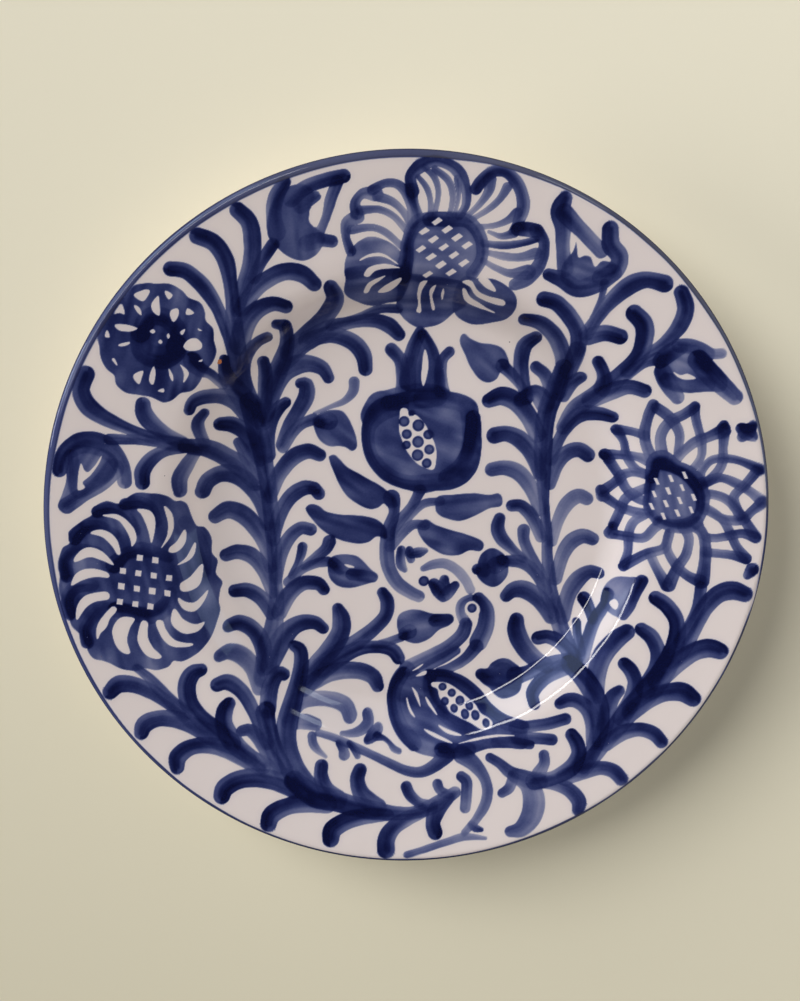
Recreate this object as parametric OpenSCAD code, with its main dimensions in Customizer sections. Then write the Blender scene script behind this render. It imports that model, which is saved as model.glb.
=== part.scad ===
// Hand painted ceramic plate: one fired clay disc with a foot ring, glazed all over,
// with blue motifs brushed on its face. Units are mm, +Z is up, the centre is on the Z axis
// and the foot ring stands on z = 0. +Y points at the large top flower, +X at the star flower.

/* [Plate] */
// Outside radius of the lip
plate_r = 150; // [149:0.1:151]
// Height of the crown of the lip above the table
plate_h = 34.4; // [34:0.1:35]
// Half thickness of the glazed lip
lip_r = 2.8; // [2.4:0.1:3.2]
// Thickness of the clear tin glaze, measured upright
glaze_t = 0.4; // [0.3:0.05:0.6]
// Thickness of a brushed mark
mark_t = 0.15; // [0.1:0.05:0.3]

/* [Foot ring] */
// Outside radius of the foot ring where it stands
foot_outer_r = 79.2; // [78:0.1:80]
// Inside radius of the foot ring where it stands
foot_inner_r = 73; // [72:0.1:74]

/* [Brush] */
// Straight steps between two brush points
brush_steps = 3; // [2:1:5]
// Straight steps between two points of a wash
wash_steps = 3; // [2:1:5]

/* [Motifs] */
// A mark is listed from its tip: [x, y, brush width]. A wash is a closed outline of [x, y].

// Large open flower at the top, with a hatched centre
top_flower_marks = [
  [ // washes
    [[14, 125.5], [23, 123], [29, 116], [30, 107], [26, 99], [15, 96.5], [3, 98], [-2, 106], [-1, 116],
     [5, 123.5]],
    [[27, 99], [35, 98.5], [41.5, 94.5], [44.3, 90], [43.5, 85], [40, 81.5], [34, 80], [28, 79.2],
     [23, 81], [19.5, 84.5], [19, 92], [22, 99]],
    [[-3, 100], [-4, 92], [-4.5, 86.5], [-1, 81.5], [4, 78.3], [9, 78.3], [14.5, 80.2], [19.5, 84.5],
     [24, 88], [24, 96], [14, 99]],
    [[-25, 103], [-25.5, 98.5], [-26, 93], [-22, 89.5], [-15, 87.3], [-8, 88.5], [-3, 90], [0, 97],
     [0, 103], [-12, 104]],
    [[-25, 99], [-26, 104], [-24, 110], [-19, 114.5], [-14, 115.7], [-7, 113], [-2.5, 108.5], [0, 103],
     [-8, 100], [-18, 99.5]]
  ],
  [ // strokes
    [[-3, 100, 7], [-1, 107, 5.5], [-0.5, 114, 5], [3, 121, 5.5], [8, 123, 5]],
    [[8, 122.5, 5], [16, 122.5, 5.5], [24, 121.5, 5], [29, 115, 5], [29.5, 107, 4.5], [26, 101, 5]],
    [[1.5, 133.5, 5], [0.5, 139, 4.5], [4, 143, 5.5], [10, 145.2, 4.5], [16, 143.5, 4.5], [20, 140, 5],
     [22.5, 134, 4], [22.5, 128, 3.5], [20, 124, 3]],
    [[1, 134, 5], [2, 129, 3.5], [4, 124, 3.5]],
    [[3.5, 139, 2], [7, 134.5, 2.6], [8.5, 129, 2.3], [8.3, 123, 2]],
    [[6, 142.5, 2], [10, 138.5, 2.6], [11.5, 132.5, 2.4], [10, 124, 2]],
    [[10, 142, 2.5], [15.5, 137.5, 3], [17.3, 131, 2.6], [16, 124, 2]],
    [[19, 138, 3], [19.6, 131, 1.8], [18, 124, 1.6]],
    [[26.5, 134.5, 5], [29, 138, 4.8], [33, 141, 4.6], [38, 141, 4.5], [42, 137.5, 5], [44.5, 133, 5],
     [45.5, 127.5, 5.5], [44, 122, 4.5], [42, 118, 4]],
    [[32, 138, 5], [31.5, 133.5, 4], [28, 128.5, 2.8], [23.5, 124, 2.2]],
    [[38.8, 135, 4], [36, 130.5, 3], [31, 126, 2.5], [25, 122.5, 2.2]],
    [[43, 125, 4], [39, 121.8, 3], [34, 120, 2.4], [28, 119.5, 2.2]],
    [[43.5, 118.5, 5], [47, 118.5, 6], [51, 118, 5.5]],
    [[51, 118, 5.5], [54, 114, 4.4], [54, 109, 5], [52, 103.5, 5.5], [48, 99, 6], [43, 96.5, 5]],
    [[42, 117, 4], [37, 115.8, 2.6], [32, 117.5, 1.6]],
    [[51, 114.5, 2.5], [45, 113, 3], [38, 112.2, 3.2], [30, 113, 2.6]],
    [[51, 109, 4.5], [44.5, 107.4, 3.6], [38, 107.8, 3.4], [31, 109.5, 2]],
    [[48, 101.5, 6], [41, 101, 3.6], [35.5, 103, 2.6], [30, 106, 2]],
    [[-23.5, 110, 4], [-25.3, 115.5, 3.4], [-25, 121, 4.5], [-20.5, 123.5, 5.5]],
    [[-21, 125, 5], [-21.5, 129, 4], [-18.5, 132.5, 4], [-13.5, 132.5, 6.2]],
    [[-14.5, 134, 4], [-10, 136.4, 3.4], [-5, 136.2, 3.6], [-1.5, 133, 4], [1, 127, 4], [1.5, 121, 4]],
    [[-23, 118.3, 3.6], [-15, 119.3, 3], [-9, 117, 3], [-2, 111, 2.8]],
    [[-19, 126, 3.6], [-12, 126.3, 3], [-6, 123.5, 3], [-1, 118, 2.8]],
    [[-12.5, 131.3, 4], [-7, 129.5, 3.4], [-2.5, 125.5, 3], [0.5, 120, 2.6]]
  ],
  [ // left white
    [[-19.7, 106.3], [-15.5, 108.7], [-10, 108.6], [-4.3, 104.6], [-10, 107.6], [-15.5, 107.7]],
    [[-18, 100.3], [-16, 103.4], [-10, 104.7], [-3.7, 103.2], [-10, 103], [-14, 101.8], [-16, 99.8]],
    [[-18, 93.3], [-16, 97], [-9.5, 100], [-11.5, 98.3], [-15, 95.7], [-16.5, 93.2]],
    [[-12.3, 93.3], [-8, 96.8], [-3, 99], [-4.8, 95.7], [-9, 93.2]],
    [[7.7, 97.8], [5, 97], [3.9, 92.5], [4.6, 88], [3.9, 85], [5.6, 84.8], [5.1, 90], [5.8, 94.5]],
    [[11.2, 96], [9, 93.5], [10.2, 86.2], [11.1, 86.2], [10, 91.5], [10.6, 94]],
    [[14.4, 94.5], [13.7, 92], [14.2, 89.8], [14.7, 92.5]],
    [[28.3, 98.8], [32, 98.8], [35.4, 93.8], [32, 95], [30, 96.5]],
    [[22, 97.5], [25.5, 97.7], [28.5, 93.5], [33, 91.3], [38.8, 89.8], [39, 87.7], [34, 88.8],
     [28, 91.7], [25, 95.5]],
    [[22.2, 94.3], [23.7, 89.6], [29, 86.8], [36, 84.4], [30.5, 87.7], [25.5, 91], [23.5, 94.3]]
  ],
  [],
  [ // hatching: first square, two steps, counts
    [4.8, 110.7], [5.2, 3.9], [4.1, -3.15], [-1, 3], [-1, 3],
    // centre, reach, size and turn
    [14, 111], 12.4, [3.6, 2], [34, -38]
  ]
];

// Scalloped flower at the upper left, with its stem
upper_left_flower_marks = [
  [ // washes
    [[-101, 97.3], [-96, 97.2], [-91, 94.6], [-88.5, 91.7], [-84, 89.6], [-82.2, 86], [-82, 82.5],
     [-79.3, 79], [-79, 74], [-78.2, 69.5], [-80, 65], [-83, 61.5], [-85.5, 57], [-88.5, 53.8],
     [-93, 52.8], [-96, 50.4], [-100, 49.2], [-105, 51.5], [-110, 52.5], [-115, 53.6], [-118.5, 57],
     [-119, 60.6], [-122, 63.5], [-124, 68], [-124.4, 73], [-125, 78], [-122.5, 82.5], [-119.5, 87],
     [-116, 90.5], [-113, 93.2], [-109.5, 96.6], [-105, 97.6]]
  ],
  [ // strokes
    [[-108, 77.5, 7], [-104, 84, 7], [-97, 83, 7], [-93, 77, 7], [-94, 71, 8]],
    [[-93.8, 72.5, 7.5], [-95, 69.5, 8], [-100, 67.5, 9], [-107, 70, 8], [-108.3, 77, 7]],
    [[-88, 66, 7], [-85, 62.3, 5.5], [-81, 60.3, 4.4], [-76.5, 55.5, 4]]
  ],
  [ // left white
    [[-117.9, 85.6], [-115, 89.3], [-113.8, 85.3], [-115.8, 85.8]],
    [[-109.7, 92.8], [-106, 94.8], [-103.8, 94.5], [-104.6, 92.4], [-106.6, 90.4]],
    [[-97.4, 94.3], [-94.9, 92.7], [-96.3, 91], [-97.3, 92.6]],
    [[-100.8, 92.1], [-103, 89.3], [-102.6, 86.3], [-100.4, 84.6], [-100, 88], [-100.2, 91.7]],
    [[-109.8, 88.6], [-108, 87.6], [-107.4, 84.9], [-109, 86.4]],
    [[-95.5, 86.6], [-93, 87.2], [-92.9, 84.6], [-94.8, 82.1], [-96, 84.5]],
    [[-89, 87.2], [-86.6, 85.4], [-89.5, 84.9]],
    [[-117.7, 81], [-113, 80.9], [-109.2, 79.5], [-112, 78.4], [-116.2, 78.9]],
    [[-121, 78.8], [-120.1, 76.2], [-121.8, 76.4]],
    [[-116.7, 73], [-112.6, 73.9], [-113.6, 72.9], [-116, 72.5]],
    [[-119.5, 67], [-117.8, 64.8], [-118.7, 67.3]],
    [[-91.2, 72], [-89.5, 74.2], [-86.5, 75.1], [-84, 73], [-84.4, 70.9], [-87, 70.1], [-90, 70.4]],
    [[-92.3, 77.7], [-90.5, 78.8], [-91.6, 76.7]],
    [[-85.3, 79.2], [-83.7, 78.3], [-84.8, 78.3]],
    [[-85.5, 65.8], [-84, 66.5], [-84.3, 65.6]],
    [[-111.3, 60.6], [-107.8, 62.2], [-108.4, 59.5], [-109.4, 56.9], [-111, 58.3]],
    [[-104.8, 61], [-103.3, 64], [-102.9, 61], [-104, 56.8], [-105.1, 58]],
    [[-97.4, 63], [-96, 60.3], [-96.1, 57.9], [-97.2, 60]],
    [[-92.8, 64.5], [-90.2, 62], [-89.9, 60], [-91.7, 57.3], [-91.3, 61]],
    [[-102.1, 53.9], [-100, 54.8], [-99.9, 53.4]],
    [[-104.3, 78.2], [-103, 79.1], [-102.2, 78.1], [-103.2, 77.4]],
    [[-97.6, 76.3], [-97, 77.3], [-96.5, 76.2], [-97.1, 75.3]],
    [[-101.1, 73.9], [-100.3, 74.7], [-99.7, 73.9], [-100.3, 73.2]]
  ],
  [],
  []
];

// Large whirling flower at the left, with a hatched centre
left_flower_marks = [
  [ // washes
    [[-117.2, 9], [-112.7, 11.7], [-107, 11.3], [-103.3, 10.9], [-100, 9.6], [-97.2, 7.2], [-95, 6.9],
     [-92.8, 5], [-91.3, 0.7], [-89.2, -4.8], [-86, -6], [-83.2, -11], [-83.2, -17], [-81, -20.7],
     [-81.6, -26], [-79, -30], [-80, -33.5], [-80.6, -38], [-80, -41.5], [-81.3, -46], [-83, -50.5],
     [-85.5, -54], [-89, -57.5], [-95, -60.5], [-99, -60.3], [-101, -62.5], [-106, -63.7],
     [-111, -62.7], [-115, -63.5], [-120, -62.5], [-124.5, -60], [-128, -58.5], [-131.5, -57.5],
     [-133.8, -54], [-134.5, -50.5], [-137, -46.5], [-140, -43], [-141, -38], [-143.3, -33],
     [-144.6, -28], [-143.9, -22], [-144.5, -17], [-142.7, -10.5], [-139.5, -8], [-139.7, -3.5],
     [-134.7, 0.6], [-130.2, 3.3], [-129.5, 6.2], [-124.5, 8.7], [-119.7, 7.5]]
  ],
  [ // strokes
    [[-122, -37, 6], [-116, -38.5, 6], [-109, -40.5, 6.5], [-102.5, -37.5, 7], [-99.5, -31.5, 4.5]],
    [[-141, -22, 5], [-141, -15.5, 5], [-136, -11.5, 5], [-129, -13, 5]],
    [[-137.5, -6.5, 5], [-133.5, -2.3, 5], [-127.5, -1.8, 4.5], [-122, -5.5, 4.5]],
    [[-128, 4.5, 5], [-122, 5, 4.6], [-116.5, 1.8, 4], [-113, -4, 4]],
    [[-117, 7.3, 4.6], [-111.5, 7.6, 5], [-106.5, 5, 4], [-104.5, -1, 3.6]],
    [[-140.8, -38, 5], [-141.5, -32, 5], [-138, -27, 5], [-131, -26.3, 4.6]],
    [[-134, -50.5, 5], [-134.5, -44.5, 4.6], [-130.5, -38.5, 4.6], [-125.5, -34.5, 3.6]],
    [[-86, -25, 4], [-86, -17, 4], [-89, -9, 4], [-94, -2, 4]],
    [[-122, -18, 7], [-117.5, -14, 5], [-111, -12.3, 6], [-105, -14, 4.5], [-100, -16.5, 3.5]]
  ],
  [ // left white
    [[-112, 4.8], [-107.5, 4.2], [-105.4, 1.5], [-105.2, -3], [-106.8, -9.5], [-107.8, -5],
     [-109.8, 1.5]],
    [[-126, 2.8], [-120.7, 3.1], [-116.4, 0.3], [-113.5, -4], [-113, -8], [-114.8, -10.9],
     [-115.2, -8], [-116.7, -4], [-120, 0.6]],
    [[-131, -4.4], [-127.3, -3.2], [-123, -4.8], [-120.5, -8.5], [-119.4, -13.4], [-120.8, -13.8],
     [-122.7, -10.3], [-126.5, -6.2]],
    [[-138, -16], [-135.8, -12], [-132, -10.4], [-127.8, -11.7], [-124.5, -14.7], [-122.4, -18.2],
     [-127.3, -15.9], [-132, -14.4]],
    [[-139.4, -26], [-138, -22], [-134.7, -19.9], [-130.5, -19.5], [-125.2, -21.2], [-124.7, -23.3],
     [-130, -22.8], [-135.3, -23.9]],
    [[-137.7, -40.5], [-137.4, -35], [-134.7, -31.2], [-130, -29.6], [-125.2, -29.6], [-124.8, -32.4],
     [-130, -33.2], [-134, -35.6]],
    [[-129.8, -49], [-129.9, -44.5], [-127.3, -40], [-123.3, -35.9], [-121.8, -37.4], [-124.7, -40.8],
     [-126, -44.2], [-128.5, -46.8]],
    [[-101.3, 5.4], [-98.6, 2], [-98, -2.5], [-99.3, -7.5], [-102.9, -11.9], [-100.4, -6.7],
     [-100, -1.3]],
    [[-93.8, -5.8], [-93.5, -10], [-95, -13], [-97.5, -14.5], [-100, -14], [-99.7, -12.2], [-96.7, -10]],
    [[-90, -12], [-90.2, -16.2], [-92.7, -19], [-96.7, -19.8], [-93.3, -17.3]],
    [[-87.2, -21.5], [-87.2, -26], [-88.8, -30], [-92.7, -31.4], [-95.4, -30.7], [-95.6, -27.9],
     [-92, -25.9]],
    [[-85, -32.6], [-86.5, -36.7], [-90, -39.8], [-94, -38.8], [-96.4, -35.3], [-96.4, -33.6],
     [-93.2, -36], [-89.3, -36.2]],
    [[-98.3, -38.2], [-99.5, -43.5], [-97.3, -47], [-94, -48.8], [-88.7, -48.1], [-86.2, -45.1],
     [-90, -45.4], [-94.7, -42.8]],
    [[-120, -40.7], [-114.6, -41.3], [-116.5, -45], [-118, -50], [-116.8, -55.8], [-120.3, -55],
     [-122.8, -51], [-123.4, -45.3]],
    [[-111.8, -43], [-109.3, -43.4], [-109.5, -49], [-107.5, -54], [-104, -58.2], [-107.5, -58.4],
     [-111.3, -55.5], [-113.3, -50]],
    [[-105.7, -43.3], [-103.3, -43], [-101.8, -47], [-98, -51.5], [-91, -53.5], [-95, -54.6],
     [-100.5, -53.2], [-104, -49]]
  ],
  [],
  [ // hatching: first square, two steps, counts
    [-112.5, -22.2], [6.2, -1.35], [-0.8, -6.5], [-1, 2], [-1, 2],
    // centre, reach, size and turn
    [-110.5, -27], 12.6, [2.6, 2.6], [-12, -97]
  ]
];

// Star flower of crossed loops at the right, with a hatched centre
right_flower_marks = [
  [ // washes
    [[105, 21], [113, 21], [120, 15], [121, 6], [117, -2], [109, -4], [102, 0], [100, 9], [101, 17]]
  ],
  [ // strokes
    [[101, 47.3, 4.6], [99, 42, 4.4], [98, 34.5, 4.4], [100, 27.5, 4.6], [104, 22, 6]],
    [[102.5, 46, 4.4], [108.5, 41.3, 4.6], [112, 35, 3.8], [111.5, 27.5, 3.4]],
    [[117.6, 46.8, 4.4], [113.5, 43.5, 4.4], [107.5, 40, 4.6], [104.5, 34, 4.4], [105.5, 26, 5]],
    [[117.6, 46.5, 4.2], [118.3, 41.5, 3.8], [121, 32, 3.8], [121, 25.5, 3.4], [117.5, 20, 3.2]],
    [[129.6, 39.3, 4], [129.5, 37, 6.5]],
    [[129.5, 37, 5.5], [124, 34.4, 4.5], [118.5, 32, 4.4], [114, 28, 4], [111, 24.5, 4.5]],
    [[130, 37.5, 4.8], [129.8, 30, 3.8], [130, 24.5, 4], [128, 19.5, 4], [122, 13.5, 4]],
    [[145.3, 20.8, 4.6], [138, 24, 3.6], [131.5, 25.3, 3.8], [125.5, 24.5, 3.6], [122, 20.5, 3.4],
     [120.5, 16, 5]],
    [[144, 20.8, 4.5], [139.5, 14.5, 4], [135, 9, 4], [137.5, 1.5, 4.6]],
    [[122, 14.5, 5], [129, 17, 3.8], [135.5, 15, 4], [141.5, 11.5, 4], [146.5, 7.5, 5]],
    [[146.5, 7, 5], [142.5, 3.3, 4], [138.5, -0.5, 4.4], [132, -0.5, 4], [126.5, 2, 3.6], [122.5, 4, 4]],
    [[144.5, -7.8, 4.6], [141, -2.5, 4.4], [137, 3, 4.2], [132, 8, 4], [126, 10, 4], [121, 9, 5]],
    [[144.5, -8, 4.6], [139, -6.3, 4], [133, -7.7, 3.8], [127, -8.6, 3.6], [123, -7, 3.6],
     [120.5, -2, 5]],
    [[141, -16.8, 4.6], [137, -12, 4], [134.5, -7, 4], [131.5, -1.5, 3.6], [127, 2.5, 3.6],
     [122.5, 4.5, 4]],
    [[141, -17.2, 4.4], [135, -15.6, 4], [129, -15, 3.8], [124, -14.5, 4]],
    [[123.4, -27, 6], [124.2, -20, 5], [124.3, -12, 4.8], [122.5, -6, 4.5], [118, -2.5, 6]],
    [[122.5, -27.3, 5.5], [117.5, -25, 4.2], [112.5, -20.5, 4.2], [109, -14, 3.6], [109.5, -7, 3.8]],
    [[110, -29.5, 5.4], [113, -22, 4.6], [116.5, -16, 4.2], [117.5, -9, 4], [115, -4, 4.5]],
    [[109, -29.5, 5], [105, -22.5, 4.2], [102, -16.5, 4]],
    [[91.6, -23.3, 3.6], [96.5, -19, 4], [101.5, -15.8, 4.2], [107.5, -13.3, 4.2], [109.5, -7, 4.2]],
    [[92, -22.5, 3.4], [93.6, -16, 3.2], [93.8, -9, 3.6], [95.5, -3.5, 3.4], [99.5, 0.5, 4]],
    [[88, -6.5, 3.4], [87, -9.5, 5.6]],
    [[88, -6, 4], [90.3, 0, 3.8], [92, 5.5, 3.8], [96, 9.5, 4], [101, 12.5, 4]],
    [[88.5, -10, 4], [93.5, -10, 3.8], [99.5, -9.5, 4], [103.5, -5, 4.2], [107, -2, 5]],
    [[82.5, 9, 4.5], [83.5, 6.8, 6]],
    [[83.5, 8.5, 5], [88, 12.5, 4], [91.5, 16.8, 4], [95.5, 18, 3.6], [101, 17, 4]],
    [[84, 6.3, 4.5], [89.5, 2.8, 4], [95, 1, 4.2], [101, 1, 4]],
    [[83.8, 24.5, 5], [85.5, 22.5, 4]],
    [[84.5, 24.5, 4.6], [90, 25, 4], [95.5, 25, 4], [100.5, 23.5, 5]],
    [[85.5, 22, 4.6], [89.3, 16.5, 4], [92.5, 10.5, 4], [97, 7, 4.4], [102, 5.5, 3]],
    [[87.5, 36, 4.6], [93, 35.7, 3.6], [98.5, 34, 3.8]],
    [[87.5, 35.5, 4.2], [90.3, 31, 3.2], [92, 24.5, 3.6], [95.5, 19.5, 3.8], [101, 17, 4]],
    [[101.5, 16.5, 4.5], [102.5, 23, 6], [106, 24, 8], [110.5, 21.5, 5.5], [115, 19.5, 6],
     [119.5, 15.5, 6.5], [122.5, 9.5, 5.5], [122, 2, 5], [118, -3, 6], [111, -4, 5.5], [105, -2, 4]],
    [[101.3, 16, 4], [100.8, 9, 3.6], [100.8, 3, 3.4], [104, -2, 3.4]]
  ],
  [],
  [],
  [ // hatching: first square, two steps, counts
    [108.5, 11], [5.6, 1.5], [-0.8, -5.4], [-1, 2], [-1, 2],
    // centre, reach, size and turn
    [110, 9], 10.6, [1.3, 3.1], [8, -66]
  ]
];

// Tulip near the lip at the upper left
upper_left_tulip_marks = [
  [ // washes
    [[-55, 127], [-50, 134], [-43, 136], [-38, 133], [-39, 127], [-40, 122], [-37, 118.5], [-34, 116],
     [-35, 111.5], [-38, 108], [-42.5, 106.2], [-48, 107.5], [-53, 111.5], [-56.5, 117]]
  ],
  [ // strokes
    [[-49.3, 137, 5], [-53, 131, 6], [-54, 124, 6], [-53, 117.5, 7]],
    [[-26, 139.3, 5.4], [-33, 137.8, 5.5], [-41, 135, 5.5], [-47, 130.5, 6]],
    [[-28.5, 137, 4.6], [-31, 131, 4.8], [-33.5, 124, 4.6], [-36, 117.5, 4.6]],
    [[-31, 113.8, 5], [-36, 114.3, 5.5], [-41, 113, 6]],
    [[-37, 131.5, 4], [-43, 128, 6]],
    [[-54.5, 112.5, 5], [-59, 106, 4.6], [-62.5, 99, 4]]
  ],
  [ // left white
    [[-33, 134], [-35.8, 133.2], [-34.6, 130.2], [-39.5, 126.2], [-38.5, 122], [-37.2, 119.6],
     [-35, 124], [-34, 129]]
  ],
  [],
  []
];

// Tulip near the lip at the left
left_tulip_marks = [
  [ // washes
    [[-137, 31], [-128, 31], [-120, 27], [-120.5, 20], [-127, 14.5], [-136, 10.5], [-139, 17]]
  ],
  [ // strokes
    [[-142.3, 22.2, 5.6], [-140, 29, 6.5], [-133.5, 33.3, 8.5], [-126, 32.5, 9], [-120, 27.5, 7.5],
     [-117, 21, 6], [-116.7, 16.6, 6]],
    [[-137.5, 28, 5], [-137.3, 18, 5], [-140.3, 7.5, 6.3]],
    [[-140, 7.3, 6.5], [-133, 12, 6], [-126, 16.5, 7], [-121, 22, 8]],
    [[-122, 34.5, 4.5], [-113, 34, 4], [-104, 33, 4.6], [-96, 31.5, 6]]
  ],
  [ // left white
    [[-133.8, 24.6], [-135.3, 17], [-135.2, 13.8], [-132.6, 14.8], [-133.4, 17], [-130.3, 19.8],
     [-127, 24], [-125.5, 27.6], [-128, 24], [-131, 21], [-132.8, 22.3]]
  ],
  [],
  []
];

// Tulip near the lip at the upper right
upper_right_tulip_marks = [
  [ // washes
    [[62, 104], [66, 110], [67, 113.5], [68, 107.5], [70.5, 108], [73, 107.5], [75, 103.8], [78, 106],
     [83, 104], [80, 97], [68, 95], [62, 98]]
  ],
  [ // strokes
    [[62, 130.8, 5.4], [60.3, 126, 8], [61.5, 119, 6.5], [61.8, 111, 5.5], [63, 103, 6.5]],
    [[62, 125, 7], [69, 118, 6], [77, 110, 6]],
    [[80.3, 118.6, 6.6], [81, 112.5, 7], [84.5, 107.5, 7], [83, 102, 7], [77.5, 99.5, 6.5]],
    [[56.5, 100.5, 4.8], [62, 98.5, 6.5], [68.5, 94.8, 7], [76, 97, 7.5], [82, 101, 7]],
    [[79, 97, 3.2], [78, 91, 2.4], [75.5, 85, 2], [72.8, 78.5, 1.6]]
  ],
  [],
  [],
  []
];

// Tulip near the lip at the right
right_tulip_marks = [
  [ // washes
    [[104, 70], [108, 73.7], [113, 75], [119, 73.5], [124, 70], [124, 65], [129, 60], [129, 54],
     [122, 53], [113, 52.8], [107, 54], [102.3, 58.5], [101, 64]]
  ],
  [ // strokes
    [[103, 65.5, 6], [107, 69.3, 7], [111, 71, 5]],
    [[110, 72, 5.5], [117, 71.3, 5.5], [123, 68.8, 4.6], [127, 68.8, 4.4]],
    [[118, 66, 8], [123.5, 60, 8.5], [129, 54.8, 7.5], [133.3, 51, 6.6]],
    [[104, 61, 7], [106.5, 56, 7], [110.5, 50.5, 5.6]],
    [[106, 57.5, 6], [114, 55.5, 6], [122, 56, 6]],
    [[101.5, 66.3, 5], [96, 64.2, 4], [90, 60, 5]]
  ],
  [ // left white
    [[108.4, 61], [111.3, 59.6], [114, 60.3], [117.3, 58.5], [113, 58.1], [110, 59.2]]
  ],
  [],
  []
];

// Spray of leaves that tops the left frond
upper_left_spray_marks = [
  [],
  [ // strokes
    [[-95, 103.2, 6], [-89, 102, 6.3], [-82.5, 96, 6.5], [-77.5, 88, 5.5], [-74, 78, 4.5],
     [-71.5, 67, 4.5], [-69.5, 57, 5]],
    [[-84, 116, 6.6], [-77.5, 113, 7], [-73.3, 106, 6.8], [-71.7, 96, 5.5], [-71, 86, 6],
     [-70.5, 75, 7], [-70, 64, 8], [-68.5, 54, 8]],
    [[-68, 126, 6.5], [-63.8, 121.5, 7], [-62.5, 114, 7], [-63.5, 105, 6.5], [-66.5, 96, 6],
     [-69.5, 87, 6]],
    [[-38.3, 96.8, 6], [-43, 100.8, 7], [-49.5, 101.8, 7], [-56.5, 99, 7], [-62.5, 94, 6.5],
     [-67.5, 87, 6]],
    [[-49.8, 87.6, 5.5], [-55, 88.8, 6], [-61, 86.5, 7], [-66, 81, 8], [-69, 72, 8]],
    [[-57.8, 75, 4.2], [-61.5, 73.2, 4.5], [-65, 69.5, 4.8], [-67.3, 64, 5], [-68, 57, 6],
     [-66, 49, 7], [-63, 41, 8]],
    [[-75.4, 66.5, 3.8], [-75.5, 62, 5], [-74, 57, 6.5], [-70.5, 51.5, 8], [-66.5, 45, 9]],
    [[-90, 45.5, 4.3], [-88.5, 48.8, 5], [-84, 50.7, 6], [-78, 50.5, 6.5], [-72, 48, 8], [-67, 43, 9]],
    [[-60, 64.3, 5], [-59.5, 60.5, 5.5], [-59.5, 55, 6], [-60, 48, 6], [-61, 41, 8]],
    [[-54, 80.3, 4], [-51.2, 79.8, 5]],
    [[-50.6, 79.5, 5.5], [-50, 76, 5.5], [-50.3, 71, 6], [-52.5, 64, 7.5], [-56, 56, 8], [-59, 47, 8],
     [-61, 40, 9]]
  ],
  [],
  [],
  []
];

// Leaves between the left frond and the top flower
inner_left_spray_marks = [
  [],
  [ // strokes
    [[-31.5, 95.3, 6], [-30, 90, 7.5], [-34.5, 82.5, 7.5], [-42, 75, 8], [-49, 68, 8]],
    [[-3.6, 75.2, 5.5], [-8, 79.3, 6.5], [-14, 81, 5.5], [-23, 80.3, 5], [-32, 78, 7], [-41, 73, 8]],
    [[-4, 86, 4], [-12, 85.8, 3.6], [-22, 82.3, 2.8], [-32, 79, 4]],
    [[-17.5, 61, 6], [-18.5, 67, 7], [-23, 72.3, 7], [-31, 75, 6.5], [-39, 73.5, 6.5], [-47, 68, 7],
     [-53, 61.5, 6]],
    [[-33, 57.3, 4.8], [-35.5, 61.2, 6], [-40.5, 63.2, 7], [-46, 62.7, 8], [-52, 59, 8],
     [-56.5, 51, 7.5], [-60, 42, 7]],
    [[-44.8, 55, 4.3], [-42.3, 54.3, 6], [-42.4, 49.5, 7], [-45.5, 43.5, 6.5], [-49.5, 37, 6],
     [-53, 29, 5]],
    [[-51, 47, 4.5], [-54, 44.5, 5.3], [-57, 40, 6], [-59, 33, 6.5], [-59, 25, 7]],
    [[-22.3, 55.5, 4.6], [-22.8, 51.5, 4.2], [-26.5, 47.5, 3], [-33, 44.8, 2], [-39, 42.3, 1.6]],
    [[-39.5, 39.8, 5], [-44, 38, 4.6], [-48, 34.3, 4.6], [-52.5, 28, 5]]
  ],
  [],
  [],
  []
];

// Leaves between the left frond and the left tulip
left_mid_spray_marks = [
  [],
  [ // strokes
    [[-130, 61.3, 7], [-132.3, 55, 7], [-130, 48.5, 7.5], [-124, 43.5, 6.5], [-116.5, 39.5, 5],
     [-108, 35.8, 4.5], [-100, 33, 5], [-92, 30.5, 6]],
    [[-108.3, 48.5, 6], [-108, 45, 7], [-105.5, 41, 7], [-100, 36.5, 5.5], [-94, 32, 6]],
    [[-109.7, 16, 6], [-109.3, 21, 6.6], [-105.5, 26, 6], [-100, 29, 5], [-93, 30.3, 6]],
    [[-95, 11, 5.2], [-95, 16.5, 6.5], [-92, 22, 6], [-88.5, 27, 4.6]],
    [[-84.3, 43.7, 3.8], [-87, 40, 5], [-86.6, 35.5, 5], [-84.8, 30.5, 4.5]],
    [[-92, 30.3, 6], [-85, 28.5, 7.5], [-78, 25, 8], [-71, 20.5, 8], [-64, 13, 7]],
    [[-71.3, 30.2, 4], [-68.8, 26, 5], [-65.5, 18.5, 5.5], [-61.5, 9, 5]],
    [[-78.2, 38.3, 5.8], [-73.5, 37.8, 6.8], [-69, 35.3, 7], [-65.5, 30.5, 7], [-62.5, 23, 6]]
  ],
  [],
  [],
  []
];

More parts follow.
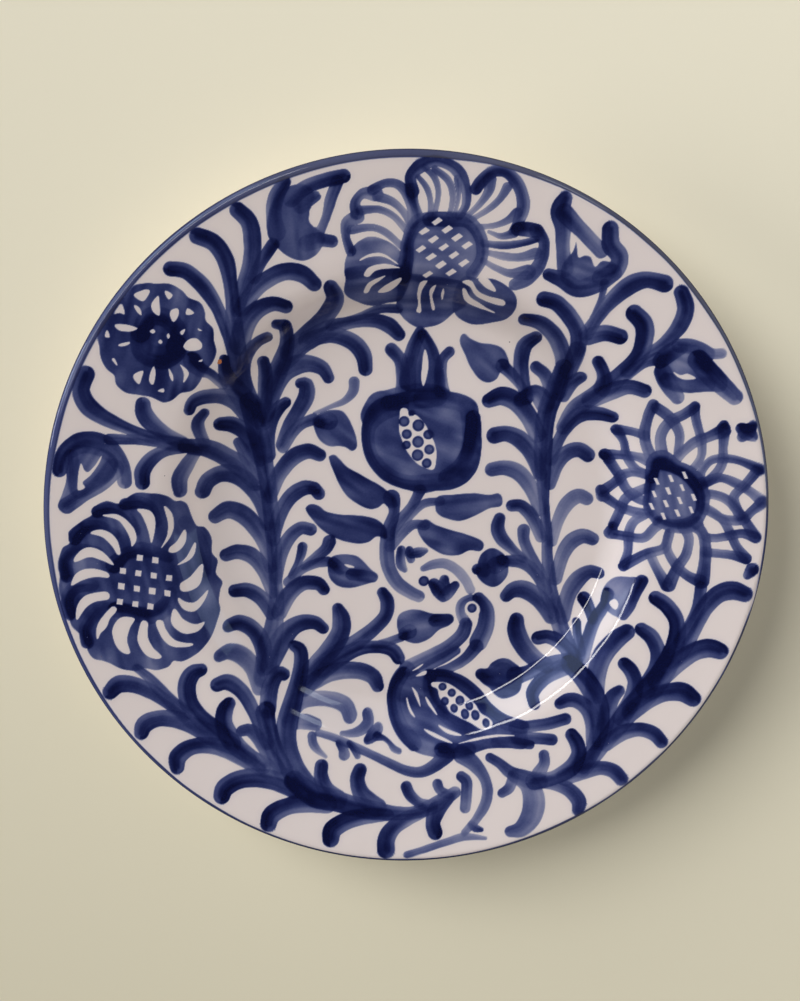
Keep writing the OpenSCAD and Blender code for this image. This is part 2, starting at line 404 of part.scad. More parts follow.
// Tall frond left of the pomegranate
left_frond_marks = [
  [],
  [ // strokes
    [[-66, 47, 8], [-64, 38, 8], [-61.5, 28, 8], [-59.5, 16, 7], [-58, 2, 6.5], [-57, -12, 6],
     [-56.5, -26, 5.5], [-56.2, -38, 6], [-57.5, -50, 8], [-60, -60, 9], [-61.5, -70, 8.5]],
    [[-86.3, 9.8, 6.5], [-84.2, 14, 7], [-79, 16.8, 7], [-73, 16.3, 7.5], [-67, 12.3, 7.5],
     [-62.5, 5, 6], [-59.5, -5, 5]],
    [[-81.5, -1.5, 6], [-76, 1.3, 7.5], [-70, -0.7, 8], [-65, -5.8, 7.5], [-61, -13.5, 6],
     [-58.5, -24, 5]],
    [[-77.3, -18.3, 5.5], [-72, -17, 6.5], [-66, -19, 7], [-61.5, -25.3, 6], [-58, -35, 5]],
    [[-74, -34, 5.5], [-68, -34, 6.5], [-62.5, -37.6, 6.5], [-58.5, -44, 6]],
    [[-76.3, -48.3, 5.5], [-71.5, -48, 6.5], [-66, -51.5, 7], [-62.5, -58, 7], [-61.5, -67, 6]],
    [[-37, 24.5, 5.5], [-42, 26.2, 6.5], [-48, 23.7, 7], [-54, 16.8, 6.5], [-58, 7, 5.5]],
    [[-37.6, 8, 5.5], [-39.2, 10, 5.5]],
    [[-39.5, 10.3, 5.5], [-44, 10.4, 6.5], [-50, 6.2, 6.5], [-54.5, -2, 6], [-57, -12, 5]],
    [[-41.2, -7.5, 5.5], [-45.5, -7, 5.5], [-50.5, -11.3, 6], [-54, -19, 5.5], [-56, -29, 5]],
    [[-35.8, -34, 5], [-38.5, -31.3, 6], [-45, -31.3, 6.5], [-51, -36.3, 7], [-55, -44, 6.5]],
    [[-36.3, -51.2, 5], [-39.5, -48.7, 6], [-44.5, -48.4, 7], [-50, -51, 8], [-55, -57.5, 9],
     [-59, -66, 8]],
    [[-53, -71, 4.5], [-56, -70.5, 6], [-59, -75, 7], [-60, -83, 7]]
  ],
  [],
  [],
  []
];

// Tall frond right of the pomegranate
right_frond_marks = [
  [],
  [ // strokes
    [[65, 62, 6], [62.5, 52, 8], [59, 42, 8], [57.8, 30, 7.5], [57.8, 18, 6.5], [58.5, 5, 4.5],
     [59.8, -9, 4.5], [60.5, -22, 5], [62, -35, 6], [65.5, -48, 7], [68.5, -57, 7], [71, -64, 7.5]],
    [[47.5, 47.5, 5], [54, 50.5, 7], [58, 46, 8]],
    [[34.5, 47.3, 6], [40, 49.3, 8], [46, 46.7, 8], [51, 41, 7.5], [55, 33, 7]],
    [[37, 32.5, 7], [42, 33.3, 6.6], [48, 30.6, 7.5], [53, 24.6, 7], [56.5, 16, 6]],
    [[36, 18, 6], [42, 18.6, 6.5], [48, 16, 7], [53, 9.5, 6.5], [56.8, 0, 5]],
    [[44.8, 2.2, 5.2], [49, 1.9, 5.5], [53.5, -3, 5.5], [57.3, -11.5, 5]],
    [[39.6, -3.3, 5], [38.8, -7.5, 6], [40.5, -12, 6], [45, -16.7, 4.6], [50, -21, 3.6]],
    [[50, -8.5, 5.5], [50.2, -13, 5], [52.7, -19, 5], [56.8, -26.5, 4.6], [60, -35, 5]],
    [[43, -22, 5], [49, -22.6, 5.6], [54, -26, 5], [58.8, -33, 5], [62.5, -42, 6]],
    [[42.9, -37.5, 5.5], [46, -34.8, 7], [51, -34.8, 8], [57, -39, 7.5], [62.5, -46.5, 7]],
    [[85.3, 41.3, 5], [80, 42.2, 6], [74, 41.6, 6.5], [68.5, 37.5, 6], [64.5, 31, 5], [61, 22, 5]],
    [[76.8, 24, 6], [73, 26.3, 6.5], [68, 25, 6.5], [63.8, 20, 6], [61, 11.5, 5]],
    [[76.8, 5, 5.5], [73, 6.2, 6.5], [68.5, 3, 6.5], [64.8, -4, 5.5], [62.3, -13.5, 4.6]],
    [[79.7, -12.5, 5.5], [75.5, -11.2, 6.5], [70.5, -13.7, 7], [66.7, -20, 6.2], [64.2, -30, 5.5]],
    [[82.3, -27.2, 5], [78, -27, 6], [73, -31, 7.5], [69.5, -37.5, 7], [67.5, -47, 6.5]],
    [[57, -56.3, 6], [61, -55.8, 6], [66, -57.8, 6], [70.5, -61.5, 6]]
  ],
  [],
  [],
  []
];

// Spray of leaves that tops the right frond
upper_right_spray_marks = [
  [],
  [ // strokes
    [[103, 97, 7], [96, 98.5, 6.6], [89.5, 96.5, 7.5], [83, 91, 6.5], [77.5, 84, 5], [72.5, 76.5, 5.5]],
    [[55, 90.5, 6.3], [60.5, 88.8, 6.5], [66, 83, 6.6], [69.5, 76.5, 6.6], [69.5, 68.5, 6.5],
     [67, 60, 7]],
    [[48, 82, 5], [54.5, 80.5, 6], [60.5, 75, 6.5], [64, 68, 6.5], [65.5, 60, 7], [63.5, 51, 7]],
    [[53, 74.2, 5.4], [49, 70.5, 6.5], [47.7, 64, 6.5], [48.5, 56, 6], [50.5, 48, 5]],
    [[54, 61.5, 5], [58, 58, 5.5], [60.5, 51.5, 6]],
    [[86.3, 75.3, 6.3], [80, 76.8, 6.6], [73.5, 75, 6.5]],
    [[69.5, 70, 6], [68, 63, 5.5], [66, 56, 6]],
    [[72, 57.7, 5], [69, 54.5, 5], [66, 49, 5]],
    [[78, 65, 4.8], [80.5, 60, 5.2], [80.5, 54, 6.5], [76, 48.5, 7], [70, 43, 7], [66, 36, 6]],
    [[91.5, 85, 7], [95.5, 80.5, 7.5], [96, 74, 7.3], [93.5, 67, 6.5], [87.5, 60, 7], [81.5, 54, 8]],
    [[109.8, 93.5, 6], [111.8, 87, 6.8], [109.8, 80, 6.6], [104.5, 73.5, 5], [97, 68, 4], [90, 61.5, 6]],
    [[97.2, 53, 5.6], [91, 54.5, 6], [84.5, 52.5, 7], [77, 48, 7]]
  ],
  [],
  [],
  []
];

// Pomegranate with its crown, split open
pomegranate_marks = [
  [ // washes
    [[5, 77], [0.5, 69], [-2.5, 60], [-2.5, 53], [6, 51], [15, 53], [14.8, 61], [12.2, 69], [8, 75]],
    [[-18, 46], [-14.5, 50.5], [-9, 52], [-3, 53.5], [5, 54.5], [14, 53.5], [19, 51], [25, 49.5],
     [29.3, 46], [30.5, 40], [31.3, 32], [31.3, 25], [30, 19], [27, 14.5], [22, 11], [14, 9.2], [6, 8],
     [-1, 10], [-8, 13], [-14, 18], [-17.5, 24], [-19, 31], [-18.3, 36], [-19.7, 41]]
  ],
  [ // strokes
    [[5.3, 76, 4.8], [2.5, 70, 5.5], [0.5, 62, 6], [0, 53, 7]],
    [[6.5, 75.5, 4], [10, 69, 5], [11.8, 62, 5.5], [12.5, 53, 7]],
    [[-6.6, 69, 5.6], [-3, 64.5, 5.5], [-2, 58, 5.5], [-2, 51, 6]],
    [[17.7, 68, 4.2], [14.8, 64.5, 4.4], [14, 58, 5], [15, 51, 6]],
    [[28, 40, 6], [28, 33, 7], [26.8, 25, 8], [23, 18.5, 8], [17, 14.5, 7]],
    [[-8, 46.5, 6], [-1, 47.5, 7], [6, 48.5, 8], [13, 49, 7]],
    [[-3, 45.5, 7], [-11, 43.5, 9], [-16, 37, 6], [-16.5, 29, 5], [-14, 22, 5.5], [-8.5, 16, 6],
     [0, 12.5, 6], [10, 12.5, 7], [19, 13.5, 8], [25.5, 19, 8.5], [27.5, 28, 8], [27, 38, 7.5],
     [24.5, 45.5, 7], [16, 48, 7], [6, 48, 7]]
  ],
  [ // left white
    [[7.3, 69], [6.3, 63], [6, 57], [6.7, 53.7], [8, 57], [8.8, 62], [8.4, 66.5]],
    [[-2.5, 44], [0, 44], [0.8, 41], [3.5, 41.3], [7, 38], [9.3, 34], [11.5, 29], [12.2, 24],
     [11.3, 18.3], [7.5, 19], [3.5, 21.5], [0, 26], [-2.2, 31], [-3.3, 35], [-3.3, 40]]
  ],
  [],
  []
];

// Seeds in the split of the pomegranate
pomegranate_seeds_marks = [
  [],
  [],
  [],
  [ // dots
    [[-1.3, 38.7, 4.6], [4.7, 37, 5], [-0.2, 33.3, 4.3], [8.9, 33, 4.2], [4.6, 29.9, 5],
     [9.3, 26.7, 4.3], [4.4, 24.3, 5], [8.3, 20.8, 4.2], [-0.3, 28.7, 3.6], [2, 42.3, 2.4]]
  ],
  []
];

// Branch under the pomegranate with four long leaves
pomegranate_branch_marks = [
  [ // washes
    [[-33, 22.5], [-32.5, 24.3], [-30.5, 24.5], [-28.5, 22.5], [-25, 19], [-18, 15], [-11, 10.8],
     [-6, 6.5], [-4, 2.5], [-8, 2], [-10, 3.5], [-12.5, 1.7], [-16, 1.2], [-21, 3.3], [-26, 7.5],
     [-29.5, 13.5]],
    [[-43, 0.7], [-42.5, 2.7], [-40.5, 3.6], [-37.5, 2.6], [-34, 0], [-27, -1.3], [-19, -1.8],
     [-13, -3.5], [-9.5, -7], [-9, -11.5], [-13, -10.8], [-16.5, -13.2], [-21, -13.8], [-27, -12.8],
     [-34, -9.5], [-39, -5]],
    [[12, 1], [13, 6.3], [20, 7.2], [28, 7.7], [35, 7], [39, 7.5], [40.8, 5], [40, 2], [35, 1],
     [29, -2], [23, -4.2], [17, -3.2], [13.5, -1.5]],
    [[4.5, -8], [6, -4.5], [8.5, -3.5], [12, -5.8], [18, -8], [25, -10], [31, -12.5], [33, -15],
     [31.5, -17.6], [27, -17.2], [22, -19.2], [16, -19], [11, -16.5], [7, -13]]
  ],
  [ // strokes
    [[5.5, 9, 4.8], [2, 2.5, 4], [-3, -3.5, 4.5], [-7.5, -10, 5]],
    [[-6.5, 6, 7], [-5.5, 0, 4.6], [-8, -8, 5.5], [-8.7, -16, 6.4], [-8, -24, 6], [-4.5, -31, 6],
     [1, -35.3, 5.6], [5, -37.3, 5.2]],
    [[14, 4.3, 3.6], [7, 3.2, 3.6], [0.5, -2.5, 4], [-5, -9, 4.5]],
    [[7.5, -6, 4], [2.5, -5.8, 4], [-3, -10.5, 4.4], [-7, -15, 5]]
  ],
  [],
  [],
  []
];

// Heart-shaped leaf beside the crown
pomegranate_side_leaf_marks = [
  [ // washes
    [[22, 71.5], [22.3, 74.7], [24, 75.6], [26, 73.8], [30, 71.8], [35, 71.2], [39.5, 69.5],
     [42, 65.5], [42.5, 61.5], [39.5, 60], [37.5, 56.5], [34, 55], [30, 56.7], [26.5, 61.5],
     [24.3, 66.5]]
  ],
  [ // strokes
    [[40, 62, 5.5], [44.5, 57.5, 4.5], [49, 52, 3.5]]
  ],
  [],
  [],
  []
];

// Leaf bud left of the pomegranate
upper_leaf_bud_marks = [
  [ // washes
    [[-39.5, 39.5], [-37.5, 42], [-33, 43.6], [-28, 43.4], [-25, 40.5], [-22.5, 35], [-21.3, 30.5],
     [-21.5, 27.5], [-23.5, 26.2], [-26, 27.8], [-29, 28.4], [-33, 28.4], [-36.8, 30.8], [-39, 35.3]]
  ],
  [ // strokes
    [[-36.5, 38.7, 5], [-33, 39, 7]]
  ],
  [],
  [],
  []
];

// Leaf bud below the branch, with two small leaves
lower_leaf_bud_marks = [
  [ // washes
    [[-34, -23], [-32, -19.5], [-27, -18.5], [-22, -19.2], [-18.5, -22], [-15.5, -25.3], [-13, -27.5],
     [-13.2, -30.5], [-16, -31.3], [-20, -32.5], [-25, -33.4], [-30, -32.2], [-33.3, -28.5]]
  ],
  [ // strokes
    [[-31.5, -22.3, 4.5], [-28.5, -25, 4.5]],
    [[-24, -27.5, 4.5], [-19, -28, 4.5], [-14.5, -28.7, 4.2]],
    [[-34, -21.7, 4.4], [-40, -22.8, 3.8], [-46, -25.8, 3.8], [-51, -30.5, 4.6]],
    [[-33.2, -12.8, 5.6], [-34.8, -16.2, 5], [-39, -19.5, 4.2], [-44, -23.3, 3.6]],
    [[-44.7, -15, 4.3], [-45.5, -19, 4], [-47.3, -23.3, 3], [-49.5, -27.5, 3]]
  ],
  [ // left white
    [[-26.8, -23], [-24, -23.5], [-22.8, -24.3], [-25, -24.2]]
  ],
  [],
  []
];

// Round bud on the right frond
ball_bud_marks = [
  [ // washes
    [[31, -20.5], [33.5, -17.4], [37, -16.4], [41, -18.5], [43.5, -22.5], [43.3, -28], [40.5, -32],
     [36.8, -33.4], [32.5, -31.3], [30, -27.5]]
  ],
  [ // strokes
    [[30.3, -25.5, 4.8], [33, -26, 6]],
    [[40.8, -22.5, 6], [38, -24, 7]]
  ],
  [],
  [],
  []
];

// Leaf bud left of the bird
lower_centre_bud_marks = [
  [ // washes
    [[-4.4, -48.5], [-3, -45], [1, -43.3], [6, -43.6], [11.5, -45.2], [18.5, -45.3], [20.3, -47.8],
     [18.5, -50.2], [14, -52.3], [10, -56], [5, -58.2], [0, -57.5], [-3.5, -54]]
  ],
  [ // strokes
    [[-1, -54, 5.5], [1, -53, 6]],
    [[-2.5, -55.5, 4], [-8, -57.3, 3.6], [-13.5, -59.3, 4]],
    [[12, -48.3, 5], [18, -47.6, 4.6]]
  ],
  [],
  [],
  []
];

// Bud between the bird and the right frond
lower_right_bud_marks = [
  [ // washes
    [[30.2, -72.3], [32, -70], [35, -69.8], [37, -67.2], [40.5, -65.5], [44, -65.7], [47, -67.7],
     [49.5, -70], [50, -74], [48.5, -78.5], [45, -81], [41, -82], [38, -80.8], [36, -78.5], [32.5, -76]]
  ],
  [ // strokes
    [[32.3, -72.3, 5], [37, -74, 7], [42, -72, 9]],
    [[47, -73, 7], [52, -71.3, 5.5], [58, -68.3, 5], [64, -66, 5.5], [71, -65, 7]]
  ],
  [],
  [],
  []
];

// Tulip and small buds beside the right frond
lower_right_tulip_marks = [
  [ // washes
    [[85.5, -31], [89, -27.8], [94, -26.8], [98.5, -27], [97, -33], [94, -40], [91.3, -44],
     [88, -43.8], [85, -42], [83, -40], [83.5, -35.5]]
  ],
  [ // strokes
    [[99, -27.8, 5], [96.5, -33, 4.6], [94, -39, 4.4], [91.3, -43, 4.4]],
    [[86, -35, 4], [84.5, -40, 4], [80.5, -47, 4.4], [77, -56, 4.6], [75, -63, 5]],
    [[76.5, -38.5, 5.6], [78.3, -42, 5], [79.5, -46.5, 4]],
    [[73.2, -48.7, 3.6], [73.3, -53, 3.4], [74, -60, 3.8]]
  ],
  [ // left white
    [[86.3, -39], [88.3, -36.9], [89.6, -38.6], [88.4, -41]]
  ],
  [],
  []
];

// Leaves under the right frond
lower_right_leaf_marks = [
  [],
  [ // strokes
    [[47.5, -48, 6.2], [47.5, -53, 8], [50, -59, 8], [54.5, -64.5, 7.5], [60, -67.5, 6]],
    [[54.3, -82.2, 5], [53.8, -79, 5], [56.3, -75.2, 4.8], [61, -71.3, 5], [67, -67.5, 6]]
  ],
  [],
  [],
  []
];

// Leaves along the lower left of the lip
lower_left_garland_marks = [
  [],
  [ // strokes
    [[-125, -71.8, 6.6], [-121.5, -68.9, 7.5], [-115.5, -69.4, 7], [-109, -72.6, 6],
     [-102, -77.3, 5.5], [-95, -83, 6]],
    [[-114, -62.5, 3.4], [-109, -67, 4], [-104, -73, 5], [-98, -79.5, 5.5], [-91, -86, 7],
     [-83, -92.5, 8], [-75, -98.5, 8], [-67, -103.8, 8], [-58, -109.3, 8], [-49, -115.5, 9]],
    [[-87.8, -64.6, 5.4], [-91.3, -66, 7], [-93.7, -71, 7.6], [-92.8, -78, 7.4], [-88.7, -84.5, 7.5],
     [-82.5, -90.5, 8], [-76, -96.5, 9]],
    [[-112.8, -90, 6], [-111.3, -86.5, 7.5], [-106, -84.4, 7], [-99.5, -84.9, 7], [-92, -88, 7],
     [-84, -92.3, 8]],
    [[-98.2, -105.5, 6], [-97.7, -101, 7.5], [-92.5, -97.4, 7], [-85, -97, 6.6], [-77, -99.5, 7],
     [-68, -104.5, 7]],
    [[-79.7, -118.7, 7], [-78.3, -115.3, 8], [-73, -112.3, 8], [-66, -111.6, 8], [-58, -113, 8],
     [-49, -117, 8]],
    [[-60, -131.5, 7], [-58.3, -127.5, 8], [-52, -124.4, 7.5], [-44, -123.5, 7.5], [-35, -124, 8]],
    [[-76.2, -79.5, 5.4], [-78, -82.5, 7], [-78.3, -88, 7.2], [-75.5, -94.5, 8], [-70, -100.5, 7],
     [-62, -107, 6]],
    [[-70.8, -91.4, 4.8], [-67.5, -91.3, 5.5], [-64, -95, 5.5], [-60.5, -101, 5.5], [-56, -108, 6]],
    [[-61, -84, 8], [-59.5, -92, 7], [-57, -101, 7], [-53.5, -109, 8]],
    [[-80, -59.3, 5], [-76, -58.4, 6], [-71, -60.9, 6.5], [-66.5, -66, 6.3], [-63.5, -74, 6]],
    [[-81, -71.2, 6], [-77, -70.4, 6.5], [-72, -73.6, 6], [-68, -79, 5.6], [-64.3, -87, 5.5],
     [-60, -97, 5.5]]
  ],
  [],
  [],
  []
];

// Leaves left of the bird
lower_centre_spray_marks = [
  [],
  [ // strokes
    [[-29.8, -42.5, 5], [-28.4, -47, 7.6], [-28.8, -53, 8.3], [-33, -60, 8.3], [-39, -67, 8],
     [-45, -74, 8]],
    [[-10.5, -35.5, 4.8], [-8.5, -40, 6], [-9.5, -46, 6], [-15, -52, 6.4], [-22, -57.3, 7],
     [-30, -62.3, 7.5], [-38, -69, 8]],
    [[-3.7, -64.8, 5.6], [-6.3, -61.3, 6], [-12, -59.8, 5.4], [-20, -60.3, 6], [-28, -63.7, 7],
     [-36, -69, 8], [-44, -76, 8]],
    [[-12.8, -77.3, 5.5], [-15, -73, 7], [-20, -70.4, 7.5], [-27, -70.1, 7.5], [-34, -71.6, 7.5],
     [-42, -75.5, 7]],
    [[-25, -88.5, 6.2], [-27, -84.8, 6.4], [-32.5, -82.3, 6], [-39, -81.4, 5.6], [-46, -81.3, 7],
     [-51, -85, 8]],
    [[-39.3, -90.7, 4.6], [-44, -89.3, 5.8], [-51, -88.7, 6]],
    [[-48.7, -58.8, 5], [-46.3, -61, 6], [-46, -66.5, 6.3], [-47.3, -74, 7], [-49.5, -81, 8],
     [-52, -90, 9], [-52, -99, 9], [-49.5, -108, 10], [-44.5, -115.5, 10], [-38, -121, 9]]
  ],
  [],
  [],
  []
];

// Leaves along the bottom of the lip
bottom_garland_marks = [
  [],
  [ // strokes
    [[-37.2, -107.5, 5.6], [-37.5, -112, 6], [-35.3, -117.5, 6.6], [-30.5, -122, 8]],
    [[-49, -113.5, 8], [-41, -120, 9], [-32, -122.5, 9], [-23, -125.3, 8], [-14, -127.3, 7.5],
     [-4, -128.5, 5.5], [5, -127.7, 5.5], [13, -124.2, 6.5], [20, -119.8, 5]],
    [[-20.8, -109.8, 5.8], [-22, -114.2, 6.3], [-19.8, -120.5, 7.2], [-13.5, -125.7, 8]],
    [[-0.9, -117.3, 4.8], [0.7, -120.8, 4.8], [4.7, -124.3, 4.4], [10, -125.5, 5]],
    [[12.4, -116.3, 4.4], [14, -119.2, 4], [18.5, -121, 3.6]],
    [[22.7, -113, 4.4], [25, -115.3, 4.8], [25, -120, 4.8], [24.4, -126.6, 4.6]],
    [[11.3, -137, 6.4], [10.4, -132.8, 6.4], [12.2, -127.5, 7.4], [16.5, -122.5, 6]],
    [[-33.5, -138.8, 7.2], [-32.5, -134.8, 8], [-27, -131.5, 7.5], [-19, -129.8, 6.5], [-9, -129.3, 5]],
    [[-9.8, -144.2, 7.5], [-9.6, -139.5, 7.7], [-6.5, -134.7, 7], [-0.5, -131, 6], [6, -128, 5.5]]
  ],
  [],
  [],
  []
];

// Leaves along the lower right of the lip
right_garland_marks = [
  [],
  [ // strokes
    [[104.7, -35, 6], [109.5, -38.3, 6.5], [113.3, -44.5, 6.5], [113.3, -52.5, 7], [111, -61, 8.5],
     [106, -70, 9.5], [99, -78.5, 9.5], [91.5, -87.5, 8.5], [85.5, -95.5, 7], [80, -103, 6.5],
     [74, -109.5, 7]],
    [[141, -32.2, 6.6], [135.7, -30.7, 8], [130, -32.7, 7.6], [125, -38.5, 7], [121, -46, 7],
     [117, -53.5, 8], [112, -61, 8]],
    [[123, -30, 5], [122, -38, 5], [119, -46, 5], [116, -53, 7]],
    [[131.5, -57, 7], [126.5, -55.8, 8], [120, -58.2, 7.6], [113, -63.7, 8], [106, -70.7, 8]],
    [[120.7, -77.7, 7], [116, -75, 8.3], [109, -75.7, 7.3], [102, -79, 7.5], [95, -84.5, 7.5]],
    [[107.8, -96.7, 5.5], [104, -93, 6.3], [98, -91.8, 6], [91.5, -93.5, 6.5], [84.5, -98.5, 6]],
    [[91, -113.2, 6], [87.5, -109.8, 6.3], [82, -108.8, 6], [75, -110.6, 6.5], [67, -113, 7]],
    [[72.7, -127.2, 5], [73, -123, 6.5], [69, -118.5, 6.2], [62, -115.8, 5.6], [55, -114.8, 6]],
    [[70, -94.8, 5.5], [72.3, -98.5, 6.3], [72.8, -103.3, 6.3], [69.5, -109, 7], [62, -113.3, 6],
     [54, -115, 7]],
    [[58.2, -103.6, 4.6], [58.3, -107.3, 4.8], [56, -111.5, 6]],
    [[92, -63.6, 5.4], [94.9, -66.7, 6.3], [96.6, -72, 6.4], [95, -79.3, 7], [91, -86.5, 7.5]],
    [[90, -75.3, 4.8], [87.3, -78, 6.3], [85.5, -83.3, 6.4], [84, -90.5, 6.5], [82, -98, 6]],
    [[93, -50, 6.6], [88.3, -54, 7.5], [83.2, -60.5, 8], [80.5, -68.5, 8], [79.8, -77, 8]],
    [[99, -48.5, 5.6], [103.3, -52, 6.5], [106, -58.3, 6.5], [105.3, -65.5, 7], [101, -74, 8]],
    [[65, -81.7, 4.6], [69, -79.9, 6], [73, -80.6, 6.3], [77, -84.3, 6.5], [79, -90.5, 6.6],
     [79, -98, 6]],
    [[70, -66, 7], [75, -70.5, 8.5], [79.5, -77.5, 8.5], [81.8, -85, 8], [81.5, -93, 7],
     [79, -101, 6.5], [74.5, -108, 6.5]],
    [[35, -105, 4], [39, -107.3, 4.3], [44, -111.3, 5.5], [50, -113.7, 7], [56, -115, 7]],
    [[40.3, -120.2, 4], [43.4, -117.8, 4.5], [45, -113, 4.5]],
    [[43.8, -136.6, 4.8], [48.5, -135.3, 7], [52.7, -130, 9], [54, -123, 9.5], [51.7, -116.5, 8],
     [46, -112.5, 6]]
  ],
  [],
  [],
  []
];

// Bird, with its neck, wing and tail
bird_marks = [
  [ // washes
    [[0.5, -66.5], [-4.5, -70], [-7.5, -75.5], [-8.7, -82], [-8, -88], [-5.5, -94], [-1.5, -99.5],
     [3.5, -102.8], [9.5, -104.6], [15, -105], [22, -105.2], [29, -103], [35, -101.2], [42, -100.8],
     [50, -101], [51, -96], [50, -90.5], [43, -89], [36, -86], [31, -81], [25, -76], [18, -72.5],
     [12, -71], [6, -71.5]]
  ],
  [ // strokes
    [[31, -38.3, 5], [34.3, -43.5, 6.5], [34, -51, 7.5], [31, -58, 8]],
    [[30, -60, 6], [25.5, -65.3, 5], [19, -69.3, 4.4], [14, -71, 4]],
    [[25.5, -50, 5.5], [23.5, -55, 6.2], [17, -60.5, 6], [8, -65.3, 6.5], [0, -69.5, 7]],
    [[21.5, -61.8, 3.6], [16.5, -64.8, 4.4], [8, -69, 4.8], [1, -72.5, 4]],
    [[27.3, -38.2, 3.4], [23.8, -40.5, 4], [23, -44.7, 4], [25, -48.8, 5]],
    [[9.5, -72.5, 4.5], [16, -72.7, 5], [23, -75.5, 5.5], [29, -80.5, 6], [34.5, -86.5, 6],
     [41, -90, 5.5], [49, -91.8, 5.5]],
    [[10, -73, 5], [10, -79, 5.4], [12.3, -84.5, 5], [16.5, -88.6, 4.4]],
    [[14.5, -88.3, 4.4], [20, -92, 4.6], [28, -94, 4.6], [36, -93.5, 4]],
    [[14, -102, 5], [20, -102.5, 6], [26, -102, 6]],
    [[-1.5, -71.5, 5], [-5.3, -78, 5.6], [-5.8, -86, 5.6], [-3.2, -93.5, 6], [2.5, -99.5, 6]],
    [[67.3, -88, 5], [61, -90, 5], [54, -91.3, 5], [46, -92.5, 5]],
    [[61.6, -97, 4.9], [55, -96.5, 5], [47, -96.5, 5.5]],
    [[52.3, -99.5, 3.6], [46, -98.6, 4], [38, -98.6, 4.4]]
  ],
  [ // left white
    [[11, -75.9], [16.7, -76], [21, -78.5], [25.5, -82], [29.5, -85], [31.7, -88], [35, -89.5],
     [36.4, -91], [35.4, -92.6], [31.5, -93.5], [27, -91.5], [22.5, -90], [18.5, -88.2], [17, -86],
     [14.3, -83], [13.3, -79], [10.9, -77.7]],
    [[2.2, -78], [4.3, -80.5], [5.8, -86.5], [4.8, -84.5], [3.6, -81.5]],
    [[-0.1, -82.8], [1.3, -86.8], [3.4, -90.5], [1.5, -89], [0.2, -86]],
    [[8.2, -82.5], [10.8, -86], [12.9, -89.5], [10, -86.7], [8.8, -84.6]],
    [[13.5, -93.1], [18, -94.6], [23, -96.2], [19, -96.1], [15.5, -94.9]],
    [[7.2, -94.5], [12.5, -96.2], [19, -99.2], [13, -97.7], [9, -96]],
    [[2.4, -70.6], [4.5, -69], [7, -67.6], [4.8, -69.6]],
    [[3.8, -73], [6.3, -71.4], [8.4, -70.8], [8, -72.3], [5.5, -73]],
    [[21.7, -99.4], [30, -96.9], [38, -95.6], [45.5, -95.6], [38, -96.2], [30, -97.7]],
    [[25.2, -42], [26.5, -40.2], [29, -40], [31.2, -42], [31.2, -45], [29, -46.8], [26.6, -46],
     [25.3, -44]]
  ],
  [],
  []
];

// Pupil of the bird
bird_eye_marks = [
  [],
  [],
  [],
  [ // dots
    [[28.1, -42.8, 4]]
  ],
  []
];

// Dots on the wing of the bird
bird_wing_dots_marks = [
  [],
  [],
  [],
  [ // dots
    [[15.5, -77.9, 3.7], [19.5, -80.7, 3.7], [23, -83.8, 3.8], [27, -85.6, 3.4], [16.5, -84.2, 3.6],
     [20.4, -86.9, 3.2], [25, -88.7, 3.5], [29.4, -88.8, 3.5], [33.7, -91.2, 3]]
  ],
  []
];

// Crest of the bird
bird_crest_marks = [
  [],
  [ // strokes
    [[7, -25, 2.8], [11, -23.4, 4], [16, -22.9, 4.3], [21, -25.5, 4.4], [25, -30, 4.4],
     [27.3, -34.5, 4.2]]
  ],
  [],
  [],
  []
];

// Legs and trailing ribbon of the bird
bird_legs_marks = [
  [],
  [ // strokes
    [[23, -104, 7.6], [28, -107.5, 6.4], [32.3, -113, 5], [34, -119, 4.6], [32.7, -125.5, 4.6],
     [28.7, -132, 3.8], [24, -137, 3]],
    [[31.3, -135.9, 1.8], [28.7, -135.2, 3.4], [27, -133.6, 2.6]],
    [[-0.8, -146.4, 3.2], [8, -143.7, 3], [17, -140.8, 3.2], [24, -138.9, 3.4], [33, -139.5, 1.6]],
    [[16.5, -104, 7], [11, -108.7, 5.5], [5, -111.2, 4.8], [-2, -110.1, 4.2], [-10, -106.3, 3.8],
     [-20, -101.5, 3.4], [-30, -96.8, 3], [-38.5, -93.8, 3]]
  ],
  [],
  [],
  []
];

// Small sprigs and dots round the bird
filler_sprigs_marks = [
  [],
  [ // strokes
    [[-2.5, -16.8, 3.8], [-2.9, -20, 3.9], [-2.5, -23.5, 4.2], [-1, -25.6, 2.4]],
    [[1, -16.8, 3.2], [0.9, -19, 3.2], [1.7, -21, 3.4]],
    [[2, -18.5, 3.6], [5, -17.9, 4.5], [7.8, -17.2, 2.4]],
    [[11.6, -31.8, 5], [14, -35, 6.5], [15.5, -37, 5.5]],
    [[16, -30, 4.2], [15.6, -34, 6]],
    [[20.8, -32.6, 3.6], [17.5, -36, 5.5], [15.6, -37.8, 4.4]],
    [[-17.3, -88.6, 4.5], [-17, -91.6, 4.8], [-20, -94, 4], [-24, -95, 3], [-28.5, -94.7, 2]],
    [[-17.4, -97.7, 3.4], [-15.3, -96.3, 5], [-12.9, -94, 4.4]],
    [[-13.5, -96.8, 3.2], [-10.5, -97.4, 2], [-8.2, -99, 2], [-6.3, -101.3, 2.8], [-4, -102.4, 2.4]],
    [[-41.3, -94.9, 3.8], [-40.8, -98, 3.8], [-38.7, -101, 3], [-35.4, -103.8, 1.6]],
    [[-30, -98.4, 2.2], [-28, -101, 4], [-27.5, -103.2, 5]],
    [[-25.3, -98.6, 2], [-23, -101.5, 3], [-21.8, -104, 2.6]]
  ],
  [],
  [ // dots
    [[7.2, -30.6, 4.5]]
  ],
  []
];

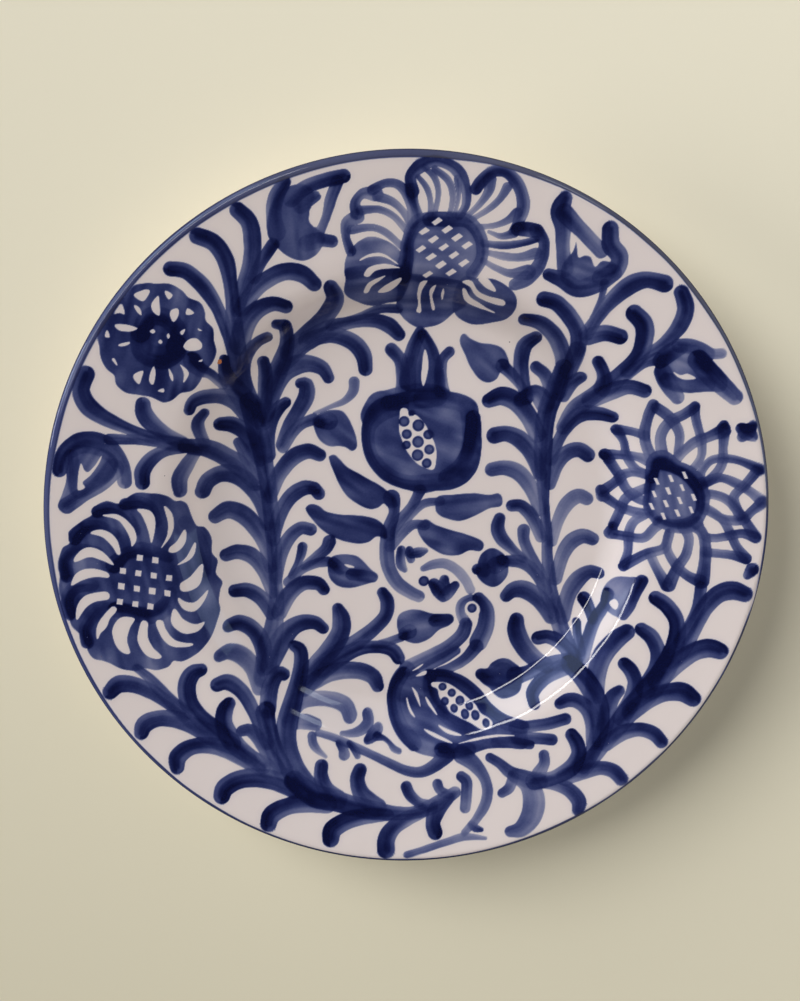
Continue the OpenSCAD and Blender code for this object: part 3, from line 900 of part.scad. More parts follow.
// Two small blossoms near the lip at the right
rim_blossoms_marks = [
  [],
  [ // strokes
    [[136.6, 38, 4.6], [139, 36.5, 6.5], [141.2, 34.7, 4.4]],
    [[141.2, 39.3, 3.8], [139, 36.5, 6], [137.2, 34.4, 4.4]],
    [[143.6, -21.5, 5.6], [141.8, -24, 3.6]]
  ],
  [],
  [],
  []
];

/* [Hidden] */

/* [Which piece] */
// Which piece to draw ("all" draws the whole plate)

/* [Hidden] */
lip_c = [plate_r - lip_r, plate_h - lip_r];

// Height of the glazed face against radius: well, wall and flange
face = [[0, 12.5], [60, 12.7], [84, 13.2], [87, 14.2], [90, 16.2], [94, 20], [98, 23.8],
  [101, 25.7], [104, 26.9], [110, 28.2], [120, 29.9], [130, 31.6], [140, 33.2], [146, 34.2],
  [lip_c[0], plate_h]];

// Height of the back of the clay against radius, from the lip to the foot ring
back = [[lip_c[0], lip_c[1] - lip_r + glaze_t], [140, 27.7], [120, 24.2], [105, 21.2], [101, 19.6],
  [97, 16.2], [93, 12.2], [89, 8.6], [85, 6.2], [81.5, 5.2]];

// Ceiling of the recess inside the foot ring
recess = [[foot_inner_r - 2.6, 5.2], [0, 5.6]];

// The foot ring, which stays bare
foot = [[81, 4.4], [foot_outer_r + 1, 0.8], [foot_outer_r, 0], [foot_inner_r, 0],
  [foot_inner_r - 0.8, 0.8], [foot_inner_r - 1.2, 4.2]];

function flip(p) = [for (i = [len(p) - 1:-1:0]) p[i]];
function lift(p, z) = [for (q = p) [q[0], q[1] + z]];
function arc(c, r, from, to, n) = [for (i = [0:n]) c + r * [cos(from + (to - from) * i / n),
  sin(from + (to - from) * i / n)]];

// A smooth curve through four points, at t between b and c
function curve(a, b, c, d, t) = 0.5 * (2 * b + (c - a) * t + (2 * a - 5 * b + 4 * c - d) * t * t
  + (3 * b - a - 3 * c + d) * t * t * t);

// Centre line and width of a stroke
function sweep(p) = let (m = len(p) - 1) [for (i = [0:m - 1], k = [0:brush_steps - 1])
  curve(p[max(i - 1, 0)], p[i], p[i + 1], p[min(i + 2, m)], k / brush_steps), p[m]];

function flat(q) = [q[0], q[1]];
function unit(v) = v / norm(v);
function headings(q) = let (m = len(q) - 1) [for (i = [0:m])
  unit(flat(q[min(i + 1, m)]) - flat(q[max(i - 1, 0)]))];
function side(q, h, s) = [for (i = [0:len(q) - 1]) flat(q[i]) + s * q[i][2] / 2 * [-h[i][1], h[i][0]]];
function round_end(c, h) = [for (a = [45, 90, 135])
  flat(c) + c[2] / 2 * (cos(a) * [-h[1], h[0]] + sin(a) * h)];

// Outline of one brush stroke with round ends
function stroke(p) = let (q = sweep(p), h = headings(q), m = len(q) - 1) concat(
  side(q, h, 1), round_end(q[m], h[m]), flip(side(q, h, -1)), round_end(q[0], -h[0]));

// Outline of a wash
function wash(p) = let (m = len(p)) [for (i = [0:m - 1], k = [0:wash_steps - 1])
  curve(p[(i + m - 1) % m], p[i], p[(i + 1) % m], p[(i + 2) % m], k / wash_steps)];

// White squares left between crossed lines
module squares(l) for (i = [l[3][0]:l[3][1]], j = [l[4][0]:l[4][1]])
  if (norm(l[0] + i * l[1] + j * l[2] - l[5]) <= l[6])
    translate(l[0] + i * l[1] + j * l[2]) multmatrix([
      [cos(l[8][0]), cos(l[8][1]), 0, 0],
      [sin(l[8][0]), sin(l[8][1]), 0, 0],
      [0, 0, 1, 0],
      [0, 0, 0, 1]]) square(l[7], center = true);

// All the marks of one motif, flat
module marks(m) difference() {
  union() {
    for (p = m[0]) polygon(wash(p));
    for (p = m[1]) polygon(stroke(p));
    for (d = m[3]) translate([d[0][0], d[0][1]]) circle(d = d[0][2], $fn = 64);
  }
  for (p = m[2]) polygon(wash(p));
  if (len(m[4]) > 0) squares(m[4]);
}

// Thin layer lying on the glazed face, up to the lip band
module film() rotate_extrude($fn = 180) polygon(concat(lift(face, mark_t), flip(face)));

// One motif laid on the face, beside the motifs listed with it
module cobalt(m, beside) color([0.12, 0.15, 0.38]) intersection() {
  film();
  linear_extrude(40) difference() {
    marks(m);
    for (b = beside) marks(b);
  }
}

// Fired earthenware with its foot ring, all in one
module clay_body() color([0.78, 0.6, 0.46]) rotate_extrude($fn = 180) polygon(concat(
  lift([for (i = [0:len(face) - 2]) face[i]], -glaze_t),
  arc(lip_c, lip_r - glaze_t, 90, -90, 6), [for (i = [1:len(back) - 1]) back[i]], foot, recess));

// White tin glaze over the face
module face_glaze() color([0.86, 0.82, 0.81]) rotate_extrude($fn = 180) polygon(concat(
  face, flip(lift(face, -glaze_t))));

// White tin glaze over the back, from the lip to the foot ring
module back_glaze() color([0.86, 0.82, 0.81]) rotate_extrude($fn = 180) polygon(concat(
  back, flip(lift(back, -glaze_t))));

// White tin glaze inside the foot ring
module foot_recess_glaze() color([0.86, 0.82, 0.81]) rotate_extrude($fn = 180) polygon(concat(
  recess, flip(lift(recess, -glaze_t))));

// Blue-grey band brushed round the lip
module lip_band() color([0.3, 0.33, 0.46]) rotate_extrude($fn = 180) polygon(concat(
  arc(lip_c, lip_r, 90, -90, 6), arc(lip_c, lip_r - glaze_t, -90, 90, 6)));

// Large open flower at the top, with a hatched centre
module top_flower() cobalt(top_flower_marks, []);

// Scalloped flower at the upper left, with its stem
module upper_left_flower() cobalt(upper_left_flower_marks, []);

// Large whirling flower at the left, with a hatched centre
module left_flower() cobalt(left_flower_marks, []);

// Star flower of crossed loops at the right, with a hatched centre
module right_flower() cobalt(right_flower_marks, []);

// Tulip near the lip at the upper left
module upper_left_tulip() cobalt(upper_left_tulip_marks, []);

// Tulip near the lip at the left
module left_tulip() cobalt(left_tulip_marks, []);

// Tulip near the lip at the upper right
module upper_right_tulip() cobalt(upper_right_tulip_marks, []);

// Tulip near the lip at the right
module right_tulip() cobalt(right_tulip_marks, []);

// Spray of leaves that tops the left frond
module upper_left_spray() cobalt(upper_left_spray_marks,
  [upper_left_flower_marks, upper_left_tulip_marks]);

// Leaves between the left frond and the top flower
module inner_left_spray() cobalt(inner_left_spray_marks,
  [top_flower_marks, upper_leaf_bud_marks, upper_left_spray_marks]);

// Leaves between the left frond and the left tulip
module left_mid_spray() cobalt(left_mid_spray_marks,
  [upper_left_flower_marks, left_tulip_marks, upper_left_spray_marks, inner_left_spray_marks]);

// Tall frond left of the pomegranate
module left_frond() cobalt(left_frond_marks,
  [upper_left_spray_marks, inner_left_spray_marks, left_mid_spray_marks, lower_leaf_bud_marks]);

// Tall frond right of the pomegranate
module right_frond() cobalt(right_frond_marks,
  [upper_right_spray_marks, pomegranate_side_leaf_marks, ball_bud_marks]);

// Spray of leaves that tops the right frond
module upper_right_spray() cobalt(upper_right_spray_marks,
  [upper_right_tulip_marks, right_tulip_marks, pomegranate_side_leaf_marks]);

// Pomegranate with its crown, split open
module pomegranate() cobalt(pomegranate_marks, []);

// Seeds in the split of the pomegranate
module pomegranate_seeds() cobalt(pomegranate_seeds_marks, []);

// Branch under the pomegranate with four long leaves
module pomegranate_branch() cobalt(pomegranate_branch_marks, [pomegranate_marks]);

// Heart-shaped leaf beside the crown
module pomegranate_side_leaf() cobalt(pomegranate_side_leaf_marks, []);

// Leaf bud left of the pomegranate
module upper_leaf_bud() cobalt(upper_leaf_bud_marks, []);

// Leaf bud below the branch, with two small leaves
module lower_leaf_bud() cobalt(lower_leaf_bud_marks, []);

// Round bud on the right frond
module ball_bud() cobalt(ball_bud_marks, []);

// Leaf bud left of the bird
module lower_centre_bud() cobalt(lower_centre_bud_marks, []);

// Bud between the bird and the right frond
module lower_right_bud() cobalt(lower_right_bud_marks, [right_frond_marks, right_garland_marks]);

// Tulip and small buds beside the right frond
module lower_right_tulip() cobalt(lower_right_tulip_marks,
  [right_frond_marks, right_garland_marks, lower_right_bud_marks]);

// Leaves under the right frond
module lower_right_leaf() cobalt(lower_right_leaf_marks,
  [right_frond_marks, right_garland_marks, lower_right_bud_marks]);

// Leaves along the lower left of the lip
module lower_left_garland() cobalt(lower_left_garland_marks, [left_flower_marks, left_frond_marks]);

// Leaves left of the bird
module lower_centre_spray() cobalt(lower_centre_spray_marks,
  [left_frond_marks, lower_left_garland_marks, lower_centre_bud_marks]);

// Leaves along the bottom of the lip
module bottom_garland() cobalt(bottom_garland_marks,
  [lower_left_garland_marks, lower_centre_spray_marks]);

// Leaves along the lower right of the lip
module right_garland() cobalt(right_garland_marks, [right_flower_marks, right_frond_marks]);

// Bird, with its neck, wing and tail
module bird() cobalt(bird_marks, []);

// Pupil of the bird
module bird_eye() cobalt(bird_eye_marks, []);

// Dots on the wing of the bird
module bird_wing_dots() cobalt(bird_wing_dots_marks, []);

// Crest of the bird
module bird_crest() cobalt(bird_crest_marks, []);

// Legs and trailing ribbon of the bird
module bird_legs() cobalt(bird_legs_marks, [bird_marks]);

// Small sprigs and dots round the bird
module filler_sprigs() cobalt(filler_sprigs_marks, [bird_legs_marks]);

// Two small blossoms near the lip at the right
module rim_blossoms() cobalt(rim_blossoms_marks, [right_flower_marks]);

clay_body();
face_glaze();
back_glaze();
foot_recess_glaze();
lip_band();
top_flower();
upper_left_flower();
left_flower();
right_flower();
upper_left_tulip();
left_tulip();
upper_right_tulip();
right_tulip();
upper_left_spray();
inner_left_spray();
left_mid_spray();
left_frond();
right_frond();
upper_right_spray();
pomegranate();
pomegranate_seeds();
pomegranate_branch();
pomegranate_side_leaf();
upper_leaf_bud();
lower_leaf_bud();
ball_bud();
lower_centre_bud();
lower_right_bud();
lower_right_tulip();
lower_right_leaf();
lower_left_garland();
lower_centre_spray();
bottom_garland();
right_garland();
bird();
bird_eye();
bird_wing_dots();
bird_crest();
bird_legs();
filler_sprigs();
rim_blossoms();
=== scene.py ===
"""Hand painted ceramic plate: the looks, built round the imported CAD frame. Blender 4.5.

Lengths in the lists and up to make_object are mm in the plate's own frame. Blender's own
meshes, lights, camera and floor are in metres."""
import math
import bpy
import numpy as np
from mathutils import Matrix, Vector


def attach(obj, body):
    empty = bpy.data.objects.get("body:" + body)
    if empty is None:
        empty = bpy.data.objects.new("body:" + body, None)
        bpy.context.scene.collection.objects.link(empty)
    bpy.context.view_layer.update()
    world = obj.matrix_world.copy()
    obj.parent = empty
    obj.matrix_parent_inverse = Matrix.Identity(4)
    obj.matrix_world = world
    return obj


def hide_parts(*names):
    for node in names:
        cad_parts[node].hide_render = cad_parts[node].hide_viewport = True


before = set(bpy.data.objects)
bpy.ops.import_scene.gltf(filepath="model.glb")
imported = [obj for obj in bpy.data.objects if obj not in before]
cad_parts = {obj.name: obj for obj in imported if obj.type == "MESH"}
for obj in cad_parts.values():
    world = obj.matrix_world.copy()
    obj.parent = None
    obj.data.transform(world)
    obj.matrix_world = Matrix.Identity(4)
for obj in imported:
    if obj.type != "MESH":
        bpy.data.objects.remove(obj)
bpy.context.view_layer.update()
MM = 0.001                 # metres in a millimetre

# ---------------------------------------------------------------- cross-section, as in the CAD
# every list is (radius, height), the clay's own for the back, foot and recess
LIP_C = (147.2, 31.6)      # centre of the rounded lip
LIP_R = 2.8
GLAZE_T = 0.4              # thickness of the glaze
FACE = [(0, 12.5), (60, 12.7), (84, 13.2), (87, 14.2), (90, 16.2), (94, 20), (98, 23.8),
        (101, 25.7), (104, 26.9), (110, 28.2), (120, 29.9), (130, 31.6), (140, 33.2),
        (146, 34.2), (147.2, 34.4)]
BACK = [(147.2, 29.2), (140, 27.7), (120, 24.2), (105, 21.2), (101, 19.6), (97, 16.2), (93, 12.2),
        (89, 8.6), (85, 6.2), (81.5, 5.2)]
FOOT = [(81, 4.4), (80.2, 0.8), (79.2, 0), (73, 0), (72.2, 0.8), (71.8, 4.2)]
RECESS = [(70.4, 5.2), (0, 5.6)]

# ---------------------------------------------------------------- the painting
# Every motif: S strokes, each a tone and then [x, y, brush width] from tip to base; F washes, each
# a tone and then a closed outline; G outlines left white; D dots, a tone and then [x, y, diameter];
# L hatching, the white squares between crossed lines.
# A tone is how much cobalt the brush carried: 1 is the darkest.
MOTIFS = {
    # Large open flower at the top, with a hatched centre
    "top_flower": dict(F=[
        [0.6, [14, 125.5], [23, 123], [29, 116], [30, 107], [26, 99], [15, 96.5], [3, 98],
         [-2, 106], [-1, 116], [5, 123.5]],
        [0.8, [27, 99], [35, 98.5], [41.5, 94.5], [44.3, 90], [43.5, 85], [40, 81.5], [34, 80],
         [28, 79.2], [23, 81], [19.5, 84.5], [19, 92], [22, 99]],
        [0.9, [-3, 100], [-4, 92], [-4.5, 86.5], [-1, 81.5], [4, 78.3], [9, 78.3], [14.5, 80.2],
         [19.5, 84.5], [24, 88], [24, 96], [14, 99]],
        [0.9, [-25, 103], [-25.5, 98.5], [-26, 93], [-22, 89.5], [-15, 87.3], [-8, 88.5], [-3, 90],
         [0, 97], [0, 103], [-12, 104]],
        [0.6, [-25, 99], [-26, 104], [-24, 110], [-19, 114.5], [-14, 115.7], [-7, 113],
         [-2.5, 108.5], [0, 103], [-8, 100], [-18, 99.5]],
    ], S=[
        [0.95, [-3, 100, 7], [-1, 107, 5.5], [-0.5, 114, 5], [3, 121, 5.5], [8, 123, 5]],
        [0.75, [8, 122.5, 5], [16, 122.5, 5.5], [24, 121.5, 5], [29, 115, 5], [29.5, 107, 4.5],
         [26, 101, 5]],
        [0.85, [1.5, 133.5, 5], [0.5, 139, 4.5], [4, 143, 5.5], [10, 145.2, 4.5], [16, 143.5, 4.5],
         [20, 140, 5], [22.5, 134, 4], [22.5, 128, 3.5], [20, 124, 3]],
        [0.8, [1, 134, 5], [2, 129, 3.5], [4, 124, 3.5]],
        [0.5, [3.5, 139, 2], [7, 134.5, 2.6], [8.5, 129, 2.3], [8.3, 123, 2]],
        [0.5, [6, 142.5, 2], [10, 138.5, 2.6], [11.5, 132.5, 2.4], [10, 124, 2]],
        [0.55, [10, 142, 2.5], [15.5, 137.5, 3], [17.3, 131, 2.6], [16, 124, 2]],
        [0.5, [19, 138, 3], [19.6, 131, 1.8], [18, 124, 1.6]],
        [0.85, [26.5, 134.5, 5], [29, 138, 4.8], [33, 141, 4.6], [38, 141, 4.5], [42, 137.5, 5],
         [44.5, 133, 5], [45.5, 127.5, 5.5], [44, 122, 4.5], [42, 118, 4]],
        [0.5, [32, 138, 5], [31.5, 133.5, 4], [28, 128.5, 2.8], [23.5, 124, 2.2]],
        [0.5, [38.8, 135, 4], [36, 130.5, 3], [31, 126, 2.5], [25, 122.5, 2.2]],
        [0.5, [43, 125, 4], [39, 121.8, 3], [34, 120, 2.4], [28, 119.5, 2.2]],
        [1, [43.5, 118.5, 5], [47, 118.5, 6], [51, 118, 5.5]],
        [0.8, [51, 118, 5.5], [54, 114, 4.4], [54, 109, 5], [52, 103.5, 5.5], [48, 99, 6],
         [43, 96.5, 5]],
        [0.5, [42, 117, 4], [37, 115.8, 2.6], [32, 117.5, 1.6]],
        [0.75, [51, 114.5, 2.5], [45, 113, 3], [38, 112.2, 3.2], [30, 113, 2.6]],
        [0.45, [51, 109, 4.5], [44.5, 107.4, 3.6], [38, 107.8, 3.4], [31, 109.5, 2]],
        [0.5, [48, 101.5, 6], [41, 101, 3.6], [35.5, 103, 2.6], [30, 106, 2]],
        [0.75, [-23.5, 110, 4], [-25.3, 115.5, 3.4], [-25, 121, 4.5], [-20.5, 123.5, 5.5]],
        [0.65, [-21, 125, 5], [-21.5, 129, 4], [-18.5, 132.5, 4], [-13.5, 132.5, 6.2]],
        [0.65, [-14.5, 134, 4], [-10, 136.4, 3.4], [-5, 136.2, 3.6], [-1.5, 133, 4], [1, 127, 4],
         [1.5, 121, 4]],
        [0.5, [-23, 118.3, 3.6], [-15, 119.3, 3], [-9, 117, 3], [-2, 111, 2.8]],
        [0.5, [-19, 126, 3.6], [-12, 126.3, 3], [-6, 123.5, 3], [-1, 118, 2.8]],
        [0.5, [-12.5, 131.3, 4], [-7, 129.5, 3.4], [-2.5, 125.5, 3], [0.5, 120, 2.6]],
    ], G=[
        [[-19.7, 106.3], [-15.5, 108.7], [-10, 108.6], [-4.3, 104.6], [-10, 107.6], [-15.5, 107.7]],
        [[-18, 100.3], [-16, 103.4], [-10, 104.7], [-3.7, 103.2], [-10, 103], [-14, 101.8],
         [-16, 99.8]],
        [[-18, 93.3], [-16, 97], [-9.5, 100], [-11.5, 98.3], [-15, 95.7], [-16.5, 93.2]],
        [[-12.3, 93.3], [-8, 96.8], [-3, 99], [-4.8, 95.7], [-9, 93.2]],
        [[7.7, 97.8], [5, 97], [3.9, 92.5], [4.6, 88], [3.9, 85], [5.6, 84.8], [5.1, 90],
         [5.8, 94.5]],
        [[11.2, 96], [9, 93.5], [10.2, 86.2], [11.1, 86.2], [10, 91.5], [10.6, 94]],
        [[14.4, 94.5], [13.7, 92], [14.2, 89.8], [14.7, 92.5]],
        [[28.3, 98.8], [32, 98.8], [35.4, 93.8], [32, 95], [30, 96.5]],
        [[22, 97.5], [25.5, 97.7], [28.5, 93.5], [33, 91.3], [38.8, 89.8], [39, 87.7], [34, 88.8],
         [28, 91.7], [25, 95.5]],
        [[22.2, 94.3], [23.7, 89.6], [29, 86.8], [36, 84.4], [30.5, 87.7], [25.5, 91],
         [23.5, 94.3]],
    ], L=dict(first=[4.8, 110.7], step_a=[5.2, 3.9], step_b=[4.1, -3.15], count_a=[-1, 3],
        count_b=[-1, 3], centre=[14, 111], reach=12.4, size=[3.6, 2], turn=[34, -38])),
    # Scalloped flower at the upper left, with its stem
    "upper_left_flower": dict(F=[
        [0.9, [-101, 97.3], [-96, 97.2], [-91, 94.6], [-88.5, 91.7], [-84, 89.6], [-82.2, 86],
         [-82, 82.5], [-79.3, 79], [-79, 74], [-78.2, 69.5], [-80, 65], [-83, 61.5], [-85.5, 57],
         [-88.5, 53.8], [-93, 52.8], [-96, 50.4], [-100, 49.2], [-105, 51.5], [-110, 52.5],
         [-115, 53.6], [-118.5, 57], [-119, 60.6], [-122, 63.5], [-124, 68], [-124.4, 73],
         [-125, 78], [-122.5, 82.5], [-119.5, 87], [-116, 90.5], [-113, 93.2], [-109.5, 96.6],
         [-105, 97.6]],
    ], S=[
        [1, [-108, 77.5, 7], [-104, 84, 7], [-97, 83, 7], [-93, 77, 7], [-94, 71, 8]],
        [1, [-93.8, 72.5, 7.5], [-95, 69.5, 8], [-100, 67.5, 9], [-107, 70, 8], [-108.3, 77, 7]],
        [0.9, [-88, 66, 7], [-85, 62.3, 5.5], [-81, 60.3, 4.4], [-76.5, 55.5, 4]],
    ], G=[
        [[-117.9, 85.6], [-115, 89.3], [-113.8, 85.3], [-115.8, 85.8]],
        [[-109.7, 92.8], [-106, 94.8], [-103.8, 94.5], [-104.6, 92.4], [-106.6, 90.4]],
        [[-97.4, 94.3], [-94.9, 92.7], [-96.3, 91], [-97.3, 92.6]],
        [[-100.8, 92.1], [-103, 89.3], [-102.6, 86.3], [-100.4, 84.6], [-100, 88], [-100.2, 91.7]],
        [[-109.8, 88.6], [-108, 87.6], [-107.4, 84.9], [-109, 86.4]],
        [[-95.5, 86.6], [-93, 87.2], [-92.9, 84.6], [-94.8, 82.1], [-96, 84.5]],
        [[-89, 87.2], [-86.6, 85.4], [-89.5, 84.9]],
        [[-117.7, 81], [-113, 80.9], [-109.2, 79.5], [-112, 78.4], [-116.2, 78.9]],
        [[-121, 78.8], [-120.1, 76.2], [-121.8, 76.4]],
        [[-116.7, 73], [-112.6, 73.9], [-113.6, 72.9], [-116, 72.5]],
        [[-119.5, 67], [-117.8, 64.8], [-118.7, 67.3]],
        [[-91.2, 72], [-89.5, 74.2], [-86.5, 75.1], [-84, 73], [-84.4, 70.9], [-87, 70.1],
         [-90, 70.4]],
        [[-92.3, 77.7], [-90.5, 78.8], [-91.6, 76.7]],
        [[-85.3, 79.2], [-83.7, 78.3], [-84.8, 78.3]],
        [[-85.5, 65.8], [-84, 66.5], [-84.3, 65.6]],
        [[-111.3, 60.6], [-107.8, 62.2], [-108.4, 59.5], [-109.4, 56.9], [-111, 58.3]],
        [[-104.8, 61], [-103.3, 64], [-102.9, 61], [-104, 56.8], [-105.1, 58]],
        [[-97.4, 63], [-96, 60.3], [-96.1, 57.9], [-97.2, 60]],
        [[-92.8, 64.5], [-90.2, 62], [-89.9, 60], [-91.7, 57.3], [-91.3, 61]],
        [[-102.1, 53.9], [-100, 54.8], [-99.9, 53.4]],
        [[-104.3, 78.2], [-103, 79.1], [-102.2, 78.1], [-103.2, 77.4]],
        [[-97.6, 76.3], [-97, 77.3], [-96.5, 76.2], [-97.1, 75.3]],
        [[-101.1, 73.9], [-100.3, 74.7], [-99.7, 73.9], [-100.3, 73.2]],
    ]),
    # Large whirling flower at the left, with a hatched centre
    "left_flower": dict(F=[
        [0.8, [-117.2, 9], [-112.7, 11.7], [-107, 11.3], [-103.3, 10.9], [-100, 9.6], [-97.2, 7.2],
         [-95, 6.9], [-92.8, 5], [-91.3, 0.7], [-89.2, -4.8], [-86, -6], [-83.2, -11], [-83.2, -17],
         [-81, -20.7], [-81.6, -26], [-79, -30], [-80, -33.5], [-80.6, -38], [-80, -41.5],
         [-81.3, -46], [-83, -50.5], [-85.5, -54], [-89, -57.5], [-95, -60.5], [-99, -60.3],
         [-101, -62.5], [-106, -63.7], [-111, -62.7], [-115, -63.5], [-120, -62.5], [-124.5, -60],
         [-128, -58.5], [-131.5, -57.5], [-133.8, -54], [-134.5, -50.5], [-137, -46.5], [-140, -43],
         [-141, -38], [-143.3, -33], [-144.6, -28], [-143.9, -22], [-144.5, -17], [-142.7, -10.5],
         [-139.5, -8], [-139.7, -3.5], [-134.7, 0.6], [-130.2, 3.3], [-129.5, 6.2], [-124.5, 8.7],
         [-119.7, 7.5]],
    ], S=[
        [0.95, [-122, -37, 6], [-116, -38.5, 6], [-109, -40.5, 6.5], [-102.5, -37.5, 7],
         [-99.5, -31.5, 4.5]],
        [0.95, [-141, -22, 5], [-141, -15.5, 5], [-136, -11.5, 5], [-129, -13, 5]],
        [0.95, [-137.5, -6.5, 5], [-133.5, -2.3, 5], [-127.5, -1.8, 4.5], [-122, -5.5, 4.5]],
        [0.95, [-128, 4.5, 5], [-122, 5, 4.6], [-116.5, 1.8, 4], [-113, -4, 4]],
        [0.9, [-117, 7.3, 4.6], [-111.5, 7.6, 5], [-106.5, 5, 4], [-104.5, -1, 3.6]],
        [0.95, [-140.8, -38, 5], [-141.5, -32, 5], [-138, -27, 5], [-131, -26.3, 4.6]],
        [0.95, [-134, -50.5, 5], [-134.5, -44.5, 4.6], [-130.5, -38.5, 4.6], [-125.5, -34.5, 3.6]],
        [0.5, [-86, -25, 4], [-86, -17, 4], [-89, -9, 4], [-94, -2, 4]],
        [0.95, [-122, -18, 7], [-117.5, -14, 5], [-111, -12.3, 6], [-105, -14, 4.5],
         [-100, -16.5, 3.5]],
    ], G=[
        [[-112, 4.8], [-107.5, 4.2], [-105.4, 1.5], [-105.2, -3], [-106.8, -9.5], [-107.8, -5],
         [-109.8, 1.5]],
        [[-126, 2.8], [-120.7, 3.1], [-116.4, 0.3], [-113.5, -4], [-113, -8], [-114.8, -10.9],
         [-115.2, -8], [-116.7, -4], [-120, 0.6]],
        [[-131, -4.4], [-127.3, -3.2], [-123, -4.8], [-120.5, -8.5], [-119.4, -13.4],
         [-120.8, -13.8], [-122.7, -10.3], [-126.5, -6.2]],
        [[-138, -16], [-135.8, -12], [-132, -10.4], [-127.8, -11.7], [-124.5, -14.7],
         [-122.4, -18.2], [-127.3, -15.9], [-132, -14.4]],
        [[-139.4, -26], [-138, -22], [-134.7, -19.9], [-130.5, -19.5], [-125.2, -21.2],
         [-124.7, -23.3], [-130, -22.8], [-135.3, -23.9]],
        [[-137.7, -40.5], [-137.4, -35], [-134.7, -31.2], [-130, -29.6], [-125.2, -29.6],
         [-124.8, -32.4], [-130, -33.2], [-134, -35.6]],
        [[-129.8, -49], [-129.9, -44.5], [-127.3, -40], [-123.3, -35.9], [-121.8, -37.4],
         [-124.7, -40.8], [-126, -44.2], [-128.5, -46.8]],
        [[-101.3, 5.4], [-98.6, 2], [-98, -2.5], [-99.3, -7.5], [-102.9, -11.9], [-100.4, -6.7],
         [-100, -1.3]],
        [[-93.8, -5.8], [-93.5, -10], [-95, -13], [-97.5, -14.5], [-100, -14], [-99.7, -12.2],
         [-96.7, -10]],
        [[-90, -12], [-90.2, -16.2], [-92.7, -19], [-96.7, -19.8], [-93.3, -17.3]],
        [[-87.2, -21.5], [-87.2, -26], [-88.8, -30], [-92.7, -31.4], [-95.4, -30.7], [-95.6, -27.9],
         [-92, -25.9]],
        [[-85, -32.6], [-86.5, -36.7], [-90, -39.8], [-94, -38.8], [-96.4, -35.3], [-96.4, -33.6],
         [-93.2, -36], [-89.3, -36.2]],
        [[-98.3, -38.2], [-99.5, -43.5], [-97.3, -47], [-94, -48.8], [-88.7, -48.1], [-86.2, -45.1],
         [-90, -45.4], [-94.7, -42.8]],
        [[-120, -40.7], [-114.6, -41.3], [-116.5, -45], [-118, -50], [-116.8, -55.8], [-120.3, -55],
         [-122.8, -51], [-123.4, -45.3]],
        [[-111.8, -43], [-109.3, -43.4], [-109.5, -49], [-107.5, -54], [-104, -58.2],
         [-107.5, -58.4], [-111.3, -55.5], [-113.3, -50]],
        [[-105.7, -43.3], [-103.3, -43], [-101.8, -47], [-98, -51.5], [-91, -53.5], [-95, -54.6],
         [-100.5, -53.2], [-104, -49]],
    ], L=dict(first=[-112.5, -22.2], step_a=[6.2, -1.35], step_b=[-0.8, -6.5], count_a=[-1, 2],
        count_b=[-1, 2], centre=[-110.5, -27], reach=12.6, size=[2.6, 2.6], turn=[-12, -97])),
    # Star flower of crossed loops at the right, with a hatched centre
    "right_flower": dict(F=[
        [0.6, [105, 21], [113, 21], [120, 15], [121, 6], [117, -2], [109, -4], [102, 0], [100, 9],
         [101, 17]],
    ], S=[
        [0.7, [101, 47.3, 4.6], [99, 42, 4.4], [98, 34.5, 4.4], [100, 27.5, 4.6], [104, 22, 6]],
        [0.65, [102.5, 46, 4.4], [108.5, 41.3, 4.6], [112, 35, 3.8], [111.5, 27.5, 3.4]],
        [0.65, [117.6, 46.8, 4.4], [113.5, 43.5, 4.4], [107.5, 40, 4.6], [104.5, 34, 4.4],
         [105.5, 26, 5]],
        [0.6, [117.6, 46.5, 4.2], [118.3, 41.5, 3.8], [121, 32, 3.8], [121, 25.5, 3.4],
         [117.5, 20, 3.2]],
        [0.8, [129.6, 39.3, 4], [129.5, 37, 6.5]],
        [0.6, [129.5, 37, 5.5], [124, 34.4, 4.5], [118.5, 32, 4.4], [114, 28, 4], [111, 24.5, 4.5]],
        [0.6, [130, 37.5, 4.8], [129.8, 30, 3.8], [130, 24.5, 4], [128, 19.5, 4], [122, 13.5, 4]],
        [0.7, [145.3, 20.8, 4.6], [138, 24, 3.6], [131.5, 25.3, 3.8], [125.5, 24.5, 3.6],
         [122, 20.5, 3.4], [120.5, 16, 5]],
        [0.65, [144, 20.8, 4.5], [139.5, 14.5, 4], [135, 9, 4], [137.5, 1.5, 4.6]],
        [0.65, [122, 14.5, 5], [129, 17, 3.8], [135.5, 15, 4], [141.5, 11.5, 4], [146.5, 7.5, 5]],
        [0.6, [146.5, 7, 5], [142.5, 3.3, 4], [138.5, -0.5, 4.4], [132, -0.5, 4], [126.5, 2, 3.6],
         [122.5, 4, 4]],
        [0.65, [144.5, -7.8, 4.6], [141, -2.5, 4.4], [137, 3, 4.2], [132, 8, 4], [126, 10, 4],
         [121, 9, 5]],
        [0.65, [144.5, -8, 4.6], [139, -6.3, 4], [133, -7.7, 3.8], [127, -8.6, 3.6], [123, -7, 3.6],
         [120.5, -2, 5]],
        [0.6, [141, -16.8, 4.6], [137, -12, 4], [134.5, -7, 4], [131.5, -1.5, 3.6], [127, 2.5, 3.6],
         [122.5, 4.5, 4]],
        [0.65, [141, -17.2, 4.4], [135, -15.6, 4], [129, -15, 3.8], [124, -14.5, 4]],
        [0.8, [123.4, -27, 6], [124.2, -20, 5], [124.3, -12, 4.8], [122.5, -6, 4.5],
         [118, -2.5, 6]],
        [0.65, [122.5, -27.3, 5.5], [117.5, -25, 4.2], [112.5, -20.5, 4.2], [109, -14, 3.6],
         [109.5, -7, 3.8]],
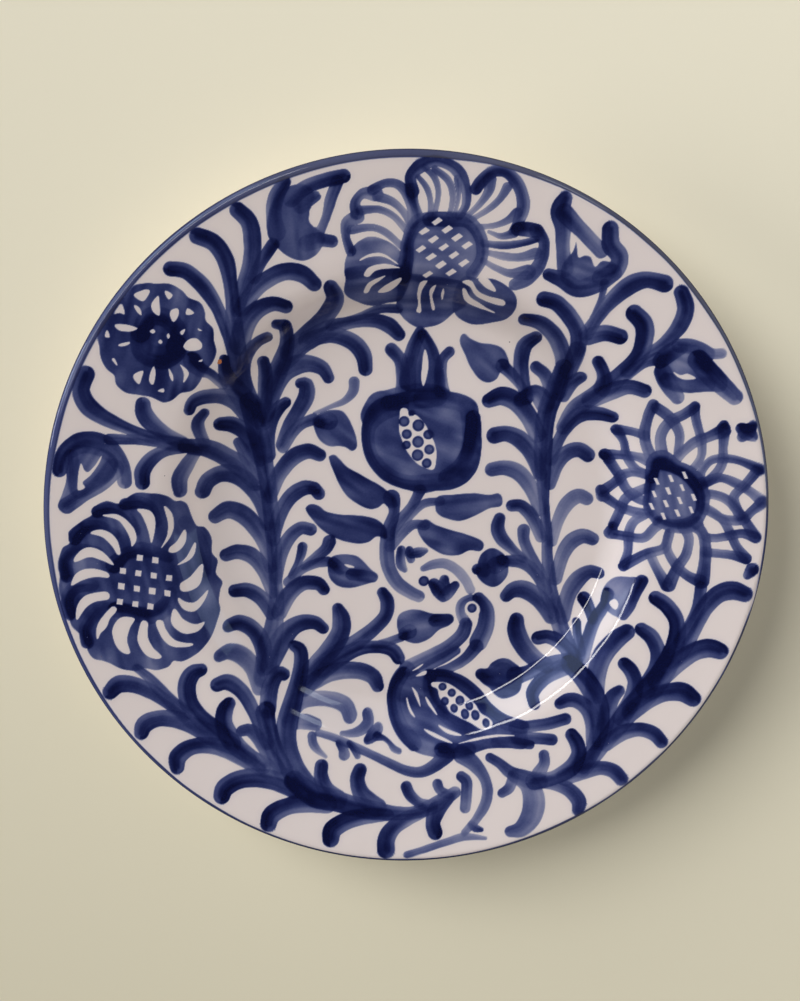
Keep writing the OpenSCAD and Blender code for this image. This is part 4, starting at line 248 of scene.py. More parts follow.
        [0.65, [110, -29.5, 5.4], [113, -22, 4.6], [116.5, -16, 4.2], [117.5, -9, 4],
         [115, -4, 4.5]],
        [0.6, [109, -29.5, 5], [105, -22.5, 4.2], [102, -16.5, 4]],
        [0.7, [91.6, -23.3, 3.6], [96.5, -19, 4], [101.5, -15.8, 4.2], [107.5, -13.3, 4.2],
         [109.5, -7, 4.2]],
        [0.65, [92, -22.5, 3.4], [93.6, -16, 3.2], [93.8, -9, 3.6], [95.5, -3.5, 3.4],
         [99.5, 0.5, 4]],
        [0.9, [88, -6.5, 3.4], [87, -9.5, 5.6]],
        [0.65, [88, -6, 4], [90.3, 0, 3.8], [92, 5.5, 3.8], [96, 9.5, 4], [101, 12.5, 4]],
        [0.65, [88.5, -10, 4], [93.5, -10, 3.8], [99.5, -9.5, 4], [103.5, -5, 4.2], [107, -2, 5]],
        [0.65, [82.5, 9, 4.5], [83.5, 6.8, 6]],
        [0.65, [83.5, 8.5, 5], [88, 12.5, 4], [91.5, 16.8, 4], [95.5, 18, 3.6], [101, 17, 4]],
        [0.7, [84, 6.3, 4.5], [89.5, 2.8, 4], [95, 1, 4.2], [101, 1, 4]],
        [0.95, [83.8, 24.5, 5], [85.5, 22.5, 4]],
        [0.65, [84.5, 24.5, 4.6], [90, 25, 4], [95.5, 25, 4], [100.5, 23.5, 5]],
        [0.65, [85.5, 22, 4.6], [89.3, 16.5, 4], [92.5, 10.5, 4], [97, 7, 4.4], [102, 5.5, 3]],
        [0.7, [87.5, 36, 4.6], [93, 35.7, 3.6], [98.5, 34, 3.8]],
        [0.65, [87.5, 35.5, 4.2], [90.3, 31, 3.2], [92, 24.5, 3.6], [95.5, 19.5, 3.8],
         [101, 17, 4]],
        [1, [101.5, 16.5, 4.5], [102.5, 23, 6], [106, 24, 8], [110.5, 21.5, 5.5], [115, 19.5, 6],
         [119.5, 15.5, 6.5], [122.5, 9.5, 5.5], [122, 2, 5], [118, -3, 6], [111, -4, 5.5],
         [105, -2, 4]],
        [0.75, [101.3, 16, 4], [100.8, 9, 3.6], [100.8, 3, 3.4], [104, -2, 3.4]],
    ], L=dict(first=[108.5, 11], step_a=[5.6, 1.5], step_b=[-0.8, -5.4], count_a=[-1, 2],
        count_b=[-1, 2], centre=[110, 9], reach=10.6, size=[1.3, 3.1], turn=[8, -66])),
    # Tulip near the lip at the upper left
    "upper_left_tulip": dict(F=[
        [0.68, [-55, 127], [-50, 134], [-43, 136], [-38, 133], [-39, 127], [-40, 122], [-37, 118.5],
         [-34, 116], [-35, 111.5], [-38, 108], [-42.5, 106.2], [-48, 107.5], [-53, 111.5],
         [-56.5, 117]],
    ], S=[
        [0.85, [-49.3, 137, 5], [-53, 131, 6], [-54, 124, 6], [-53, 117.5, 7]],
        [0.9, [-26, 139.3, 5.4], [-33, 137.8, 5.5], [-41, 135, 5.5], [-47, 130.5, 6]],
        [0.7, [-28.5, 137, 4.6], [-31, 131, 4.8], [-33.5, 124, 4.6], [-36, 117.5, 4.6]],
        [0.75, [-31, 113.8, 5], [-36, 114.3, 5.5], [-41, 113, 6]],
        [0.62, [-37, 131.5, 4], [-43, 128, 6]],
        [0.9, [-54.5, 112.5, 5], [-59, 106, 4.6], [-62.5, 99, 4]],
    ], G=[
        [[-33, 134], [-35.8, 133.2], [-34.6, 130.2], [-39.5, 126.2], [-38.5, 122], [-37.2, 119.6],
         [-35, 124], [-34, 129]],
    ]),
    # Tulip near the lip at the left
    "left_tulip": dict(F=[
        [0.65, [-137, 31], [-128, 31], [-120, 27], [-120.5, 20], [-127, 14.5], [-136, 10.5],
         [-139, 17]],
    ], S=[
        [0.9, [-142.3, 22.2, 5.6], [-140, 29, 6.5], [-133.5, 33.3, 8.5], [-126, 32.5, 9],
         [-120, 27.5, 7.5], [-117, 21, 6], [-116.7, 16.6, 6]],
        [0.6, [-137.5, 28, 5], [-137.3, 18, 5], [-140.3, 7.5, 6.3]],
        [0.7, [-140, 7.3, 6.5], [-133, 12, 6], [-126, 16.5, 7], [-121, 22, 8]],
        [0.75, [-122, 34.5, 4.5], [-113, 34, 4], [-104, 33, 4.6], [-96, 31.5, 6]],
    ], G=[
        [[-133.8, 24.6], [-135.3, 17], [-135.2, 13.8], [-132.6, 14.8], [-133.4, 17], [-130.3, 19.8],
         [-127, 24], [-125.5, 27.6], [-128, 24], [-131, 21], [-132.8, 22.3]],
    ]),
    # Tulip near the lip at the upper right
    "upper_right_tulip": dict(F=[
        [0.68, [62, 104], [66, 110], [67, 113.5], [68, 107.5], [70.5, 108], [73, 107.5],
         [75, 103.8], [78, 106], [83, 104], [80, 97], [68, 95], [62, 98]],
    ], S=[
        [0.85, [62, 130.8, 5.4], [60.3, 126, 8], [61.5, 119, 6.5], [61.8, 111, 5.5],
         [63, 103, 6.5]],
        [0.75, [62, 125, 7], [69, 118, 6], [77, 110, 6]],
        [0.85, [80.3, 118.6, 6.6], [81, 112.5, 7], [84.5, 107.5, 7], [83, 102, 7],
         [77.5, 99.5, 6.5]],
        [0.9, [56.5, 100.5, 4.8], [62, 98.5, 6.5], [68.5, 94.8, 7], [76, 97, 7.5], [82, 101, 7]],
        [0.6, [79, 97, 3.2], [78, 91, 2.4], [75.5, 85, 2], [72.8, 78.5, 1.6]],
    ]),
    # Tulip near the lip at the right
    "right_tulip": dict(F=[
        [0.62, [104, 70], [108, 73.7], [113, 75], [119, 73.5], [124, 70], [124, 65], [129, 60],
         [129, 54], [122, 53], [113, 52.8], [107, 54], [102.3, 58.5], [101, 64]],
    ], S=[
        [0.95, [103, 65.5, 6], [107, 69.3, 7], [111, 71, 5]],
        [0.6, [110, 72, 5.5], [117, 71.3, 5.5], [123, 68.8, 4.6], [127, 68.8, 4.4]],
        [0.9, [118, 66, 8], [123.5, 60, 8.5], [129, 54.8, 7.5], [133.3, 51, 6.6]],
        [0.75, [104, 61, 7], [106.5, 56, 7], [110.5, 50.5, 5.6]],
        [0.55, [106, 57.5, 6], [114, 55.5, 6], [122, 56, 6]],
        [0.65, [101.5, 66.3, 5], [96, 64.2, 4], [90, 60, 5]],
    ], G=[
        [[108.4, 61], [111.3, 59.6], [114, 60.3], [117.3, 58.5], [113, 58.1], [110, 59.2]],
    ]),
    # Spray of leaves that tops the left frond
    "upper_left_spray": dict(S=[
        [0.9, [-95, 103.2, 6], [-89, 102, 6.3], [-82.5, 96, 6.5], [-77.5, 88, 5.5], [-74, 78, 4.5],
         [-71.5, 67, 4.5], [-69.5, 57, 5]],
        [0.9, [-84, 116, 6.6], [-77.5, 113, 7], [-73.3, 106, 6.8], [-71.7, 96, 5.5], [-71, 86, 6],
         [-70.5, 75, 7], [-70, 64, 8], [-68.5, 54, 8]],
        [0.9, [-68, 126, 6.5], [-63.8, 121.5, 7], [-62.5, 114, 7], [-63.5, 105, 6.5],
         [-66.5, 96, 6], [-69.5, 87, 6]],
        [0.85, [-38.3, 96.8, 6], [-43, 100.8, 7], [-49.5, 101.8, 7], [-56.5, 99, 7],
         [-62.5, 94, 6.5], [-67.5, 87, 6]],
        [0.9, [-49.8, 87.6, 5.5], [-55, 88.8, 6], [-61, 86.5, 7], [-66, 81, 8], [-69, 72, 8]],
        [0.85, [-57.8, 75, 4.2], [-61.5, 73.2, 4.5], [-65, 69.5, 4.8], [-67.3, 64, 5], [-68, 57, 6],
         [-66, 49, 7], [-63, 41, 8]],
        [1, [-75.4, 66.5, 3.8], [-75.5, 62, 5], [-74, 57, 6.5], [-70.5, 51.5, 8], [-66.5, 45, 9]],
        [0.85, [-90, 45.5, 4.3], [-88.5, 48.8, 5], [-84, 50.7, 6], [-78, 50.5, 6.5], [-72, 48, 8],
         [-67, 43, 9]],
        [0.85, [-60, 64.3, 5], [-59.5, 60.5, 5.5], [-59.5, 55, 6], [-60, 48, 6], [-61, 41, 8]],
        [0.9, [-54, 80.3, 4], [-51.2, 79.8, 5]],
        [0.9, [-50.6, 79.5, 5.5], [-50, 76, 5.5], [-50.3, 71, 6], [-52.5, 64, 7.5], [-56, 56, 8],
         [-59, 47, 8], [-61, 40, 9]],
    ]),
    # Leaves between the left frond and the top flower
    "inner_left_spray": dict(S=[
        [0.85, [-31.5, 95.3, 6], [-30, 90, 7.5], [-34.5, 82.5, 7.5], [-42, 75, 8], [-49, 68, 8]],
        [0.85, [-3.6, 75.2, 5.5], [-8, 79.3, 6.5], [-14, 81, 5.5], [-23, 80.3, 5], [-32, 78, 7],
         [-41, 73, 8]],
        [0.75, [-4, 86, 4], [-12, 85.8, 3.6], [-22, 82.3, 2.8], [-32, 79, 4]],
        [0.85, [-17.5, 61, 6], [-18.5, 67, 7], [-23, 72.3, 7], [-31, 75, 6.5], [-39, 73.5, 6.5],
         [-47, 68, 7], [-53, 61.5, 6]],
        [0.8, [-33, 57.3, 4.8], [-35.5, 61.2, 6], [-40.5, 63.2, 7], [-46, 62.7, 8], [-52, 59, 8],
         [-56.5, 51, 7.5], [-60, 42, 7]],
        [0.9, [-44.8, 55, 4.3], [-42.3, 54.3, 6], [-42.4, 49.5, 7], [-45.5, 43.5, 6.5],
         [-49.5, 37, 6], [-53, 29, 5]],
        [0.9, [-51, 47, 4.5], [-54, 44.5, 5.3], [-57, 40, 6], [-59, 33, 6.5], [-59, 25, 7]],
        [0.5, [-22.3, 55.5, 4.6], [-22.8, 51.5, 4.2], [-26.5, 47.5, 3], [-33, 44.8, 2],
         [-39, 42.3, 1.6]],
        [0.65, [-39.5, 39.8, 5], [-44, 38, 4.6], [-48, 34.3, 4.6], [-52.5, 28, 5]],
    ]),
    # Leaves between the left frond and the left tulip
    "left_mid_spray": dict(S=[
        [0.9, [-130, 61.3, 7], [-132.3, 55, 7], [-130, 48.5, 7.5], [-124, 43.5, 6.5],
         [-116.5, 39.5, 5], [-108, 35.8, 4.5], [-100, 33, 5], [-92, 30.5, 6]],
        [0.75, [-108.3, 48.5, 6], [-108, 45, 7], [-105.5, 41, 7], [-100, 36.5, 5.5], [-94, 32, 6]],
        [0.95, [-109.7, 16, 6], [-109.3, 21, 6.6], [-105.5, 26, 6], [-100, 29, 5], [-93, 30.3, 6]],
        [0.7, [-95, 11, 5.2], [-95, 16.5, 6.5], [-92, 22, 6], [-88.5, 27, 4.6]],
        [0.85, [-84.3, 43.7, 3.8], [-87, 40, 5], [-86.6, 35.5, 5], [-84.8, 30.5, 4.5]],
        [0.85, [-92, 30.3, 6], [-85, 28.5, 7.5], [-78, 25, 8], [-71, 20.5, 8], [-64, 13, 7]],
        [0.6, [-71.3, 30.2, 4], [-68.8, 26, 5], [-65.5, 18.5, 5.5], [-61.5, 9, 5]],
        [0.95, [-78.2, 38.3, 5.8], [-73.5, 37.8, 6.8], [-69, 35.3, 7], [-65.5, 30.5, 7],
         [-62.5, 23, 6]],
    ]),
    # Tall frond left of the pomegranate
    "left_frond": dict(S=[
        [0.8, [-66, 47, 8], [-64, 38, 8], [-61.5, 28, 8], [-59.5, 16, 7], [-58, 2, 6.5],
         [-57, -12, 6], [-56.5, -26, 5.5], [-56.2, -38, 6], [-57.5, -50, 8], [-60, -60, 9],
         [-61.5, -70, 8.5]],
        [0.85, [-86.3, 9.8, 6.5], [-84.2, 14, 7], [-79, 16.8, 7], [-73, 16.3, 7.5],
         [-67, 12.3, 7.5], [-62.5, 5, 6], [-59.5, -5, 5]],
        [0.75, [-81.5, -1.5, 6], [-76, 1.3, 7.5], [-70, -0.7, 8], [-65, -5.8, 7.5], [-61, -13.5, 6],
         [-58.5, -24, 5]],
        [0.75, [-77.3, -18.3, 5.5], [-72, -17, 6.5], [-66, -19, 7], [-61.5, -25.3, 6],
         [-58, -35, 5]],
        [0.9, [-74, -34, 5.5], [-68, -34, 6.5], [-62.5, -37.6, 6.5], [-58.5, -44, 6]],
        [0.95, [-76.3, -48.3, 5.5], [-71.5, -48, 6.5], [-66, -51.5, 7], [-62.5, -58, 7],
         [-61.5, -67, 6]],
        [0.85, [-37, 24.5, 5.5], [-42, 26.2, 6.5], [-48, 23.7, 7], [-54, 16.8, 6.5], [-58, 7, 5.5]],
        [0.85, [-37.6, 8, 5.5], [-39.2, 10, 5.5]],
        [0.85, [-39.5, 10.3, 5.5], [-44, 10.4, 6.5], [-50, 6.2, 6.5], [-54.5, -2, 6],
         [-57, -12, 5]],
        [0.7, [-41.2, -7.5, 5.5], [-45.5, -7, 5.5], [-50.5, -11.3, 6], [-54, -19, 5.5],
         [-56, -29, 5]],
        [0.9, [-35.8, -34, 5], [-38.5, -31.3, 6], [-45, -31.3, 6.5], [-51, -36.3, 7],
         [-55, -44, 6.5]],
        [0.95, [-36.3, -51.2, 5], [-39.5, -48.7, 6], [-44.5, -48.4, 7], [-50, -51, 8],
         [-55, -57.5, 9], [-59, -66, 8]],
        [0.9, [-53, -71, 4.5], [-56, -70.5, 6], [-59, -75, 7], [-60, -83, 7]],
    ]),
    # Tall frond right of the pomegranate
    "right_frond": dict(S=[
        [0.85, [65, 62, 6], [62.5, 52, 8], [59, 42, 8], [57.8, 30, 7.5], [57.8, 18, 6.5],
         [58.5, 5, 4.5], [59.8, -9, 4.5], [60.5, -22, 5], [62, -35, 6], [65.5, -48, 7],
         [68.5, -57, 7], [71, -64, 7.5]],
        [0.85, [47.5, 47.5, 5], [54, 50.5, 7], [58, 46, 8]],
        [0.9, [34.5, 47.3, 6], [40, 49.3, 8], [46, 46.7, 8], [51, 41, 7.5], [55, 33, 7]],
        [0.9, [37, 32.5, 7], [42, 33.3, 6.6], [48, 30.6, 7.5], [53, 24.6, 7], [56.5, 16, 6]],
        [0.6, [36, 18, 6], [42, 18.6, 6.5], [48, 16, 7], [53, 9.5, 6.5], [56.8, 0, 5]],
        [0.85, [44.8, 2.2, 5.2], [49, 1.9, 5.5], [53.5, -3, 5.5], [57.3, -11.5, 5]],
        [0.85, [39.6, -3.3, 5], [38.8, -7.5, 6], [40.5, -12, 6], [45, -16.7, 4.6], [50, -21, 3.6]],
        [0.6, [50, -8.5, 5.5], [50.2, -13, 5], [52.7, -19, 5], [56.8, -26.5, 4.6], [60, -35, 5]],
        [0.65, [43, -22, 5], [49, -22.6, 5.6], [54, -26, 5], [58.8, -33, 5], [62.5, -42, 6]],
        [0.85, [42.9, -37.5, 5.5], [46, -34.8, 7], [51, -34.8, 8], [57, -39, 7.5],
         [62.5, -46.5, 7]],
        [0.9, [85.3, 41.3, 5], [80, 42.2, 6], [74, 41.6, 6.5], [68.5, 37.5, 6], [64.5, 31, 5],
         [61, 22, 5]],
        [0.8, [76.8, 24, 6], [73, 26.3, 6.5], [68, 25, 6.5], [63.8, 20, 6], [61, 11.5, 5]],
        [0.5, [76.8, 5, 5.5], [73, 6.2, 6.5], [68.5, 3, 6.5], [64.8, -4, 5.5], [62.3, -13.5, 4.6]],
        [0.65, [79.7, -12.5, 5.5], [75.5, -11.2, 6.5], [70.5, -13.7, 7], [66.7, -20, 6.2],
         [64.2, -30, 5.5]],
        [0.7, [82.3, -27.2, 5], [78, -27, 6], [73, -31, 7.5], [69.5, -37.5, 7], [67.5, -47, 6.5]],
        [0.95, [57, -56.3, 6], [61, -55.8, 6], [66, -57.8, 6], [70.5, -61.5, 6]],
    ]),
    # Spray of leaves that tops the right frond
    "upper_right_spray": dict(S=[
        [0.9, [103, 97, 7], [96, 98.5, 6.6], [89.5, 96.5, 7.5], [83, 91, 6.5], [77.5, 84, 5],
         [72.5, 76.5, 5.5]],
        [0.9, [55, 90.5, 6.3], [60.5, 88.8, 6.5], [66, 83, 6.6], [69.5, 76.5, 6.6],
         [69.5, 68.5, 6.5], [67, 60, 7]],
        [0.85, [48, 82, 5], [54.5, 80.5, 6], [60.5, 75, 6.5], [64, 68, 6.5], [65.5, 60, 7],
         [63.5, 51, 7]],
        [0.95, [53, 74.2, 5.4], [49, 70.5, 6.5], [47.7, 64, 6.5], [48.5, 56, 6], [50.5, 48, 5]],
        [0.75, [54, 61.5, 5], [58, 58, 5.5], [60.5, 51.5, 6]],
        [0.9, [86.3, 75.3, 6.3], [80, 76.8, 6.6], [73.5, 75, 6.5]],
        [0.7, [69.5, 70, 6], [68, 63, 5.5], [66, 56, 6]],
        [0.8, [72, 57.7, 5], [69, 54.5, 5], [66, 49, 5]],
        [0.9, [78, 65, 4.8], [80.5, 60, 5.2], [80.5, 54, 6.5], [76, 48.5, 7], [70, 43, 7],
         [66, 36, 6]],
        [0.95, [91.5, 85, 7], [95.5, 80.5, 7.5], [96, 74, 7.3], [93.5, 67, 6.5], [87.5, 60, 7],
         [81.5, 54, 8]],
        [0.9, [109.8, 93.5, 6], [111.8, 87, 6.8], [109.8, 80, 6.6], [104.5, 73.5, 5], [97, 68, 4],
         [90, 61.5, 6]],
        [0.8, [97.2, 53, 5.6], [91, 54.5, 6], [84.5, 52.5, 7], [77, 48, 7]],
    ]),
    # Pomegranate with its crown, split open
    "pomegranate": dict(F=[
        [0.7, [5, 77], [0.5, 69], [-2.5, 60], [-2.5, 53], [6, 51], [15, 53], [14.8, 61], [12.2, 69],
         [8, 75]],
        [0.72, [-18, 46], [-14.5, 50.5], [-9, 52], [-3, 53.5], [5, 54.5], [14, 53.5], [19, 51],
         [25, 49.5], [29.3, 46], [30.5, 40], [31.3, 32], [31.3, 25], [30, 19], [27, 14.5], [22, 11],
         [14, 9.2], [6, 8], [-1, 10], [-8, 13], [-14, 18], [-17.5, 24], [-19, 31], [-18.3, 36],
         [-19.7, 41]],
    ], S=[
        [0.8, [5.3, 76, 4.8], [2.5, 70, 5.5], [0.5, 62, 6], [0, 53, 7]],
        [0.75, [6.5, 75.5, 4], [10, 69, 5], [11.8, 62, 5.5], [12.5, 53, 7]],
        [0.75, [-6.6, 69, 5.6], [-3, 64.5, 5.5], [-2, 58, 5.5], [-2, 51, 6]],
        [0.75, [17.7, 68, 4.2], [14.8, 64.5, 4.4], [14, 58, 5], [15, 51, 6]],
        [1, [28, 40, 6], [28, 33, 7], [26.8, 25, 8], [23, 18.5, 8], [17, 14.5, 7]],
        [0.95, [-8, 46.5, 6], [-1, 47.5, 7], [6, 48.5, 8], [13, 49, 7]],
        [0.84, [-3, 45.5, 7], [-11, 43.5, 9], [-16, 37, 6], [-16.5, 29, 5], [-14, 22, 5.5],
         [-8.5, 16, 6], [0, 12.5, 6], [10, 12.5, 7], [19, 13.5, 8], [25.5, 19, 8.5], [27.5, 28, 8],
         [27, 38, 7.5], [24.5, 45.5, 7], [16, 48, 7], [6, 48, 7]],
    ], G=[
        [[7.3, 69], [6.3, 63], [6, 57], [6.7, 53.7], [8, 57], [8.8, 62], [8.4, 66.5]],
        [[-2.5, 44], [0, 44], [0.8, 41], [3.5, 41.3], [7, 38], [9.3, 34], [11.5, 29], [12.2, 24],
         [11.3, 18.3], [7.5, 19], [3.5, 21.5], [0, 26], [-2.2, 31], [-3.3, 35], [-3.3, 40]],
    ]),
    # Seeds in the split of the pomegranate
    "pomegranate_seeds": dict(D=[0.85, [-1.3, 38.7, 4.6], [4.7, 37, 5], [-0.2, 33.3, 4.3],
        [8.9, 33, 4.2], [4.6, 29.9, 5], [9.3, 26.7, 4.3], [4.4, 24.3, 5], [8.3, 20.8, 4.2],
        [-0.3, 28.7, 3.6], [2, 42.3, 2.4]]),
    # Branch under the pomegranate with four long leaves
    "pomegranate_branch": dict(F=[
        [0.86, [-33, 22.5], [-32.5, 24.3], [-30.5, 24.5], [-28.5, 22.5], [-25, 19], [-18, 15],
         [-11, 10.8], [-6, 6.5], [-4, 2.5], [-8, 2], [-10, 3.5], [-12.5, 1.7], [-16, 1.2],
         [-21, 3.3], [-26, 7.5], [-29.5, 13.5]],
        [0.95, [-43, 0.7], [-42.5, 2.7], [-40.5, 3.6], [-37.5, 2.6], [-34, 0], [-27, -1.3],
         [-19, -1.8], [-13, -3.5], [-9.5, -7], [-9, -11.5], [-13, -10.8], [-16.5, -13.2],
         [-21, -13.8], [-27, -12.8], [-34, -9.5], [-39, -5]],
        [0.76, [12, 1], [13, 6.3], [20, 7.2], [28, 7.7], [35, 7], [39, 7.5], [40.8, 5], [40, 2],
         [35, 1], [29, -2], [23, -4.2], [17, -3.2], [13.5, -1.5]],
        [0.84, [4.5, -8], [6, -4.5], [8.5, -3.5], [12, -5.8], [18, -8], [25, -10], [31, -12.5],
         [33, -15], [31.5, -17.6], [27, -17.2], [22, -19.2], [16, -19], [11, -16.5], [7, -13]],
    ], S=[
        [0.7, [5.5, 9, 4.8], [2, 2.5, 4], [-3, -3.5, 4.5], [-7.5, -10, 5]],
        [0.75, [-6.5, 6, 7], [-5.5, 0, 4.6], [-8, -8, 5.5], [-8.7, -16, 6.4], [-8, -24, 6],
         [-4.5, -31, 6], [1, -35.3, 5.6], [5, -37.3, 5.2]],
        [0.6, [14, 4.3, 3.6], [7, 3.2, 3.6], [0.5, -2.5, 4], [-5, -9, 4.5]],
        [0.6, [7.5, -6, 4], [2.5, -5.8, 4], [-3, -10.5, 4.4], [-7, -15, 5]],
    ]),
    # Heart-shaped leaf beside the crown
    "pomegranate_side_leaf": dict(F=[
        [0.68, [22, 71.5], [22.3, 74.7], [24, 75.6], [26, 73.8], [30, 71.8], [35, 71.2],
         [39.5, 69.5], [42, 65.5], [42.5, 61.5], [39.5, 60], [37.5, 56.5], [34, 55], [30, 56.7],
         [26.5, 61.5], [24.3, 66.5]],
    ], S=[
        [0.8, [40, 62, 5.5], [44.5, 57.5, 4.5], [49, 52, 3.5]],
    ]),
    # Leaf bud left of the pomegranate
    "upper_leaf_bud": dict(F=[
        [0.72, [-39.5, 39.5], [-37.5, 42], [-33, 43.6], [-28, 43.4], [-25, 40.5], [-22.5, 35],
         [-21.3, 30.5], [-21.5, 27.5], [-23.5, 26.2], [-26, 27.8], [-29, 28.4], [-33, 28.4],
         [-36.8, 30.8], [-39, 35.3]],
    ], S=[
        [0.95, [-36.5, 38.7, 5], [-33, 39, 7]],
    ]),
    # Leaf bud below the branch, with two small leaves
    "lower_leaf_bud": dict(F=[
        [0.8, [-34, -23], [-32, -19.5], [-27, -18.5], [-22, -19.2], [-18.5, -22], [-15.5, -25.3],
         [-13, -27.5], [-13.2, -30.5], [-16, -31.3], [-20, -32.5], [-25, -33.4], [-30, -32.2],
         [-33.3, -28.5]],
    ], S=[
        [0.95, [-31.5, -22.3, 4.5], [-28.5, -25, 4.5]],
        [0.85, [-24, -27.5, 4.5], [-19, -28, 4.5], [-14.5, -28.7, 4.2]],
        [0.65, [-34, -21.7, 4.4], [-40, -22.8, 3.8], [-46, -25.8, 3.8], [-51, -30.5, 4.6]],
        [0.75, [-33.2, -12.8, 5.6], [-34.8, -16.2, 5], [-39, -19.5, 4.2], [-44, -23.3, 3.6]],
        [0.75, [-44.7, -15, 4.3], [-45.5, -19, 4], [-47.3, -23.3, 3], [-49.5, -27.5, 3]],
    ], G=[
        [[-26.8, -23], [-24, -23.5], [-22.8, -24.3], [-25, -24.2]],
    ]),
    # Round bud on the right frond
    "ball_bud": dict(F=[
        [0.8, [31, -20.5], [33.5, -17.4], [37, -16.4], [41, -18.5], [43.5, -22.5], [43.3, -28],
         [40.5, -32], [36.8, -33.4], [32.5, -31.3], [30, -27.5]],
    ], S=[
        [0.9, [30.3, -25.5, 4.8], [33, -26, 6]],
        [0.9, [40.8, -22.5, 6], [38, -24, 7]],
    ]),
    # Leaf bud left of the bird
    "lower_centre_bud": dict(F=[
        [0.78, [-4.4, -48.5], [-3, -45], [1, -43.3], [6, -43.6], [11.5, -45.2], [18.5, -45.3],
         [20.3, -47.8], [18.5, -50.2], [14, -52.3], [10, -56], [5, -58.2], [0, -57.5], [-3.5, -54]],
    ], S=[
        [0.95, [-1, -54, 5.5], [1, -53, 6]],
        [0.6, [-2.5, -55.5, 4], [-8, -57.3, 3.6], [-13.5, -59.3, 4]],
        [0.85, [12, -48.3, 5], [18, -47.6, 4.6]],
    ]),
    # Bud between the bird and the right frond
    "lower_right_bud": dict(F=[
        [0.8, [30.2, -72.3], [32, -70], [35, -69.8], [37, -67.2], [40.5, -65.5], [44, -65.7],
         [47, -67.7], [49.5, -70], [50, -74], [48.5, -78.5], [45, -81], [41, -82], [38, -80.8],
         [36, -78.5], [32.5, -76]],
    ], S=[
        [0.9, [32.3, -72.3, 5], [37, -74, 7], [42, -72, 9]],
        [0.75, [47, -73, 7], [52, -71.3, 5.5], [58, -68.3, 5], [64, -66, 5.5], [71, -65, 7]],
    ]),
    # Tulip and small buds beside the right frond
    "lower_right_tulip": dict(F=[
        [0.55, [85.5, -31], [89, -27.8], [94, -26.8], [98.5, -27], [97, -33], [94, -40],
         [91.3, -44], [88, -43.8], [85, -42], [83, -40], [83.5, -35.5]],
    ], S=[
        [0.9, [99, -27.8, 5], [96.5, -33, 4.6], [94, -39, 4.4], [91.3, -43, 4.4]],
        [0.9, [86, -35, 4], [84.5, -40, 4], [80.5, -47, 4.4], [77, -56, 4.6], [75, -63, 5]],
        [1, [76.5, -38.5, 5.6], [78.3, -42, 5], [79.5, -46.5, 4]],
        [0.9, [73.2, -48.7, 3.6], [73.3, -53, 3.4], [74, -60, 3.8]],
    ], G=[
        [[86.3, -39], [88.3, -36.9], [89.6, -38.6], [88.4, -41]],
    ]),
    # Leaves under the right frond
    "lower_right_leaf": dict(S=[
        [0.9, [47.5, -48, 6.2], [47.5, -53, 8], [50, -59, 8], [54.5, -64.5, 7.5], [60, -67.5, 6]],
        [0.9, [54.3, -82.2, 5], [53.8, -79, 5], [56.3, -75.2, 4.8], [61, -71.3, 5], [67, -67.5, 6]],
    ]),
    # Leaves along the lower left of the lip
    "lower_left_garland": dict(S=[
        [0.9, [-125, -71.8, 6.6], [-121.5, -68.9, 7.5], [-115.5, -69.4, 7], [-109, -72.6, 6],
         [-102, -77.3, 5.5], [-95, -83, 6]],
        [0.55, [-114, -62.5, 3.4], [-109, -67, 4], [-104, -73, 5], [-98, -79.5, 5.5], [-91, -86, 7],
         [-83, -92.5, 8], [-75, -98.5, 8], [-67, -103.8, 8], [-58, -109.3, 8], [-49, -115.5, 9]],
        [0.95, [-87.8, -64.6, 5.4], [-91.3, -66, 7], [-93.7, -71, 7.6], [-92.8, -78, 7.4],
         [-88.7, -84.5, 7.5], [-82.5, -90.5, 8], [-76, -96.5, 9]],
        [0.9, [-112.8, -90, 6], [-111.3, -86.5, 7.5], [-106, -84.4, 7], [-99.5, -84.9, 7],
         [-92, -88, 7], [-84, -92.3, 8]],
        [0.9, [-98.2, -105.5, 6], [-97.7, -101, 7.5], [-92.5, -97.4, 7], [-85, -97, 6.6],
         [-77, -99.5, 7], [-68, -104.5, 7]],
        [0.95, [-79.7, -118.7, 7], [-78.3, -115.3, 8], [-73, -112.3, 8], [-66, -111.6, 8],
         [-58, -113, 8], [-49, -117, 8]],
        [0.95, [-60, -131.5, 7], [-58.3, -127.5, 8], [-52, -124.4, 7.5], [-44, -123.5, 7.5],
         [-35, -124, 8]],
        [0.95, [-76.2, -79.5, 5.4], [-78, -82.5, 7], [-78.3, -88, 7.2], [-75.5, -94.5, 8],
         [-70, -100.5, 7], [-62, -107, 6]],
        [0.65, [-70.8, -91.4, 4.8], [-67.5, -91.3, 5.5], [-64, -95, 5.5], [-60.5, -101, 5.5],
         [-56, -108, 6]],
        [0.8, [-61, -84, 8], [-59.5, -92, 7], [-57, -101, 7], [-53.5, -109, 8]],
        [0.6, [-80, -59.3, 5], [-76, -58.4, 6], [-71, -60.9, 6.5], [-66.5, -66, 6.3],
         [-63.5, -74, 6]],
        [0.8, [-81, -71.2, 6], [-77, -70.4, 6.5], [-72, -73.6, 6], [-68, -79, 5.6],
         [-64.3, -87, 5.5], [-60, -97, 5.5]],
    ]),
    # Leaves left of the bird
    "lower_centre_spray": dict(S=[
        [0.9, [-29.8, -42.5, 5], [-28.4, -47, 7.6], [-28.8, -53, 8.3], [-33, -60, 8.3],
         [-39, -67, 8], [-45, -74, 8]],
        [0.9, [-10.5, -35.5, 4.8], [-8.5, -40, 6], [-9.5, -46, 6], [-15, -52, 6.4], [-22, -57.3, 7],
         [-30, -62.3, 7.5], [-38, -69, 8]],
